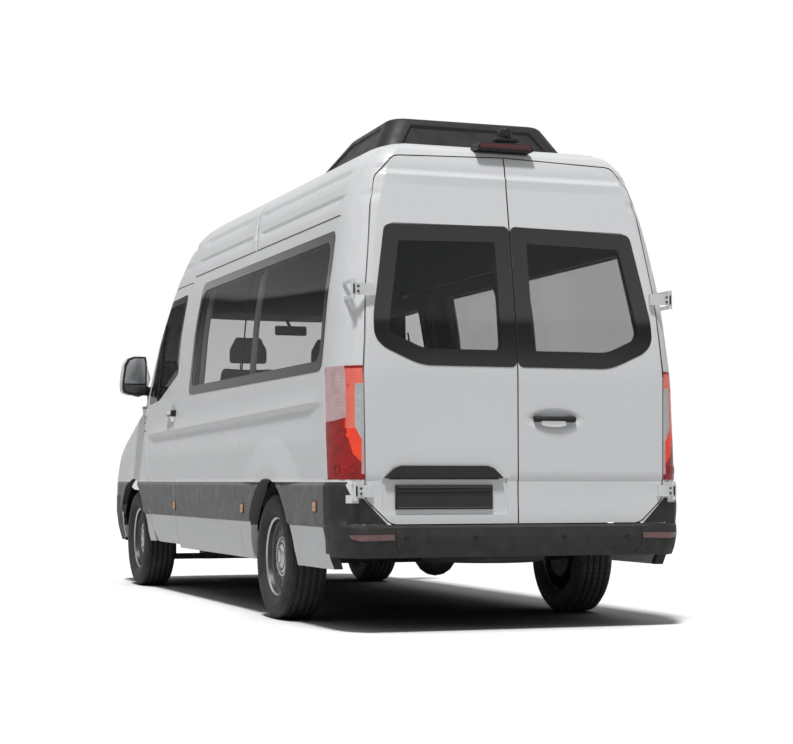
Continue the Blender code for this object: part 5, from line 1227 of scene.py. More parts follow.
@dataclass
class Glazing:
    """Window panes with their black borders."""

    form: BodyForm
    skins: Skins
    thickness: float = 0.0045
    step: float = 0.06
    rear_outline: tuple[Flat, ...] = ((0.0035, 1.366), (0.510, 1.366), (0.575, 1.382), (0.745, 1.458),
                                      (0.790, 1.515), (0.790, 1.620), (0.704, 2.104), (0.0035, 2.120))
    side_outline: tuple[Flat, ...] = ((0.372, 1.348), (0.318, 2.094), (-2.555, 2.094), (-2.592, 1.900),
                                      (-2.592, 1.348))

    def build(self) -> None:
        """Build every pane."""
        for side in (1, -1):
            rear = tuple((y * side, z) for y, z in self.rear_outline)
            self.make(Pane(f"door_glass_rear_{word(side)}", f"door_rear_{word(side)}", 0, rear,
                           0.045, 0.088, 0.085, TINT))
            self.fitted(f"door_glass_front_{word(side)}", f"door_front_{word(side)}")
        self.make(Pane("side_glass_left", "body", 1, self.side_outline, 0.055, 0.055, 0.075, TINT))
        self.make(Pane("sliding_door_glass", "body", -1,
                       ((0.425, 1.348), (0.400, 2.094), (-0.690, 2.094), (-0.690, 1.348)),
                       0.055, 0.055, 0.075, TINT))
        self.make(Pane("side_glass_right", "body", -1,
                       ((-0.872, 1.348), (-0.872, 2.094), *self.side_outline[2:]), 0.055, 0.055, 0.075, TINT))
        self.fitted("windscreen", "body")
        self.divider()

    def rounded(self, outline: Sequence[Flat], border: float, corner: float) -> list[Flat]:
        """Inset a sharp outline and round its corners.

        Args:
            outline: Sharp outline.
            border: Inset.
            corner: Corner radius.

        Returns:
            The new outline.
        """
        work = bmesh.new()
        face = work.faces.new([work.verts.new((a, b, 0.0)) for a, b in outline])
        face.normal_update()
        if border:
            ring = bmesh.ops.inset_region(work, faces=[face], thickness=border, use_even_offset=True,
                                          use_boundary=True)["faces"]
            bmesh.ops.delete(work, geom=ring, context="FACES")
        bmesh.ops.bevel(work, geom=work.verts[:], offset=corner, segments=6, affect="VERTICES", profile=0.5,
                        material=-1, clamp_overlap=True)
        largest = max(work.faces, key=lambda item: item.calc_area())
        points = [(vert.co.x, vert.co.y) for vert in largest.verts]
        work.free()
        return points

    def make(self, pane: Pane) -> None:
        """Build a pane and the black border on it.

        Args:
            pane: The pane's sizes.
        """
        outline = self.rounded(pane.outline, 0.0, pane.corner)
        clear = self.rounded(pane.outline, pane.border, pane.clear_corner)
        glass = bmesh.new()
        glass.faces.new([glass.verts.new((a, b, 0.0)) for a, b in outline])
        self.lay(glass, pane, pane.proud, self.thickness)
        Shape.piece(pane.node + "_pane", glass, pane.body, Slot.GLASS, pane.finish, replaces=[pane.node])
        border = bmesh.new()
        edges = []
        for loop in (outline, clear):
            verts = [border.verts.new((a, b, 0.0)) for a, b in loop]
            edges += [border.edges.new((verts[n - 1], verts[n])) for n in range(len(verts))]
        bmesh.ops.bridge_loops(border, edges=edges)
        self.lay(border, pane, pane.proud + 0.0010, 0.0008)
        Shape.piece(pane.node + "_border", border, pane.body, Slot.GLASS, FRIT)
        LOG.info("pane of %s", pane.node)

    def lay(self, work: bmesh.types.BMesh, pane: Pane, proud: float, thickness: float) -> None:
        """Lay a flat sheet on the body's skin and give it thickness.

        Args:
            work: Flat sheet in the outline's own plane.
            pane: The pane's sizes.
            proud: Height of the outer face over the skin.
            thickness: Thickness inwards.
        """
        spans = [(min(vert.co[axis] for vert in work.verts), max(vert.co[axis] for vert in work.verts))
                 for axis in (0, 1)]
        for axis, (low, high) in enumerate(spans):
            Shape.cut_across(work, axis, [low + self.step * n for n in range(1, int((high - low) / self.step) + 1)])
        for vert in work.verts:
            a, b, _ = vert.co
            place, normal = self.form.side_at(a, b, pane.side) if pane.side else self.form.rear_at(a, b)
            vert.co = place + normal * proud
        work.normal_update()
        out = Vector((0.0, pane.side, 0.0)) if pane.side else Vector((-1.0, 0.0, 0.0))
        if sum(face.normal.dot(out) * face.calc_area() for face in work.faces) < 0:
            bmesh.ops.reverse_faces(work, faces=work.faces[:])
        Shape.thicken(work, -out * thickness)

    def fitted(self, node: str, body: str) -> None:
        """Smooth a front door pane or the windscreen from its solid, with a border ring.

        Args:
            node: The CAD node.
            body: Body that it rides on.
        """
        work = self.skins.broad_copy(node)
        tag = {vert for vert in work.verts if self.skins.on_skin(vert.co)}
        outer = [face for face in work.faces if all(vert in tag for vert in face.verts)]
        ring = bmesh.ops.inset_region(work, faces=outer, thickness=0.050, use_even_offset=True,
                                      use_boundary=True)["faces"]
        for face in ring:
            face.material_index = 1
        self.skins.divide(work, self.skins.grid(node, self.step))
        self.skins.settle(work)
        Shape.piece(node + "_pane", work, body, Slot.GLASS, CLEAR_GLASS, FRIT, replaces=[node], limit=24.0)
        LOG.info("pane of %s", node)

    def divider(self) -> None:
        """Lay the black joint between the two panes of the left window band."""
        heights = [1.348 + 0.0746 * step for step in range(11)]
        route = held_off((self.form.side_at(self.form.seam_place(z), z, 1) for z in heights), 0.0005)
        Shape.piece("pane_joint_left", Shape.sweep(route, 0.0045, 8), "body", Slot.GREY, SEAL)


# Rear end


@dataclass
class TailLamps:
    """Corner tail lamps: lens fields, inner light guide, housing and lamp rims."""

    form: BodyForm
    skins: Skins
    low: float = 0.780
    top: float = 1.360
    borders: tuple[Flat, ...] = ((0.860, 0.868), (0.895, 0.908), (0.925, 1.008))
    edges: tuple[tuple[Flat, Flat], ...] = (((0.860, 0.985), (0.888, 1.052)), ((0.922, 1.096), (0.990, 1.072)),
                                            ((0.860, 0.8), (0.860, 1.3)), ((0.888, 0.9), (0.888, 1.3)),
                                            ((0.922, 0.9), (0.922, 1.3)), ((0.8, 1.268), (0.9, 1.268)),
                                            ((0.8, 1.345), (0.9, 1.345)))

    def build(self) -> None:
        """Build both lamps."""
        for side in (1, -1):
            self.lens(side)
            self.rims(side)
            LOG.info("tail lamp %s", word(side))

    def lens(self, side: int) -> None:
        """Build the wrap-round lens from its solid, with its coloured fields.

        Args:
            side: 1 for left, -1 for right.
        """
        node = f"tail_lamp_{word(side)}"
        work = self.skins.broad_copy(node)
        planes = [Cut((0.0, 0.0, self.low + 0.029 * n), (0.0, 0.0, 1.0)) for n in range(1, 20)]
        planes += [Cut((0.0, side * (0.845 + 0.012 * n), 0.0), (0.0, 1.0, 0.0)) for n in range(12)]
        planes += [Cut((-2.955 + 0.02 * n, 0.0, 0.0), (1.0, 0.0, 0.0)) for n in range(16)]
        planes += [Cut((0.0, side * y, z), (0.0, side * (q - z), y - p))
                   for (y, z), (p, q) in (*zip(self.borders, self.borders[1:]), *self.edges)]
        self.skins.divide(work, planes)
        for face in work.faces:
            face.material_index = self.field(face.calc_center_median(), side)
        self.skins.settle(work)
        Shape.piece(node + "_lens", work, "body", Slot.RED, PINK, RED_LIT, CLEAR_LENS, RED_DARK, BLACK,
                    SALMON, replaces=[node], limit=30.0)

    def field(self, place: Vector, side: int) -> LampLook:
        """Choose the coloured field at a place of the lens.

        Args:
            place: Middle of a face.
            side: Side of the lamp.

        Returns:
            The finish of the field.
        """
        y, z = place.y * side, place.z
        if self.form.facets.find_nearest(place)[3] > 0.02:
            return LampLook.BLACK
        if z > 1.345 and y < 0.922:
            return LampLook.RED_DARK
        if y < 0.860 and z < 1.268 and z > 0.80:
            return LampLook.CLEAR if z > 0.985 else LampLook.PINK
        if y < 0.888 and 0.985 < z < 1.268 and z > 0.985 + (y - 0.860) * 2.4:
            return LampLook.CLEAR
        if y < 0.922 and z > 1.040:
            return LampLook.SALMON
        if z > 1.083 + 0.35 * (0.960 - y):
            return LampLook.PINK
        inner = 0.868 + (y - 0.860) * 1.15 + 2.2 * max(y - 0.895, 0.0)
        return LampLook.RED_LIT if y < 0.925 and z > inner else LampLook.RED_DARK

    def rims(self, side: int) -> None:
        """Set the round lamp chambers and dark ribs on the lens.

        Args:
            side: 1 for left, -1 for right.
        """
        parts = []
        for y, z, radius in ((0.918, 1.262, 0.0075), (0.918, 1.000, 0.0075)):
            place, normal = self.form.rear_at(y * side, z)
            parts.append(Shape.turned([(0.0, 0.0), (radius, 0.0), (radius, 0.0012), (radius * 0.7, 0.0020),
                                       (0.0, 0.0020)], tuple(place), tuple(normal), 16))
        Shape.piece(f"lamp_rims_{word(side)}", Shape.merge(*parts), "body", Slot.RED, RED_LIT)
        parts = []
        for y, z, radius in ((0.962, 0.832, 0.024), (0.905, 0.832, 0.022)):
            place, normal = self.form.rear_at(y * side, z)
            parts.append(Shape.turned([(radius, 0.0), (radius, 0.0014), (radius * 0.86, 0.0016),
                                       (radius * 0.82, 0.0), (radius, 0.0)], tuple(place), tuple(normal), 24))
        Shape.piece(f"lamp_chambers_{word(side)}", Shape.merge(*parts), "body", Slot.RED, RED_DARK)


@dataclass
class RearTrim:
    """What the rear doors and the rear corners carry."""

    form: BodyForm
    plate_size: Flat = (0.520, 0.110)
    plate_middle: Flat = (0.412, 0.690)
    strip_low: float = 0.787
    strip_top: float = 0.852

    def build(self) -> None:
        """Build the trim of both doors."""
        self.handle_strip()
        self.number_plate()
        self.door_handle()
        self.seal()
        for side in (1, -1):
            for level in HINGE_LEVELS:
                self.hinge_plate(side, level)
        LOG.info("rear door trim")

    def laid(self, outline: Sequence[Flat], proud: float, depth: float, edge: float) -> bmesh.types.BMesh:
        """Make a shape drawn in rear view that follows the door's skin.

        Args:
            outline: Points as y and z.
            proud: Height over the skin.
            depth: Thickness inwards.
            edge: Radius of the outer rim.

        Returns:
            The shape.
        """
        points = [(0.0, y, z) for y, z in outline]
        work = Shape.plate(points, (-proud - depth, 0.0, 0.0), edge, 3)
        for vert in work.verts:
            place, _ = self.form.rear_at(vert.co.y, vert.co.z)
            vert.co.x += place.x + depth
        return work

    def handle_strip(self) -> None:
        """Build the black grip strip over the number plate."""
        inner, outer = 0.085, 0.742
        low, top = self.strip_low, self.strip_top
        outline = [(inner, low), (outer, low), (outer - 0.020, low + 0.022), (outer - 0.055, top - 0.012),
                   (outer - 0.090, top), (inner + 0.090, top), (inner + 0.055, top - 0.012),
                   (inner + 0.020, low + 0.022)]
        work = self.laid(outline, 0.016, 0.004, 0.004)
        Shape.piece("grip_strip", work, "door_rear_left", Slot.CHARCOAL, CHARCOAL)
        lip = self.laid([(inner + 0.03, low - 0.006), (outer - 0.03, low - 0.006), (outer - 0.03, low),
                         (inner + 0.03, low)], 0.011, 0.004, 0.0015)
        Shape.piece("plate_lamp_lip", lip, "door_rear_left", Slot.GREY, BLACK)

    def number_plate(self) -> None:
        """Build the bare black number plate in its frame."""
        y, z = self.plate_middle
        half, tall = self.plate_size[0] / 2, self.plate_size[1] / 2
        place, _ = self.form.rear_at(y, z)
        back = place.x - 0.0005
        frame_shape = Shape.block((back - 0.008, y - half - 0.007, z - tall - 0.007),
                                  (back + 0.006, y + half + 0.007, z + tall + 0.007), 0.003, 3)
        Shape.piece("plate_frame", frame_shape, "door_rear_left", Slot.GREY, BLACK)
        face = Shape.block((back - 0.0105, y - half, z - tall), (back - 0.0075, y + half, z + tall), 0.0009, 2)
        Shape.piece("plate_blank", face, "door_rear_left", Slot.GREY, FRIT)
        rim = []
        for offset in (-1, 1):
            level = z + offset * (tall - 0.003)
            rim.append(Shape.block((back - 0.0112, y - half + 0.004, level - 0.0012),
                                   (back - 0.0100, y + half - 0.004, level + 0.0012), 0.0004, 1))
        Shape.piece("plate_rim", Shape.merge(*rim), "door_rear_left", Slot.GREY, MOULDING)

    def door_handle(self) -> None:
        """Build the black pull handle in the right door's scoop, with its lock."""
        left, right, z = -0.095, -0.325, 1.095
        route = []
        for step in range(13):
            part = step / 12
            y = left + (right - left) * part
            place, _ = self.form.rear_at(y, z)
            route.append((place.x - 0.016 - 0.012 * math.sin(math.pi * part) ** 0.6, y, z + 0.004))
        grip = Shape.sweep(route, 0.0125, 12, 1.0)
        parts = [grip]
        for y, length in ((left - 0.018, 0.022), (right + 0.022, 0.026)):
            place, _ = self.form.rear_at(y, z)
            parts.append(Shape.block((place.x - 0.026, y - length, z - 0.013),
                                     (place.x + 0.004, y + length, z + 0.018), 0.007, 3))
        Shape.piece("rear_door_handle", Shape.merge(*parts), "door_rear_right", Slot.CHARCOAL, CHARCOAL)
        place, _ = self.form.rear_at(right + 0.022, z)
        lock = Shape.turned([(0.0, 0.0), (0.0085, 0.0), (0.0085, 0.0030), (0.0070, 0.0040), (0.0, 0.0040)],
                            (place.x - 0.0255, right + 0.022, z + 0.002), (-1.0, 0.0, 0.0), 20)
        Shape.piece("rear_door_lock", lock, "door_rear_right", Slot.STEEL, SILVER)

    def seal(self) -> None:
        """Run the black seal down the meeting edge of the doors."""
        route = []
        for z in stations(0.562, 2.485, 40):
            place, _ = self.form.rear_at(0.0, z)
            route.append((place.x + 0.010, 0.0022, z))
        Shape.piece("meeting_seal", Shape.sweep(route, 0.0030, 8), "door_rear_left", Slot.GREY, SEAL)

    def hinge_plate(self, side: int, z: float) -> None:
        """Dress a rear hinge leaf with its two screws and the dark slot over the pin.

        Args:
            side: 1 for left, -1 for right.
            z: Height of the hinge.
        """
        move = self.form.shift(Vector((HINGE_PIN[0], HINGE_PIN[1] * side, z)))
        face = -2.9500 + 0.04 * (z - HINGE_LEVELS[0]) + move.x
        screws = [Shape.turned([(0.0, 0.0), (0.0072, 0.0), (0.0072, 0.0018), (0.0058, 0.0034), (0.0030, 0.0036),
                                (0.0028, 0.0018), (0.0, 0.0018)],
                               (face, 0.874 * side + move.y, z + rise), (-1.0, 0.0, 0.0), 18)
                  for rise in (-0.013, 0.013)]
        Shape.piece(f"hinge_screws_{word(side)}_{round(z * 1000)}", Shape.merge(*screws),
                    f"door_rear_{word(side)}", Slot.STEEL, WHEEL)
        near, far = sorted((0.8925 * side + move.y, 0.9015 * side + move.y))
        slot = Shape.block((face - 0.0012, near, z - 0.0245), (face + 0.0030, far, z + 0.0245), 0.0006, 1)
        Shape.piece(f"hinge_slot_{word(side)}_{round(z * 1000)}", slot, f"door_rear_{word(side)}", Slot.STEEL, BLACK)


@dataclass
class BumperTrim:
    """Reflectors, parking sensors, end seams and step tread of the rear bumper."""

    form: BodyForm
    sensor_places: tuple[float, ...] = (0.634, 0.257, -0.244, -0.606)
    sensor_height: float = 0.482
    seam_place: float = 0.690

    def build(self) -> None:
        """Build the bumper's small pieces."""
        for side in (1, -1):
            self.reflector(side)
            self.end_seam(side)
            self.corner_fill(side)
        self.sensors()
        self.tread()
        LOG.info("bumper trim")

    def reflector(self, side: int) -> None:
        """Build one long reflector in its recess.

        Args:
            side: 1 for left, -1 for right.
        """
        outline = [(0.700, 0.474), (0.880, 0.470), (0.915, 0.482), (0.925, 0.500), (0.700, 0.502)]
        work = Shape.sheet((0.0, y * side, z) for y, z in outline)
        Shape.cut_across(work, 1, [side * (0.70 + 0.02 * n) for n in range(1, 12)])
        for vert in work.verts:
            place, normal = self.form.rear_at(vert.co.y, vert.co.z)
            vert.co = place + normal * 0.0030
        Shape.thicken(work, (0.010, 0.0, 0.0))
        Shape.piece(f"reflector_{word(side)}", work, "body", Slot.RED, REFLECTOR)

    def end_seam(self, side: int) -> None:
        """Mark the joint between the bumper's middle and its corner piece.

        Args:
            side: 1 for left, -1 for right.
        """
        route = held_off((self.form.rear_at(side * (self.seam_place - max(0.0, 0.43 - z)), z)
                          for z in stations(0.400, 0.535, 8)), 0.0006)
        Shape.piece(f"bumper_seam_{word(side)}", Shape.sweep(route, 0.0020, 6), "body", Slot.GREY, SEAL)

    def corner_fill(self, side: int) -> None:
        """Build the dark corner that follows the door's lower edge, and the ledge beside it.

        Args:
            side: 1 for left, -1 for right.
        """
        outline = [(0.872, 0.684), (0.852, 0.684), (0.734, 0.5625), (0.720, 0.5505), (0.0, 0.5505), (0.0, 0.534),
                   (0.872, 0.534)]
        work = Shape.sheet((0.0, y * side, z) for y, z in outline)
        Shape.cut_across(work, 1, [side * 0.042 * n for n in range(1, 22)])
        for vert in work.verts:
            place, _ = self.form.rear_at(vert.co.y, max(vert.co.z, 0.556))
            vert.co.x = place.x - 0.0040
        Shape.thicken(work, (0.012, 0.0, 0.0))
        Shape.piece(f"bumper_ledge_{word(side)}", work, "body", Slot.CHARCOAL, CHARCOAL)

    def sensors(self) -> None:
        """Build the round parking sensors."""
        parts = []
        for y in self.sensor_places:
            place, normal = self.form.rear_at(y, self.sensor_height)
            parts.append(Shape.turned([(0.0, 0.0005), (0.0095, 0.0005), (0.0105, 0.0020), (0.0125, 0.0020),
                                       (0.0135, -0.0010), (0.0, -0.0010)],
                                      tuple(place + normal * 0.0012), tuple(normal), 20))
        Shape.piece("parking_sensors", Shape.merge(*parts), "body", Slot.CHARCOAL, BLACK)

    def tread(self) -> None:
        """Lay ribs along the top of the bumper as a step tread."""
        parts = []
        for row in range(3):
            place, _ = self.form.rear_at(0.0, 0.520)
            x = place.x + 0.012 + 0.010 * row
            parts.append(Shape.block((x, -0.60, 0.5340), (x + 0.004, 0.60, 0.5375), 0.0008, 1))
        Shape.piece("step_tread", Shape.merge(*parts), "body", Slot.CHARCOAL, BLACK)


@dataclass
class RoofUnit:
    """Roof air conditioner, high brake lamp and the camera over it."""

    form: BodyForm
    foot: float = 2.578
    top: float = 2.783

    def build(self) -> None:
        """Build what stands on the roof."""
        self.housing()
        self.grilles()
        self.brake_lamp()
        self.camera()
        LOG.info("roof unit")

    def housing(self) -> None:
        """Build the air conditioner's tapered moulded housing."""
        low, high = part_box("roof_air_conditioner")
        rear, front, wide = low[0] + 0.002, high[0] - 0.002, high[1] - 0.002
        work = bmesh.new()
        bmesh.ops.create_cube(work, size=1.0)
        for vert in work.verts:
            upper = vert.co.z > 0
            back = vert.co.x < 0
            x = (rear + (0.125 if upper else 0.0)) if back else (front - (0.300 if upper else 0.0))
            y = math.copysign(wide - (0.115 if upper else 0.0), vert.co.y)
            vert.co = (x, y, self.top - (0.0 if back or not upper else 0.018) if upper else self.foot)
        upright = [edge for edge in work.edges if abs(edge.verts[0].co.z - edge.verts[1].co.z) > 0.1]
        Shape.soften(work, upright, 0.085, 5)
        upper_rim = [edge for edge in work.edges if min(vert.co.z for vert in edge.verts) > self.top - 0.03
                     and len(edge.link_faces) == 2 and any(face.normal.z < 0.9 for face in edge.link_faces)]
        Shape.soften(work, upper_rim, 0.024, 4)
        work.normal_update()
        rear_face = [face for face in work.faces if face.normal.x < -0.7 and face.calc_area() > 0.05]
        bmesh.ops.inset_region(work, faces=rear_face, thickness=0.030)
        bmesh.ops.inset_region(work, faces=rear_face, thickness=0.012, depth=-0.014)
        for sign in (1, -1):
            work.normal_update()
            side_face = [face for face in work.faces if face.normal.y * sign > 0.7 and face.calc_area() > 0.05]
            bmesh.ops.inset_region(work, faces=side_face, thickness=0.028)
            bmesh.ops.inset_region(work, faces=side_face, thickness=0.010, depth=-0.010)
        bmesh.ops.recalc_face_normals(work, faces=work.faces[:])
        Shape.piece("roof_unit_housing", work, "body", Slot.CHARCOAL, CHARCOAL,
                    replaces=["roof_air_conditioner"], limit=28.0)
        skirt = Shape.block((rear + 0.012, -wide + 0.012, self.foot - 0.004),
                            (front - 0.012, wide - 0.012, self.foot + 0.012), 0.005, 2)
        Shape.piece("roof_unit_seal", skirt, "body", Slot.GREY, SEAL)

    def grilles(self) -> None:
        """Build the two fan grilles."""
        low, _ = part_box("roof_air_conditioner")
        parts = []
        for x in (low[0] + 0.36, low[0] + 0.72):
            for radius in (0.150, 0.118, 0.086, 0.054):
                parts.append(Shape.turned([(radius, 0.0), (radius + 0.006, 0.0), (radius + 0.006, 0.004),
                                           (radius, 0.004), (radius, 0.0)],
                                          (x, 0.0, self.top - 0.0115), (0.0, 0.0, 1.0), 36))
            for step in range(12):
                turn = Matrix.Translation((x, 0.0, self.top - 0.0095)) @ Matrix.Rotation(math.tau * step / 12, 4, "Z")
                bar = Shape.block((0.028, -0.0022, -0.0015), (0.152, 0.0022, 0.0015), 0.0, 1)
                bmesh.ops.transform(bar, matrix=turn, verts=bar.verts[:])
                parts.append(bar)
            parts.append(Shape.turned([(0.0, 0.0), (0.030, 0.0), (0.030, 0.004), (0.024, 0.006), (0.0, 0.006)],
                                      (x, 0.0, self.top - 0.0115), (0.0, 0.0, 1.0), 24))
        Shape.piece("fan_grilles", Shape.merge(*parts), "body", Slot.CHARCOAL, BLACK)

    def brake_lamp(self) -> None:
        """Build the high brake lamp's lens in its body."""
        low, high = [Vector(corner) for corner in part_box("high_brake_lamp")]
        low.z, high.z = low.z + 0.012, high.z - 0.012
        outline = [(low[1], low[2] + 0.012), (low[1] + 0.018, high[2] - 0.004), (high[1] - 0.018, high[2] - 0.004),
                   (high[1], low[2] + 0.012), (high[1] - 0.010, low[2]), (low[1] + 0.010, low[2])]
        work = Shape.plate([(low[0] + 0.004, y, z) for y, z in outline], (high[0] - low[0] - 0.006, 0.0, 0.0),
                           0.004, 3)
        Shape.piece("brake_lamp_body", work, "body", Slot.RED, BLACK, replaces=["high_brake_lamp"])
        lens = [(y * 0.93, low[2] + (z - low[2]) * 0.62 + 0.010) for y, z in outline]
        work = Shape.plate([(low[0] + 0.0005, y, z) for y, z in lens], (0.010, 0.0, 0.0), 0.002, 2)
        Shape.piece("brake_lamp_lens", work, "body", Slot.RED, BRAKE_RED)

    def camera(self) -> None:
        """Build the camera pod above the brake lamp."""
        low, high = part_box("high_brake_lamp")
        foot = Shape.block((low[0] + 0.010, -0.080, high[2] - 0.006), (high[0] + 0.020, 0.050, high[2] + 0.014),
                           0.006, 3)
        neck = Shape.block((low[0] + 0.025, -0.048, high[2] + 0.008), (high[0] + 0.000, 0.010, high[2] + 0.075),
                           0.018, 4)
        eye = Shape.turned([(0.0, 0.0), (0.013, 0.0), (0.016, 0.004), (0.018, 0.022), (0.0, 0.022)],
                           (low[0] + 0.010, -0.019, high[2] + 0.030), (1.0, 0.0, -0.0), 20)
        Shape.piece("camera_pod", Shape.merge(foot, neck, eye), "body", Slot.CHARCOAL, BLACK)


# Sides


@dataclass
class SideTrim:
    """Marker lamps, door handles, gutter lines and the sliding door's rail."""

    form: BodyForm
    marker_places: tuple[Flat, ...] = ((0.596, 0.608), (-1.164, 0.612), (-2.605, 0.640))
    handle_places: Flat = (0.705, 0.905)
    handle_height: float = 1.238
    gutter_height: float = 2.172
    rail_height: float = 1.284

    def build(self) -> None:
        """Build both sides."""
        for side in (1, -1):
            self.markers(side)
            self.handle(side)
            self.gutter(side)
            self.quarter_bar(side)
        self.sliding_rail()
        LOG.info("side trim")

    def markers(self, side: int) -> None:
        """Build the amber marker lamps in their black frames.

        Args:
            side: 1 for left, -1 for right.
        """
        frames, lenses, dots = [], [], []
        for x, z in self.marker_places:
            place, _ = self.form.side_at(x, z, side)
            y = place.y
            near, far = sorted((y - side * 0.003, y + side * 0.0045))
            frames.append(Shape.block((x - 0.030, near, z - 0.030), (x + 0.024, far, z + 0.030), 0.003, 2))
            near, far = sorted((y, y + side * 0.0095))
            lenses.append(Shape.block((x - 0.0235, near, z - 0.0245), (x + 0.0195, far, z + 0.0245), 0.0055, 3))
            dots.append(Shape.turned([(0.0, 0.0), (0.0065, 0.0), (0.0065, 0.0012), (0.0, 0.0012)],
                                     (x - 0.002, y + side * 0.0092, z), (0.0, float(side), 0.0), 14))
        Shape.piece(f"marker_frames_{word(side)}", Shape.merge(*frames), "body", Slot.GREY, BLACK)
        Shape.piece(f"marker_lenses_{word(side)}", Shape.merge(*lenses), "body", Slot.CLEAR, AMBER)
        Shape.piece(f"marker_bulbs_{word(side)}", Shape.merge(*dots), "body", Slot.CLEAR, REFLECTOR)

    def handle(self, side: int) -> None:
        """Build a front door's pull handle over its round scoop.

        Args:
            side: 1 for left, -1 for right.
        """
        rear, front = self.handle_places
        z = self.handle_height
        route = []
        for step in range(11):
            x = rear + 0.035 + (front - rear - 0.035) * step / 10
            place, _ = self.form.side_at(x, 1.32, side)
            route.append((x, place.y + side * (0.020 + 0.010 * math.sin(math.pi * step / 10)), z))
        Shape.piece(f"handle_grip_{word(side)}", Shape.sweep(route, 0.0135, 12, 1.0),
                    f"door_front_{word(side)}", Slot.PAINT, PAINT)
        place, _ = self.form.side_at(rear + 0.02, 1.32, side)
        near, far = sorted((place.y - side * 0.012, place.y + side * 0.036))
        cap = Shape.block((rear, near, z - 0.024), (rear + 0.048, far, z + 0.022), 0.010, 4)
        place, _ = self.form.side_at(front, 1.32, side)
        near, far = sorted((place.y - side * 0.012, place.y + side * 0.030))
        foot = Shape.block((front - 0.012, near, z - 0.016), (front + 0.014, far, z + 0.014), 0.008, 3)
        under = Shape.sweep([(x, y - side * 0.006, height - 0.011) for x, y, height in route[1:-1]], 0.009, 10)
        Shape.piece(f"handle_ends_{word(side)}", Shape.merge(cap, foot, under), f"door_front_{word(side)}",
                    Slot.CHARCOAL, BLACK)

    def gutter(self, side: int) -> None:
        """Run the dark roof joint along one side.

        Args:
            side: 1 for left, -1 for right.
        """
        parts = []
        for start, end in ((-2.560, -0.935), (-0.915, 0.625)):
            hits = [self.form.side_at(x, self.gutter_height, side) for x in stations(start, end, 40)]
            parts.append(Shape.sweep(held_off(hits, 0.0002), 0.0030, 6))
        Shape.piece(f"roof_joint_{word(side)}", Shape.merge(*parts), "body", Slot.GREY, SEAL)

    def quarter_bar(self, side: int) -> None:
        """Build the divider bar of a front door's window.

        Args:
            side: 1 for left, -1 for right.
        """
        places = zip(stations(1.300, 1.260, 16), stations(1.345, 1.880, 16))
        bar = Shape.sweep(held_off((self.form.side_at(x, z, side) for x, z in places), 0.0015), 0.0070, 10, 1.0)
        Shape.piece(f"quarter_bar_{word(side)}", bar, f"door_front_{word(side)}", Slot.GREY, BLACK)

    def sliding_rail(self) -> None:
        """Build the sliding door's rail cover and its pull handle on the right."""
        route = held_off((self.form.side_at(x, self.rail_height, -1) for x in stations(-2.340, -0.800, 40)), 0.001)
        Shape.piece("slide_rail", Shape.sweep(route, 0.0130, 10, 0.45), "body", Slot.GREY, BLACK)
        x, z = 0.405, 1.238
        route = []
        for step in range(11):
            place, _ = self.form.side_at(x - 0.19 * step / 10, z, -1)
            route.append((place.x, place.y - 0.018 - 0.012 * math.sin(math.pi * step / 10), z))
        grip = Shape.sweep(route, 0.0125, 12)
        ends = []
        for middle in (x, x - 0.19):
            place, _ = self.form.side_at(middle, z, -1)
            ends.append(Shape.block((middle - 0.018, place.y - 0.032, z - 0.016),
                                    (middle + 0.018, place.y + 0.004, z + 0.016), 0.008, 3))
        Shape.piece("slide_handle", Shape.merge(grip, *ends), "body", Slot.CHARCOAL, BLACK)


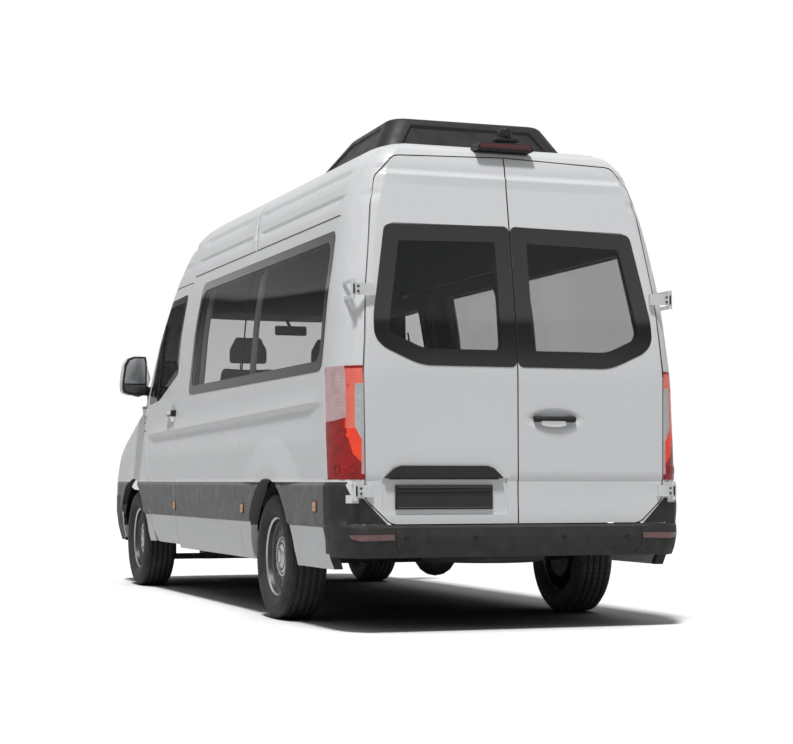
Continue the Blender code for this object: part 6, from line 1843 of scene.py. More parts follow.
@dataclass
class Mirrors:
    """Outer mirrors: painted cap, black frame, two glasses, indicator and arm."""

    outline: tuple[Flat, ...] = ((0.990, 1.404), (1.100, 1.401), (1.158, 1.412), (1.170, 1.440), (1.168, 1.500),
                                 (1.154, 1.620), (1.132, 1.662), (1.090, 1.679), (0.998, 1.679), (0.990, 1.640))
    rear: float = 1.592
    front: float = 1.784

    def build(self) -> None:
        """Build both mirrors."""
        for side in (1, -1):
            self.head(side)
            self.glasses(side)
            self.arm(side)
            LOG.info("mirror %s", word(side))

    def ring(self, shrink: float, side: int, x: float, low: float = 0.0, high: float = 9.0) -> list[Point]:
        """Give the head's outline, shrunk about its middle and limited in height.

        Args:
            shrink: Distance by which it shrinks.
            side: 1 for left, -1 for right.
            x: Place along the van.
            low: Lowest height kept.
            high: Highest height kept.

        Returns:
            The outline's points.
        """
        middle_y, middle_z = 1.082, 1.540
        points = []
        for y, z in self.outline:
            new_y = y + math.copysign(min(shrink, abs(middle_y - y)), middle_y - y)
            new_z = z + math.copysign(min(shrink, abs(middle_z - z)), middle_z - z)
            points.append((x, new_y * side, min(max(new_z, low), high)))
        return points

    def head(self, side: int) -> None:
        """Build the painted cap and the black frame round the glasses.

        Args:
            side: 1 for left, -1 for right.
        """
        work = bmesh.new()
        loops = []
        for x, shrink in ((self.rear + 0.022, 0.004), (self.rear + 0.036, 0.0), (1.700, 0.002), (1.745, 0.012),
                          (1.770, 0.032), (self.front, 0.064)):
            verts = [work.verts.new(point) for point in self.ring(shrink, side, x)]
            loops.append([work.edges.new((verts[n - 1], verts[n])) for n in range(len(verts))])
            if x in (self.rear + 0.022, self.front):
                work.faces.new(verts)
        for near, far in zip(loops, loops[1:]):
            bmesh.ops.bridge_loops(work, edges=near + far)
        bmesh.ops.recalc_face_normals(work, faces=work.faces[:])
        bmesh.ops.subdivide_edges(work, edges=[edge for edge in work.edges], cuts=1, use_grid_fill=True, smooth=0.6)
        Shape.cut_across(work, 2, [1.462], 0.0001)
        for face in work.faces:
            middle = face.calc_center_median()
            if middle.z < 1.462:
                face.material_index = 1
            if middle.z < 1.49 and middle.y * side > 1.140:
                face.material_index = 2
        Shape.piece(f"mirror_cap_{word(side)}", work, f"door_front_{word(side)}", Slot.PAINT, PAINT, BLACK,
                    CLEAR_LENS, replaces=[f"mirror_{word(side)}"], limit=40.0)
        rim = Shape.plate(self.ring(0.0005, side, self.rear + 0.006), (0.022, 0.0, 0.0), 0.003, 2)
        Shape.piece(f"mirror_frame_{word(side)}", rim, f"door_front_{word(side)}", Slot.CHARCOAL, BLACK)

    def glasses(self, side: int) -> None:
        """Build the tall flat glass and the low wide-angle glass.

        Args:
            side: 1 for left, -1 for right.
        """
        upper = Shape.plate(self.ring(0.014, side, self.rear + 0.0015, 1.482), (0.006, 0.0, 0.0), 0.0012, 2)
        Shape.piece(f"mirror_glass_{word(side)}", upper, f"door_front_{word(side)}", Slot.GLASS, MIRROR)
        lower = Shape.plate(self.ring(0.014, side, self.rear + 0.0020, 0.0, 1.472), (0.006, 0.0, 0.0), 0.0012, 2)
        Shape.piece(f"wide_glass_{word(side)}", lower, f"door_front_{word(side)}", Slot.GLASS, MIRROR_DARK)

    def arm(self, side: int) -> None:
        """Build the arm, its hinge and its foot on the door.

        Args:
            side: 1 for left, -1 for right.
        """
        route = [(1.690, side * (1.000 - 0.012 * step), 1.434 - 0.0010 * step) for step in range(7)]
        arm = Shape.sweep(route, 0.034, 14, 0.62)
        near, far = sorted((side * 0.934, side * 0.958))
        foot = Shape.block((1.600, near, 1.352), (1.742, far, 1.462), 0.010, 3)
        hinge = Shape.turned([(0.0, -0.030), (0.021, -0.030), (0.025, -0.026), (0.025, 0.026), (0.021, 0.030),
                              (0.0, 0.030)], (1.690, side * 0.985, 1.430), (0.0, 0.0, 1.0), 24)
        Shape.piece(f"mirror_arm_{word(side)}", Shape.merge(arm, foot, hinge), f"door_front_{word(side)}",
                    Slot.CHARCOAL, BLACK)


# Wheels


@dataclass(frozen=True)
class Axis:
    """Where a wheel turns and which way its outer face looks."""

    centre: Point
    out: Point
    body: str
    name: str
    nodes: tuple[str, ...]
    radius: float = 0.3495


@dataclass
class Wheels:
    """Road wheels and the spare: tyre with tread blocks, rim, disc with sunk vent slots coloured black as painted
    shade, and cap.
    """

    steps: int = 72
    places: tuple[tuple[str, float, float], ...] = (
        ("front_left", 1.961, 1.0), ("front_right", 1.961, -1.0), ("rear_left", -1.704, 1.0),
        ("rear_right", -1.704, -1.0))
    half_track: float = 0.868

    def build(self) -> None:
        """Build the four road wheels and the spare."""
        for name, x, side in self.places:
            axis = Axis((x, side * self.half_track, 0.350), (0.0, side, 0.0), f"wheel_{name}", name,
                        (f"tyre_{name}", f"wheel_{name}"))
            self.tyre(axis)
            self.rim(axis)
            self.disc(axis)
            self.cap(axis)
            LOG.info("wheel %s", name)
        low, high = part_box("spare_wheel")
        middle = tuple((a + b) / 2 for a, b in zip(low, high))
        spare = Axis(middle, (0.0, 0.0, -1.0), "body", "spare", ("spare_wheel",), 0.3445)
        self.tyre(spare)
        self.rim(spare)
        self.disc(spare)

    @staticmethod
    def arm(axis: Axis, point: Vector) -> tuple[Vector, float]:
        """Split a point's place on a wheel.

        Args:
            axis: Place of the wheel.
            point: The point.

        Returns:
            Its arm square to the axle, and its distance along the axle from the middle.
        """
        arm, out = point - Vector(axis.centre), Vector(axis.out)
        return arm - out * arm.dot(out), arm.dot(out)

    def tyre(self, axis: Axis) -> None:
        """Spin a tyre and raise its tread blocks.

        Args:
            axis: Place of the wheel.
        """
        top = axis.radius - 0.0048
        half = [(0.2140, 0.070), (0.2150, 0.0800), (0.2250, 0.0875), (0.2290, 0.0925), (0.2340, 0.0960),
                (0.2440, 0.1040), (0.2580, 0.1105), (0.2740, 0.1150), (0.2765, 0.1158), (0.2790, 0.1150),
                (0.2960, 0.1160), (0.3120, 0.1135), (0.3240, 0.1085), (0.3255, 0.1092), (0.3270, 0.1070),
                (0.3350, 0.1010), (top - 0.0030, 0.0945), (top, 0.0860), (top + 0.0012, 0.0620),
                (top - 0.0035, 0.0600), (top - 0.0035, 0.0530), (top + 0.0016, 0.0510), (top + 0.0020, 0.0250),
                (top - 0.0030, 0.0235), (top - 0.0030, 0.0165), (top + 0.0022, 0.0150)]
        profile = half + [(radius, -along) for radius, along in reversed(half)]
        profile.append(profile[0])
        work = Shape.turned(profile, axis.centre, axis.out, self.steps)
        blocks = []
        for face in work.faces:
            arm, along = self.arm(axis, face.calc_center_median())
            if arm.length > top - 0.0025 and not 0.0520 < abs(along) < 0.0610 and not 0.0155 < abs(along) < 0.0245:
                blocks.append(face)
        bmesh.ops.inset_individual(work, faces=blocks, thickness=0.0022, depth=0.0, use_even_offset=True)
        moved = {vert for face in blocks for vert in face.verts}
        for vert in moved:
            vert.co += self.arm(axis, vert.co)[0].normalized() * 0.0028
        Shape.piece(f"tyre_{axis.name}_tread", work, axis.body, Slot.RUBBER, RUBBER, replaces=axis.nodes[:1],
                    limit=36.0)

    def rim(self, axis: Axis) -> None:
        """Spin the steel rim.

        Args:
            axis: Place of the wheel.
        """
        outer = [(0.2225, 0.0840), (0.2200, 0.0790), (0.2135, 0.0770), (0.2110, 0.0560), (0.1990, 0.0440),
                 (0.1990, 0.0), (0.2110, -0.0560), (0.2135, -0.0770), (0.2200, -0.0790), (0.2225, -0.0840)]
        inner = [(0.2200, -0.0865), (0.2165, -0.0845), (0.2085, -0.0800), (0.2060, -0.0550), (0.1940, -0.0010),
                 (0.1940, 0.0430), (0.2060, 0.0570), (0.2085, 0.0800), (0.2165, 0.0845), (0.2200, 0.0865)]
        profile = outer + inner + outer[:1]
        work = Shape.turned(profile, axis.centre, axis.out, self.steps)
        for face in work.faces:
            arm, along = self.arm(axis, face.calc_center_median())
            face.material_index = 0 if arm.length > 0.2075 and abs(along) > 0.079 else 1
        replaced = axis.nodes[1:]
        Shape.piece(f"rim_{axis.name}", work, axis.body, Slot.STEEL, SILVER, WHEEL, replaces=replaced)

    def disc(self, axis: Axis) -> None:
        """Spin the wheel disc and sink its ring of vent slots, coloured black as painted shade for the dark seen
        through vent holes.

        Args:
            axis: Place of the wheel.
        """
        front = [(0.1975, 0.0410), (0.1900, 0.0480), (0.1830, 0.0500), (0.1660, 0.0480), (0.1500, 0.0470),
                 (0.1360, 0.0400), (0.1280, 0.0370), (0.1200, 0.0380), (0.1120, 0.0470), (0.1000, 0.0500),
                 (0.0340, 0.0500), (0.0340, 0.0440)]
        back = [(0.0980, 0.0440), (0.1080, 0.0410), (0.1180, 0.0320), (0.1290, 0.0310), (0.1380, 0.0345),
                (0.1510, 0.0410), (0.1660, 0.0420), (0.1820, 0.0440), (0.1880, 0.0425), (0.1950, 0.0350)]
        profile = front + back + front[:1]
        work = Shape.turned(profile, axis.centre, axis.out, self.steps)
        centre, out = Vector(axis.centre), Vector(axis.out)
        side = out.orthogonal().normalized()
        shade_painted_slots = []
        for face in work.faces:
            arm, along = self.arm(axis, face.calc_center_median())
            angle = math.atan2(arm.cross(side).dot(out), arm.dot(side)) / math.tau * self.steps
            if 0.150 < arm.length < 0.167 and along > 0.0445 and int(angle // 1) % 4 == 0:
                shade_painted_slots.append(face)
        bmesh.ops.inset_individual(work, faces=shade_painted_slots, thickness=0.0018, depth=0.0)
        sunk = bmesh.ops.inset_individual(work, faces=shade_painted_slots, thickness=0.0008, depth=-0.0045)
        # The sunk slot faces are coloured black: painted shade standing for the dark seen through real vent holes.
        for face in shade_painted_slots + sunk["faces"]:
            face.material_index = 1
        Shape.piece(f"disc_{axis.name}", work, axis.body, Slot.STEEL, WHEEL, BLACK)
        if axis.name == "spare":
            return
        bolts = []
        for step in range(6):
            turn = Matrix.Rotation(math.tau * step / 6, 3, out)
            place = centre + out * 0.0365 + turn @ side * 0.1285
            bolts.append(Shape.turned([(0.0, 0.0), (0.0060, 0.0), (0.0060, 0.0035), (0.0045, 0.0050), (0.0, 0.0050)],
                                      tuple(place), axis.out, 6))
        Shape.piece(f"bolts_{axis.name}", Shape.merge(*bolts), axis.body, Slot.STEEL, SILVER)

    def cap(self, axis: Axis) -> None:
        """Spin the bright trim ring, the hub cap and the hub behind it.

        Args:
            axis: Place of the wheel.
        """
        ring = Shape.turned([(0.1020, 0.0480), (0.1170, 0.0400), (0.1180, 0.0470), (0.1130, 0.0560),
                             (0.1050, 0.0580), (0.1000, 0.0540), (0.1020, 0.0480)], axis.centre, axis.out, 64)
        Shape.piece(f"trim_ring_{axis.name}", ring, axis.body, Slot.STEEL, SILVER)
        cap = Shape.turned([(0.0, 0.0480), (0.0930, 0.0480), (0.0940, 0.0530), (0.0900, 0.0570), (0.0800, 0.0590),
                            (0.0740, 0.0560), (0.0690, 0.0600), (0.0560, 0.0690), (0.0470, 0.0725),
                            (0.0430, 0.0700), (0.0390, 0.0725), (0.0360, 0.0735), (0.0, 0.0745)],
                           axis.centre, axis.out, 64)
        for face in cap.faces:
            radius = self.arm(axis, face.calc_center_median())[0].length
            if 0.0690 < radius < 0.0800 or 0.0395 < radius < 0.0465:
                face.material_index = 1
        Shape.piece(f"hub_cap_{axis.name}", cap, axis.body, Slot.STEEL, SILVER, WHEEL)
        hub = Shape.turned([(0.0, -0.070), (0.055, -0.070), (0.060, -0.064), (0.060, 0.0), (0.050, 0.0465),
                            (0.0, 0.0465)], axis.centre, axis.out, 36)
        Shape.piece(f"hub_{axis.name}", hub, axis.body, Slot.STEEL, STEEL)


# Cab


@dataclass(frozen=True)
class Pad:
    """One padded form of a seat, with its box, crown and sewn channels."""

    name: str
    low: Point
    high: Point
    face: int
    crown: float
    channels: tuple[float, ...] = ()
    taper: float = 0.0


@dataclass
class Cab:
    """Seats, dashboard, steering wheel, mirror, shelf and pillar trims."""

    form: BodyForm
    cuts: int = 15
    channel_depth: float = 0.007
    channel_width: float = 0.10

    def build(self) -> None:
        """Build the whole cab."""
        self.seat("driver", ((0.215, 0.685),))
        self.seat("passenger", ((-0.755, -0.355), (-0.345, 0.055)))
        self.dashboard()
        self.steering_wheel()
        self.mirror_and_shelf()
        self.pillars()
        self.floor_mat()
        LOG.info("cab")

    def seat(self, name: str, places: tuple[Flat, ...]) -> None:
        """Build a seat with one or two places side by side.

        Args:
            name: Name of the seat.
            places: Lowest and highest y of each place.
        """
        node = f"seat_{name}"
        low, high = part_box(node)
        base = [Shape.block((0.775, low[1] + 0.050, low[2]), (1.185, high[1] - 0.050, 0.868), 0.018, 3)]
        for y in (low[1] + 0.045, high[1] - 0.045):
            base.append(Shape.block((0.80, y - 0.012, low[2]), (1.16, y + 0.012, 0.700), 0.005, 2))
        Shape.piece(f"seat_base_{name}", Shape.merge(*base), "body", Slot.CHARCOAL, TRIM, replaces=[node])
        for index, (inner, outer) in enumerate(places):
            middle = (inner + outer) / 2
            pads = (Pad("cushion", (0.770, inner, 0.865), (1.228, outer, 1.000), 2, 0.016, (-0.34, 0.34)),
                    Pad("backrest", (0.724, inner, 0.960), (0.842, outer, 1.558), 0, 0.014, (-0.45, 0.05, 0.50), 0.20),
                    Pad("headrest", (0.744, middle - 0.132, 1.592), (0.812, middle + 0.132, 1.776), 0, 0.010, (), 0.30))
            for pad in pads:
                self.pad(f"{pad.name}_{name}_{index}", pad)
            posts = [Shape.sweep([(0.778, middle + offset, 1.530 + 0.012 * step) for step in range(8)], 0.0055, 10)
                     for offset in (-0.055, 0.055)]
            Shape.piece(f"headrest_posts_{name}_{index}", Shape.merge(*posts), "body", Slot.STEEL, SILVER)

    def pad(self, name: str, pad: Pad) -> None:
        """Build a crowned, stuffed form with rounded sides, sewn channels and piping.

        Args:
            name: Name of the piece.
            pad: The pad's box and style.
        """
        work = bmesh.new()
        bmesh.ops.create_cube(work, size=2.0)
        bmesh.ops.subdivide_edges(work, edges=work.edges[:], cuts=self.cuts, use_grid_fill=True)
        middle = Vector([(a + b) / 2 for a, b in zip(pad.low, pad.high)])
        half = Vector([(b - a) / 2 for a, b in zip(pad.low, pad.high)])
        across, along = [axis for axis in (0, 1, 2) if axis != pad.face]
        radius = min(half) * 0.62
        for vert in work.verts:
            unit = vert.co.copy()
            inner = Vector([max(half[k] - radius, 0.0) for k in range(3)])
            point = Vector([unit[k] * half[k] for k in range(3)])
            core = Vector([min(max(point[k], -inner[k]), inner[k]) for k in range(3)])
            away = point - core
            if away.length > 1e-6:
                point = core + away.normalized() * min(away.length, radius)
            swell = (1 - unit[across] ** 2) * (1 - unit[along] ** 2)
            if abs(unit[pad.face]) > 0.3:
                point[pad.face] -= math.copysign(pad.crown * (1 - swell), unit[pad.face])
            groove = sum(math.exp(-((unit[along] - place) / self.channel_width) ** 2) for place in pad.channels)
            point[pad.face] -= math.copysign(self.channel_depth * min(groove, 1.0) * abs(unit[pad.face]) ** 4,
                                             unit[pad.face])
            pull = 0.030 * (1 - unit[across] ** 2)
            point[along] *= 1 - pull * (abs(unit[along]) ** 3)
            if pad.taper:
                rise = ease((unit[along] + 0.1) / 1.1, 0.0, 1.0)
                point[across] *= 1 - pad.taper * rise
            vert.co = middle + point
        bmesh.ops.smooth_vert(work, verts=work.verts[:], factor=0.35, use_axis_x=True, use_axis_y=True,
                              use_axis_z=True)
        thing = Shape.piece(name, work, "body", Slot.FABRIC, FABRIC, limit=70.0)
        self.piping(name, pad, middle, half)

    def piping(self, name: str, pad: Pad, middle: Vector, half: Vector) -> None:
        """Sew a welt round the side of a pad.

        Args:
            name: Name of the pad's piece.
            pad: The pad.
            middle: Its middle.
            half: Its half sizes.
        """
        across, along = (1, 2) if pad.face == 0 else (0, 1)
        route = []
        for step in range(49):
            angle = math.tau * step / 48
            point = middle.copy()
            flat = [math.copysign(abs(math.cos(angle)) ** 0.35, math.cos(angle)),
                    math.copysign(abs(math.sin(angle)) ** 0.35, math.sin(angle))]
            rise = ease((flat[1] + 0.1) / 1.1, 0.0, 1.0) if pad.taper else 0.0
            point[across] += half[across] * 0.965 * flat[0] * (1 - pad.taper * rise)
            point[along] += half[along] * 0.955 * flat[1]
            point[pad.face] += half[pad.face] * 0.35
            route.append(tuple(point))
        Shape.piece(name + "_welt", Shape.sweep(route, 0.0030, 6), "body", Slot.FABRIC, TRIM)

    def dashboard(self) -> None:
        """Dress the dashboard with its hood, screen and vents."""
        low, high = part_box("dashboard")
        work = Shape.block((low[0] + 0.004, low[1] + 0.004, low[2]), (high[0] - 0.03, high[1] - 0.004, high[2] - 0.03),
                           0.045, 5)
        Shape.piece("dashboard_body", work, "body", Slot.CHARCOAL, TRIM, replaces=["dashboard"])
        hood = Shape.block((1.395, 0.270, high[2] - 0.060), (1.600, 0.630, high[2] - 0.002), 0.026, 4)
        Shape.piece("instrument_hood", hood, "body", Slot.CHARCOAL, BLACK)
        screen = Shape.block((1.326, -0.135, 1.030), (1.345, 0.135, 1.148), 0.006, 3)
        Shape.piece("screen", screen, "body", Slot.GLASS, FRIT)
        vents = []
        for y in (-0.70, -0.21, 0.21, 0.72):
            vents.append(Shape.turned([(0.026, 0.0), (0.038, 0.0), (0.040, 0.006), (0.034, 0.010), (0.026, 0.0)],
                                      (1.338, y, 1.085), (-1.0, 0.0, 0.0), 28))
            for offset in (-0.016, 0.0, 0.016):
                vents.append(Shape.block((1.329, y - 0.028, 1.083 + offset), (1.338, y + 0.028, 1.087 + offset),
                                         0.001, 1))
        Shape.piece("air_vents", Shape.merge(*vents), "body", Slot.CHARCOAL, BLACK)

    def steering_wheel(self) -> None:
        """Build the rim, spokes, hub and column."""
        axis = Vector((-0.866025, 0.0, 0.5))
        centre = Vector((1.125192, 0.45, 1.195263))
        across = Vector((0.0, 1.0, 0.0))
        up = axis.cross(across).normalized()
        ring = [tuple(centre + (across * math.cos(math.tau * n / 48) + up * math.sin(math.tau * n / 48)) * 0.188)
                for n in range(49)]
        parts = [Shape.sweep(ring, 0.0138, 12)]
        for turn in (0.08, math.pi - 0.08, -math.pi / 2):
            way = across * math.cos(turn) + up * math.sin(turn)
            route = [tuple(centre - axis * (0.022 * (1 - n / 6)) + way * (0.045 + 0.143 * n / 6)) for n in range(7)]
            parts.append(Shape.sweep(route, 0.013, 10, 0.7))
        hub = Shape.turned([(0.0, -0.050), (0.045, -0.050), (0.062, -0.030), (0.066, -0.012), (0.056, 0.000),
                            (0.0, 0.006)], tuple(centre), tuple(axis), 32)
        parts.append(hub)
        reach = (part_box("steering_wheel")[1][0] - centre.x) / 0.866 - 0.035
        column = Shape.turned([(0.0, -reach), (0.020, -reach), (0.026, -reach + 0.03), (0.026, -0.045),
                               (0.0, -0.045)], tuple(centre), tuple(axis), 24)
        parts.append(column)
        Shape.piece("steering_wheel_rim", Shape.merge(*parts), "steering_wheel", Slot.CHARCOAL, BLACK,
                    replaces=["steering_wheel"])

    def mirror_and_shelf(self) -> None:
        """Hang the interior mirror and the shelf over the windscreen."""
        glass = Shape.block((1.235, -0.120, 1.835), (1.262, 0.120, 1.905), 0.012, 4)
        stem = Shape.sweep([(1.262 + 0.02 * n, 0.0, 1.895 + 0.013 * n) for n in range(6)], 0.012, 10)
        Shape.piece("inner_mirror", Shape.merge(glass, stem), "body", Slot.CHARCOAL, BLACK)
        outline = [(1.420, 1.960), (0.900, 1.960), (0.780, 2.000), (0.740, 2.060), (0.760, 2.130), (1.180, 2.140)]
        shelf = Shape.plate([(x, -0.70, z) for x, z in outline], (0.0, 1.40, 0.0), 0.020, 4)
        Shape.piece("over_shelf", shelf, "body", Slot.CHARCOAL, TRIM)

    def pillars(self) -> None:
        """Build the pale inner covers of the window posts."""
        for side in (1, -1):
            parts = []
            for x in (0.205, -1.060):
                width, low, high = 0.043, 1.400, 2.075
                outline = [(x - width, low + 0.012), (x - width + 0.012, low), (x + width - 0.012, low),
                           (x + width, low + 0.012), (x + width, high - 0.075), (x - width, high)]
                work = Shape.sheet((a, 0.0, b) for a, b in outline)
                Shape.cut_across(work, 2, [low + 0.042 * step for step in range(1, 17)])
                for vert in work.verts:
                    place, _ = self.form.side_at(vert.co.x, vert.co.z, side)
                    bulge = 0.012 * (1 - ((vert.co.x - x) / width) ** 2)
                    vert.co.y = place.y - side * (0.050 + bulge)
                Shape.thicken(work, (0.0, side * 0.014, 0.0))
                parts.append(work)
            Shape.piece(f"pillar_covers_{word(side)}", Shape.merge(*parts), "body", Slot.GREY, PALE_TRIM)

    def floor_mat(self) -> None:
        """Lay the ribbed load-space mat."""
        parts = [Shape.block((-2.560, -0.600, 0.6595), (0.620, 0.600, 0.6640), 0.001, 1)]
        for step in range(25):
            y = -0.576 + 0.048 * step
            parts.append(Shape.block((-2.550, y - 0.010, 0.6635), (0.610, y + 0.010, 0.6665), 0.001, 1))
        Shape.piece("floor_mat", Shape.merge(*parts), "body", Slot.GREY, FLOOR_MAT)


# Front end and underbody


@dataclass
class FrontEnd:
    """Headlamps, grille, wipers and the scuttle."""

    form: BodyForm
    skins: Skins

    def build(self) -> None:
        """Build what the van shows in front."""
        for side in (1, -1):
            self.headlamp(side)
        self.grille()
        self.wipers()
        LOG.info("front end")

    def front_at(self, y: float, z: float) -> tuple[Vector, Vector]:
        """Find the skin at the front for a place in front view."""
        return self.form.strike(Vector((4.0, y, z)), Vector((-1.0, 0.0, 0.0)))

    def headlamp(self, side: int) -> None:
        """Build a headlamp: clear cover, two reflector bowls with bulbs, and the day light strip.

        Args:
            side: 1 for left, -1 for right.
        """
        node = f"headlamp_{word(side)}"
        cover = self.skins.smooth_copy(node, 0.035)
        Shape.piece(node + "_cover", cover, "body", Slot.CLEAR, LAMP_COVER, replaces=[node], limit=30.0)
        bowls, rims = [], []
        for y, z, radius in ((0.800, 0.870, 0.062), (0.650, 0.830, 0.056)):
            place, _ = self.front_at(side * y, z)
            centre = (place.x - 0.080, side * y, z)
            bowls.append(Shape.turned([(0.0, 0.0), (radius * 0.5, 0.004), (radius * 0.85, 0.026), (radius, 0.056),
                                       (radius * 0.94, 0.056), (radius * 0.80, 0.028), (radius * 0.45, 0.012),
                                       (0.0, 0.010)], centre, (1.0, 0.0, 0.0), 36))
            rims.append(Shape.turned([(0.0, 0.012), (radius * 0.40, 0.012), (radius * 0.42, 0.030),
                                      (radius * 0.30, 0.040), (0.0, 0.044)], centre, (1.0, 0.0, 0.0), 28))
        Shape.piece(f"lamp_bowls_{word(side)}", Shape.merge(*bowls), "body", Slot.STEEL, SILVER)
        Shape.piece(f"lamp_bulbs_{word(side)}", Shape.merge(*rims), "body", Slot.CLEAR, CLEAR_LENS)
        strip = []
        for y in stations(0.560, 0.890, 14):
            place, _ = self.front_at(side * y, 0.955)
            strip.append((place.x - 0.030, side * y, 0.955))
        Shape.piece(f"day_light_{word(side)}", Shape.sweep(strip, 0.009, 10), "body", Slot.CLEAR, CLEAR_LENS)

    def grille(self) -> None:
        """Build the grille's dark body and its cross bars."""
        work = self.skins.smooth_copy("grille", 0.050)
        Shape.piece("grille_body", work, "body", Slot.CHARCOAL, BLACK, replaces=["grille"], limit=30.0)
        bars = []
        for z, reach in ((0.720, 0.400), (0.785, 0.410), (0.850, 0.415), (0.915, 0.400)):
            route = held_off((self.front_at(y, z) for y in stations(-reach, reach, 24)), 0.004)
            bars.append(Shape.sweep(route, 0.013, 10, 1.0))
        Shape.piece("grille_bars", Shape.merge(*bars), "body", Slot.CHARCOAL, CHARCOAL)
        mesh = []
        for step in range(17):
            y = -0.384 + 0.048 * step
            route = [tuple(self.front_at(y, z)[0] + Vector((0.001, 0.0, 0.0))) for z in
                     (0.700 + 0.024 * n for n in range(11))]
            mesh.append(Shape.sweep(route, 0.0032, 6))
        Shape.piece("grille_mesh", Shape.merge(*mesh), "body", Slot.GREY, CHARCOAL)
        fins = [Shape.block((2.650, -0.478, 0.670), (2.656, 0.478, 0.965), 0.001, 1)]
        for step in range(44):
            y = -0.430 + 0.020 * step
            fins.append(Shape.block((2.655, y - 0.0015, 0.680), (2.662, y + 0.0015, 0.955), 0.0, 1))
        Shape.piece("radiator_screen", Shape.merge(*fins), "body", Slot.GREY, BLACK)

    def wipers(self) -> None:
        """Lay the two wipers on the windscreen and the scuttle in front of it."""
        for index, (foot, tip) in enumerate(((0.520, -0.080), (-0.100, -0.700))):
            blade, arm = [], []
            for step in range(21):
                y = foot + (tip - foot) * step / 20
                z = 1.405 + 0.050 * math.sin(math.pi * step / 20 * 0.5)
                place, normal = self.front_at(y, z)
                blade.append(tuple(place + normal * 0.012))
            place, normal = self.front_at(foot + 0.04, 1.345)
            start = place + normal * 0.014
            end = Vector(blade[10]) + Vector((0.006, 0.0, 0.006))
            for step in range(9):
                arm.append(tuple(start.lerp(end, step / 8) + normal * (0.008 * math.sin(math.pi * step / 8))))
            pivot = Shape.turned([(0.0, -0.016), (0.018, -0.016), (0.018, 0.008), (0.013, 0.014), (0.0, 0.014)],
                                 tuple(start), tuple(normal), 20)
            Shape.piece(f"wiper_{index}", Shape.merge(Shape.sweep(blade, 0.0055, 8), Shape.sweep(arm, 0.0075, 8, 0.7),
                                                      pivot), "body", Slot.CHARCOAL, BLACK)
        route = []
        for step in range(33):
            y = -0.66 + 1.32 * step / 32
            place, normal = self.front_at(y, 1.272)
            route.append((place.x - 0.052, y, place.z + 0.010))
        Shape.piece("scuttle", Shape.sweep(route, 0.0160, 8, 0.8), "body", Slot.GREY, BLACK)


@dataclass
class Underbody:
    """Finishes of the running gear, and its small pieces."""

    finishes: tuple[tuple[str, Finish], ...] = (
        ("floor_pan", UNDERSEAL), ("rear_axle", STEEL), ("front_axle", STEEL), ("strut_left", STEEL),
        ("strut_right", STEEL), ("knuckle_left", STEEL), ("knuckle_right", STEEL), ("engine_block", STEEL),
        ("fuel_tank", BLACK), ("exhaust", EXHAUST), ("bulkhead", TRIM))

    def build(self) -> None:
        """Dress the carried-over solids and add what hangs on them."""
        for node, finish in self.finishes:
            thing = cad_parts[node]
            for slot in thing.material_slots:
                slot.material = finish.material()
        self.springs()
        self.tank_straps()
        LOG.info("underbody")

    def springs(self) -> None:
        """Wind a coil round each front strut."""
        for side in (1, -1):
            low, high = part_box(f"strut_{word(side)}")
            foot = Vector(((low[0] + high[0]) / 2, side * 0.690, low[2] + 0.06))
            head = Vector(((low[0] + high[0]) / 2, side * 0.560, high[2] - 0.05))
            rise = head - foot
            across = Vector((1.0, 0.0, 0.0))
            other = rise.normalized().cross(across)
            route = []
            for step in range(97):
                angle = math.tau * 4 * step / 96
                arm = across * math.cos(angle) + other * math.sin(angle)
                route.append(tuple(foot + rise * step / 96 + arm * 0.066))
            Shape.piece(f"coil_{word(side)}", Shape.sweep(route, 0.0070, 8), "body", Slot.STEEL, STEEL)

    def tank_straps(self) -> None:
        """Put the two straps under the fuel tank."""
        low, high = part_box("fuel_tank")
        parts = []
        for x in (low[0] + 0.20, high[0] - 0.20):
            parts.append(Shape.block((x - 0.020, low[1] + 0.010, low[2] - 0.003),
                                     (x + 0.020, high[1] - 0.010, low[2] + 0.004), 0.0012, 1))
        Shape.piece("tank_straps", Shape.merge(*parts), "body", Slot.STEEL, STEEL)


# Studio


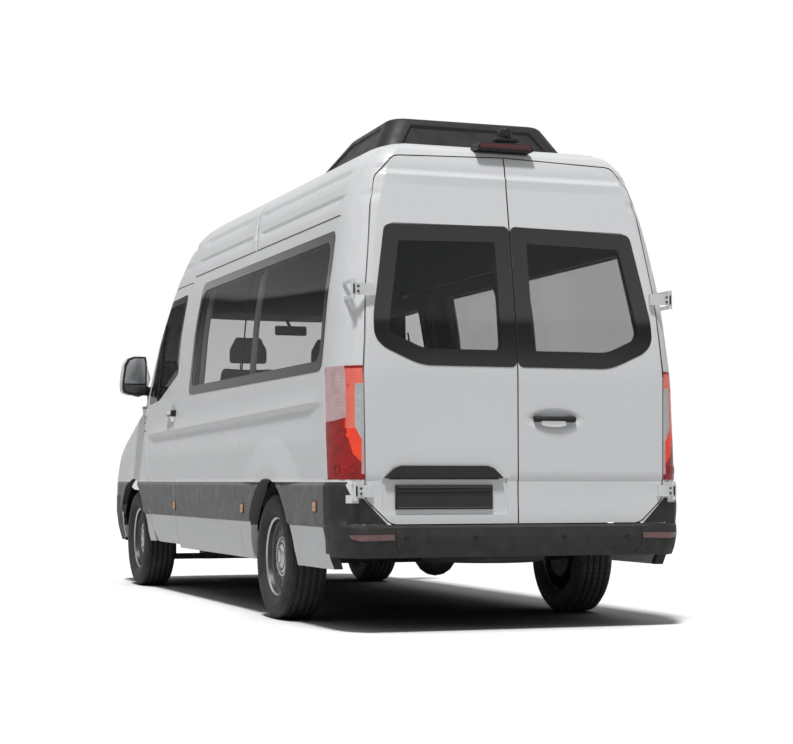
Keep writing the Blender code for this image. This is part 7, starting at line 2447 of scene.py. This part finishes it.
@dataclass
class Studio:
    """Camera, lights, floor and background."""

    camera_place: Point = (-11.9345, 3.9104, 0.7752)
    camera_turn: float = 0.3447
    camera_rise: float = 0.0577
    lens: float = 85.34
    floor_size: float = 60.0
    sun_strength: float = 2.90
    sun_lean: Flat = (0.30, -0.19)
    sun_softness: float = math.radians(7.0)
    sky_strength: float = 0.25
    reflected: tuple[Flat, ...] = ((0.0, 0.55), (0.100, 0.45), (0.172, 0.12), (0.177, 0.75), (0.250, 0.30),
                                   (0.330, 0.22), (0.345, 0.95), (0.60, 0.45), (1.0, 0.30))

    def build(self) -> None:
        """Set up the whole studio."""
        scene = bpy.context.scene
        scene.view_settings.view_transform = "Standard"
        self.make_camera()
        self.make_lights()
        self.make_floor()
        self.make_world()
        LOG.info("studio")

    def make_camera(self) -> None:
        """Place the camera where the photograph was taken from."""
        data = bpy.data.cameras.new("camera")
        data.lens = self.lens
        data.sensor_width = 36.0
        data.clip_end = 200.0
        camera = bpy.data.objects.new("camera", data)
        bpy.context.scene.collection.objects.link(camera)
        camera.location = self.camera_place
        camera.rotation_euler = (math.pi / 2 + self.camera_rise, 0.0, -math.pi / 2 - self.camera_turn)
        bpy.context.scene.camera = camera

    def make_lights(self) -> None:
        """Add the high soft lamp that casts the shadow."""
        data = bpy.data.lights.new("ceiling_lamp", "SUN")
        data.energy = self.sun_strength
        data.angle = self.sun_softness
        lamp = bpy.data.objects.new("ceiling_lamp", data)
        bpy.context.scene.collection.objects.link(lamp)
        way = Vector((self.sun_lean[0], self.sun_lean[1], -1.0))
        lamp.rotation_euler = way.to_track_quat("-Z", "Y").to_euler()

    def make_floor(self) -> None:
        """Lay a pale floor that reads white where it is lit, keeps the cast shadow and carries a painted shadow near
        the van.
        """
        work = bmesh.new()
        bmesh.ops.create_grid(work, x_segments=8, y_segments=8, size=self.floor_size)
        mesh = bpy.data.meshes.new("studio_floor")
        work.to_mesh(mesh)
        work.free()
        floor = bpy.data.objects.new("studio_floor", mesh)
        bpy.context.scene.collection.objects.link(floor)
        mesh.materials.append(self.floor_material())

    def floor_material(self) -> bpy.types.Material:
        """Make the floor's material: white to the eye but darkened by ambient occlusion near the van as a painted
        shadow, a plain pale grey to the object.

        Returns:
            The material.
        """
        material = bpy.data.materials.new("studio_floor")
        material.use_nodes = True
        wiring = Wiring(material.node_tree)
        wiring.tree.nodes.clear()
        seen, plain = wiring.add("BsdfDiffuse"), wiring.add("BsdfDiffuse")
        seen.inputs["Color"].default_value = (1.0, 1.0, 1.0, 1.0)
        plain.inputs["Color"].default_value = (0.55, 0.55, 0.55, 1.0)
        # Ambient occlusion darkens the seen floor colour near and under the van: a painted shadow added to the cast
        # one.
        painted_shadow_ao = wiring.add("AmbientOcclusion", samples=8, only_local=False)
        painted_shadow_ao.inputs["Distance"].default_value = 1.2
        wiring.join(wiring.spread(painted_shadow_ao.outputs["AO"], 0.06, 1.0, 0.12, 0.62), seen.inputs["Color"])
        switch = wiring.add("MixShader")
        wiring.join(self.direct(wiring), switch.inputs[0])
        wiring.join(plain.outputs[0], switch.inputs[1])
        wiring.join(seen.outputs[0], switch.inputs[2])
        wiring.join(switch.outputs[0], wiring.add("OutputMaterial").inputs["Surface"])
        return material

    def direct(self, wiring: Wiring) -> bpy.types.NodeSocket:
        """Wire the share that is seen straight or through glass."""
        path = wiring.add("LightPath")
        return wiring.combine(path.outputs["Is Camera Ray"], path.outputs["Is Transmission Ray"], "MAXIMUM")

    def make_world(self) -> None:
        """Make the soft sky, white where it is seen directly."""
        world = bpy.data.worlds.new("studio_sky")
        bpy.context.scene.world = world
        world.use_nodes = True
        wiring = Wiring(world.node_tree)
        wiring.tree.nodes.clear()
        seen, soft = wiring.add("Background"), wiring.add("Background")
        seen.inputs["Strength"].default_value = 1.0
        seen.inputs["Color"].default_value = (1.0, 1.0, 1.0, 1.0)
        soft.inputs["Strength"].default_value = self.sky_strength
        soft.inputs["Color"].default_value = (0.97, 0.985, 1.0, 1.0)
        mirrored = wiring.add("Background")
        mirrored.inputs["Color"].default_value = (1.0, 1.0, 1.0, 1.0)
        split = wiring.add("SeparateXYZ")
        wiring.join(wiring.add("TexCoord").outputs["Generated"], split.inputs[0])
        panel = wiring.add("ValToRGB")
        stops = panel.color_ramp.elements
        stops[0].position, stops[0].color = self.reflected[0][0], (*[self.reflected[0][1]] * 3, 1.0)
        stops[1].position, stops[1].color = self.reflected[-1][0], (*[self.reflected[-1][1]] * 3, 1.0)
        for place, level in self.reflected[1:-1]:
            stops.new(place).color = (level, level, level, 1.0)
        wiring.join(split.outputs["Z"], panel.inputs[0])
        wiring.join(panel.outputs[0], mirrored.inputs["Strength"])
        gloss = wiring.add("MixShader")
        wiring.join(wiring.add("LightPath").outputs["Is Glossy Ray"], gloss.inputs[0])
        wiring.join(soft.outputs[0], gloss.inputs[1])
        wiring.join(mirrored.outputs[0], gloss.inputs[2])
        switch = wiring.add("MixShader")
        wiring.join(self.direct(wiring), switch.inputs[0])
        wiring.join(gloss.outputs[0], switch.inputs[1])
        wiring.join(seen.outputs[0], switch.inputs[2])
        wiring.join(switch.outputs[0], wiring.add("OutputWorld").inputs["Surface"])


def main() -> None:
    """Build the whole scene."""
    logging.basicConfig(level=logging.INFO, format="%(message)s")
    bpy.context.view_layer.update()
    form = BodyForm()
    skins = Skins(form)
    skins.build()
    Glazing(form, skins).build()
    TailLamps(form, skins).build()
    RearTrim(form).build()
    BumperTrim(form).build()
    RoofUnit(form).build()
    SideTrim(form).build()
    Mirrors().build()
    Wheels().build()
    Cab(form).build()
    FrontEnd(form, skins).build()
    Underbody().build()
    Studio().build()


if __name__ == "__main__":
    main()
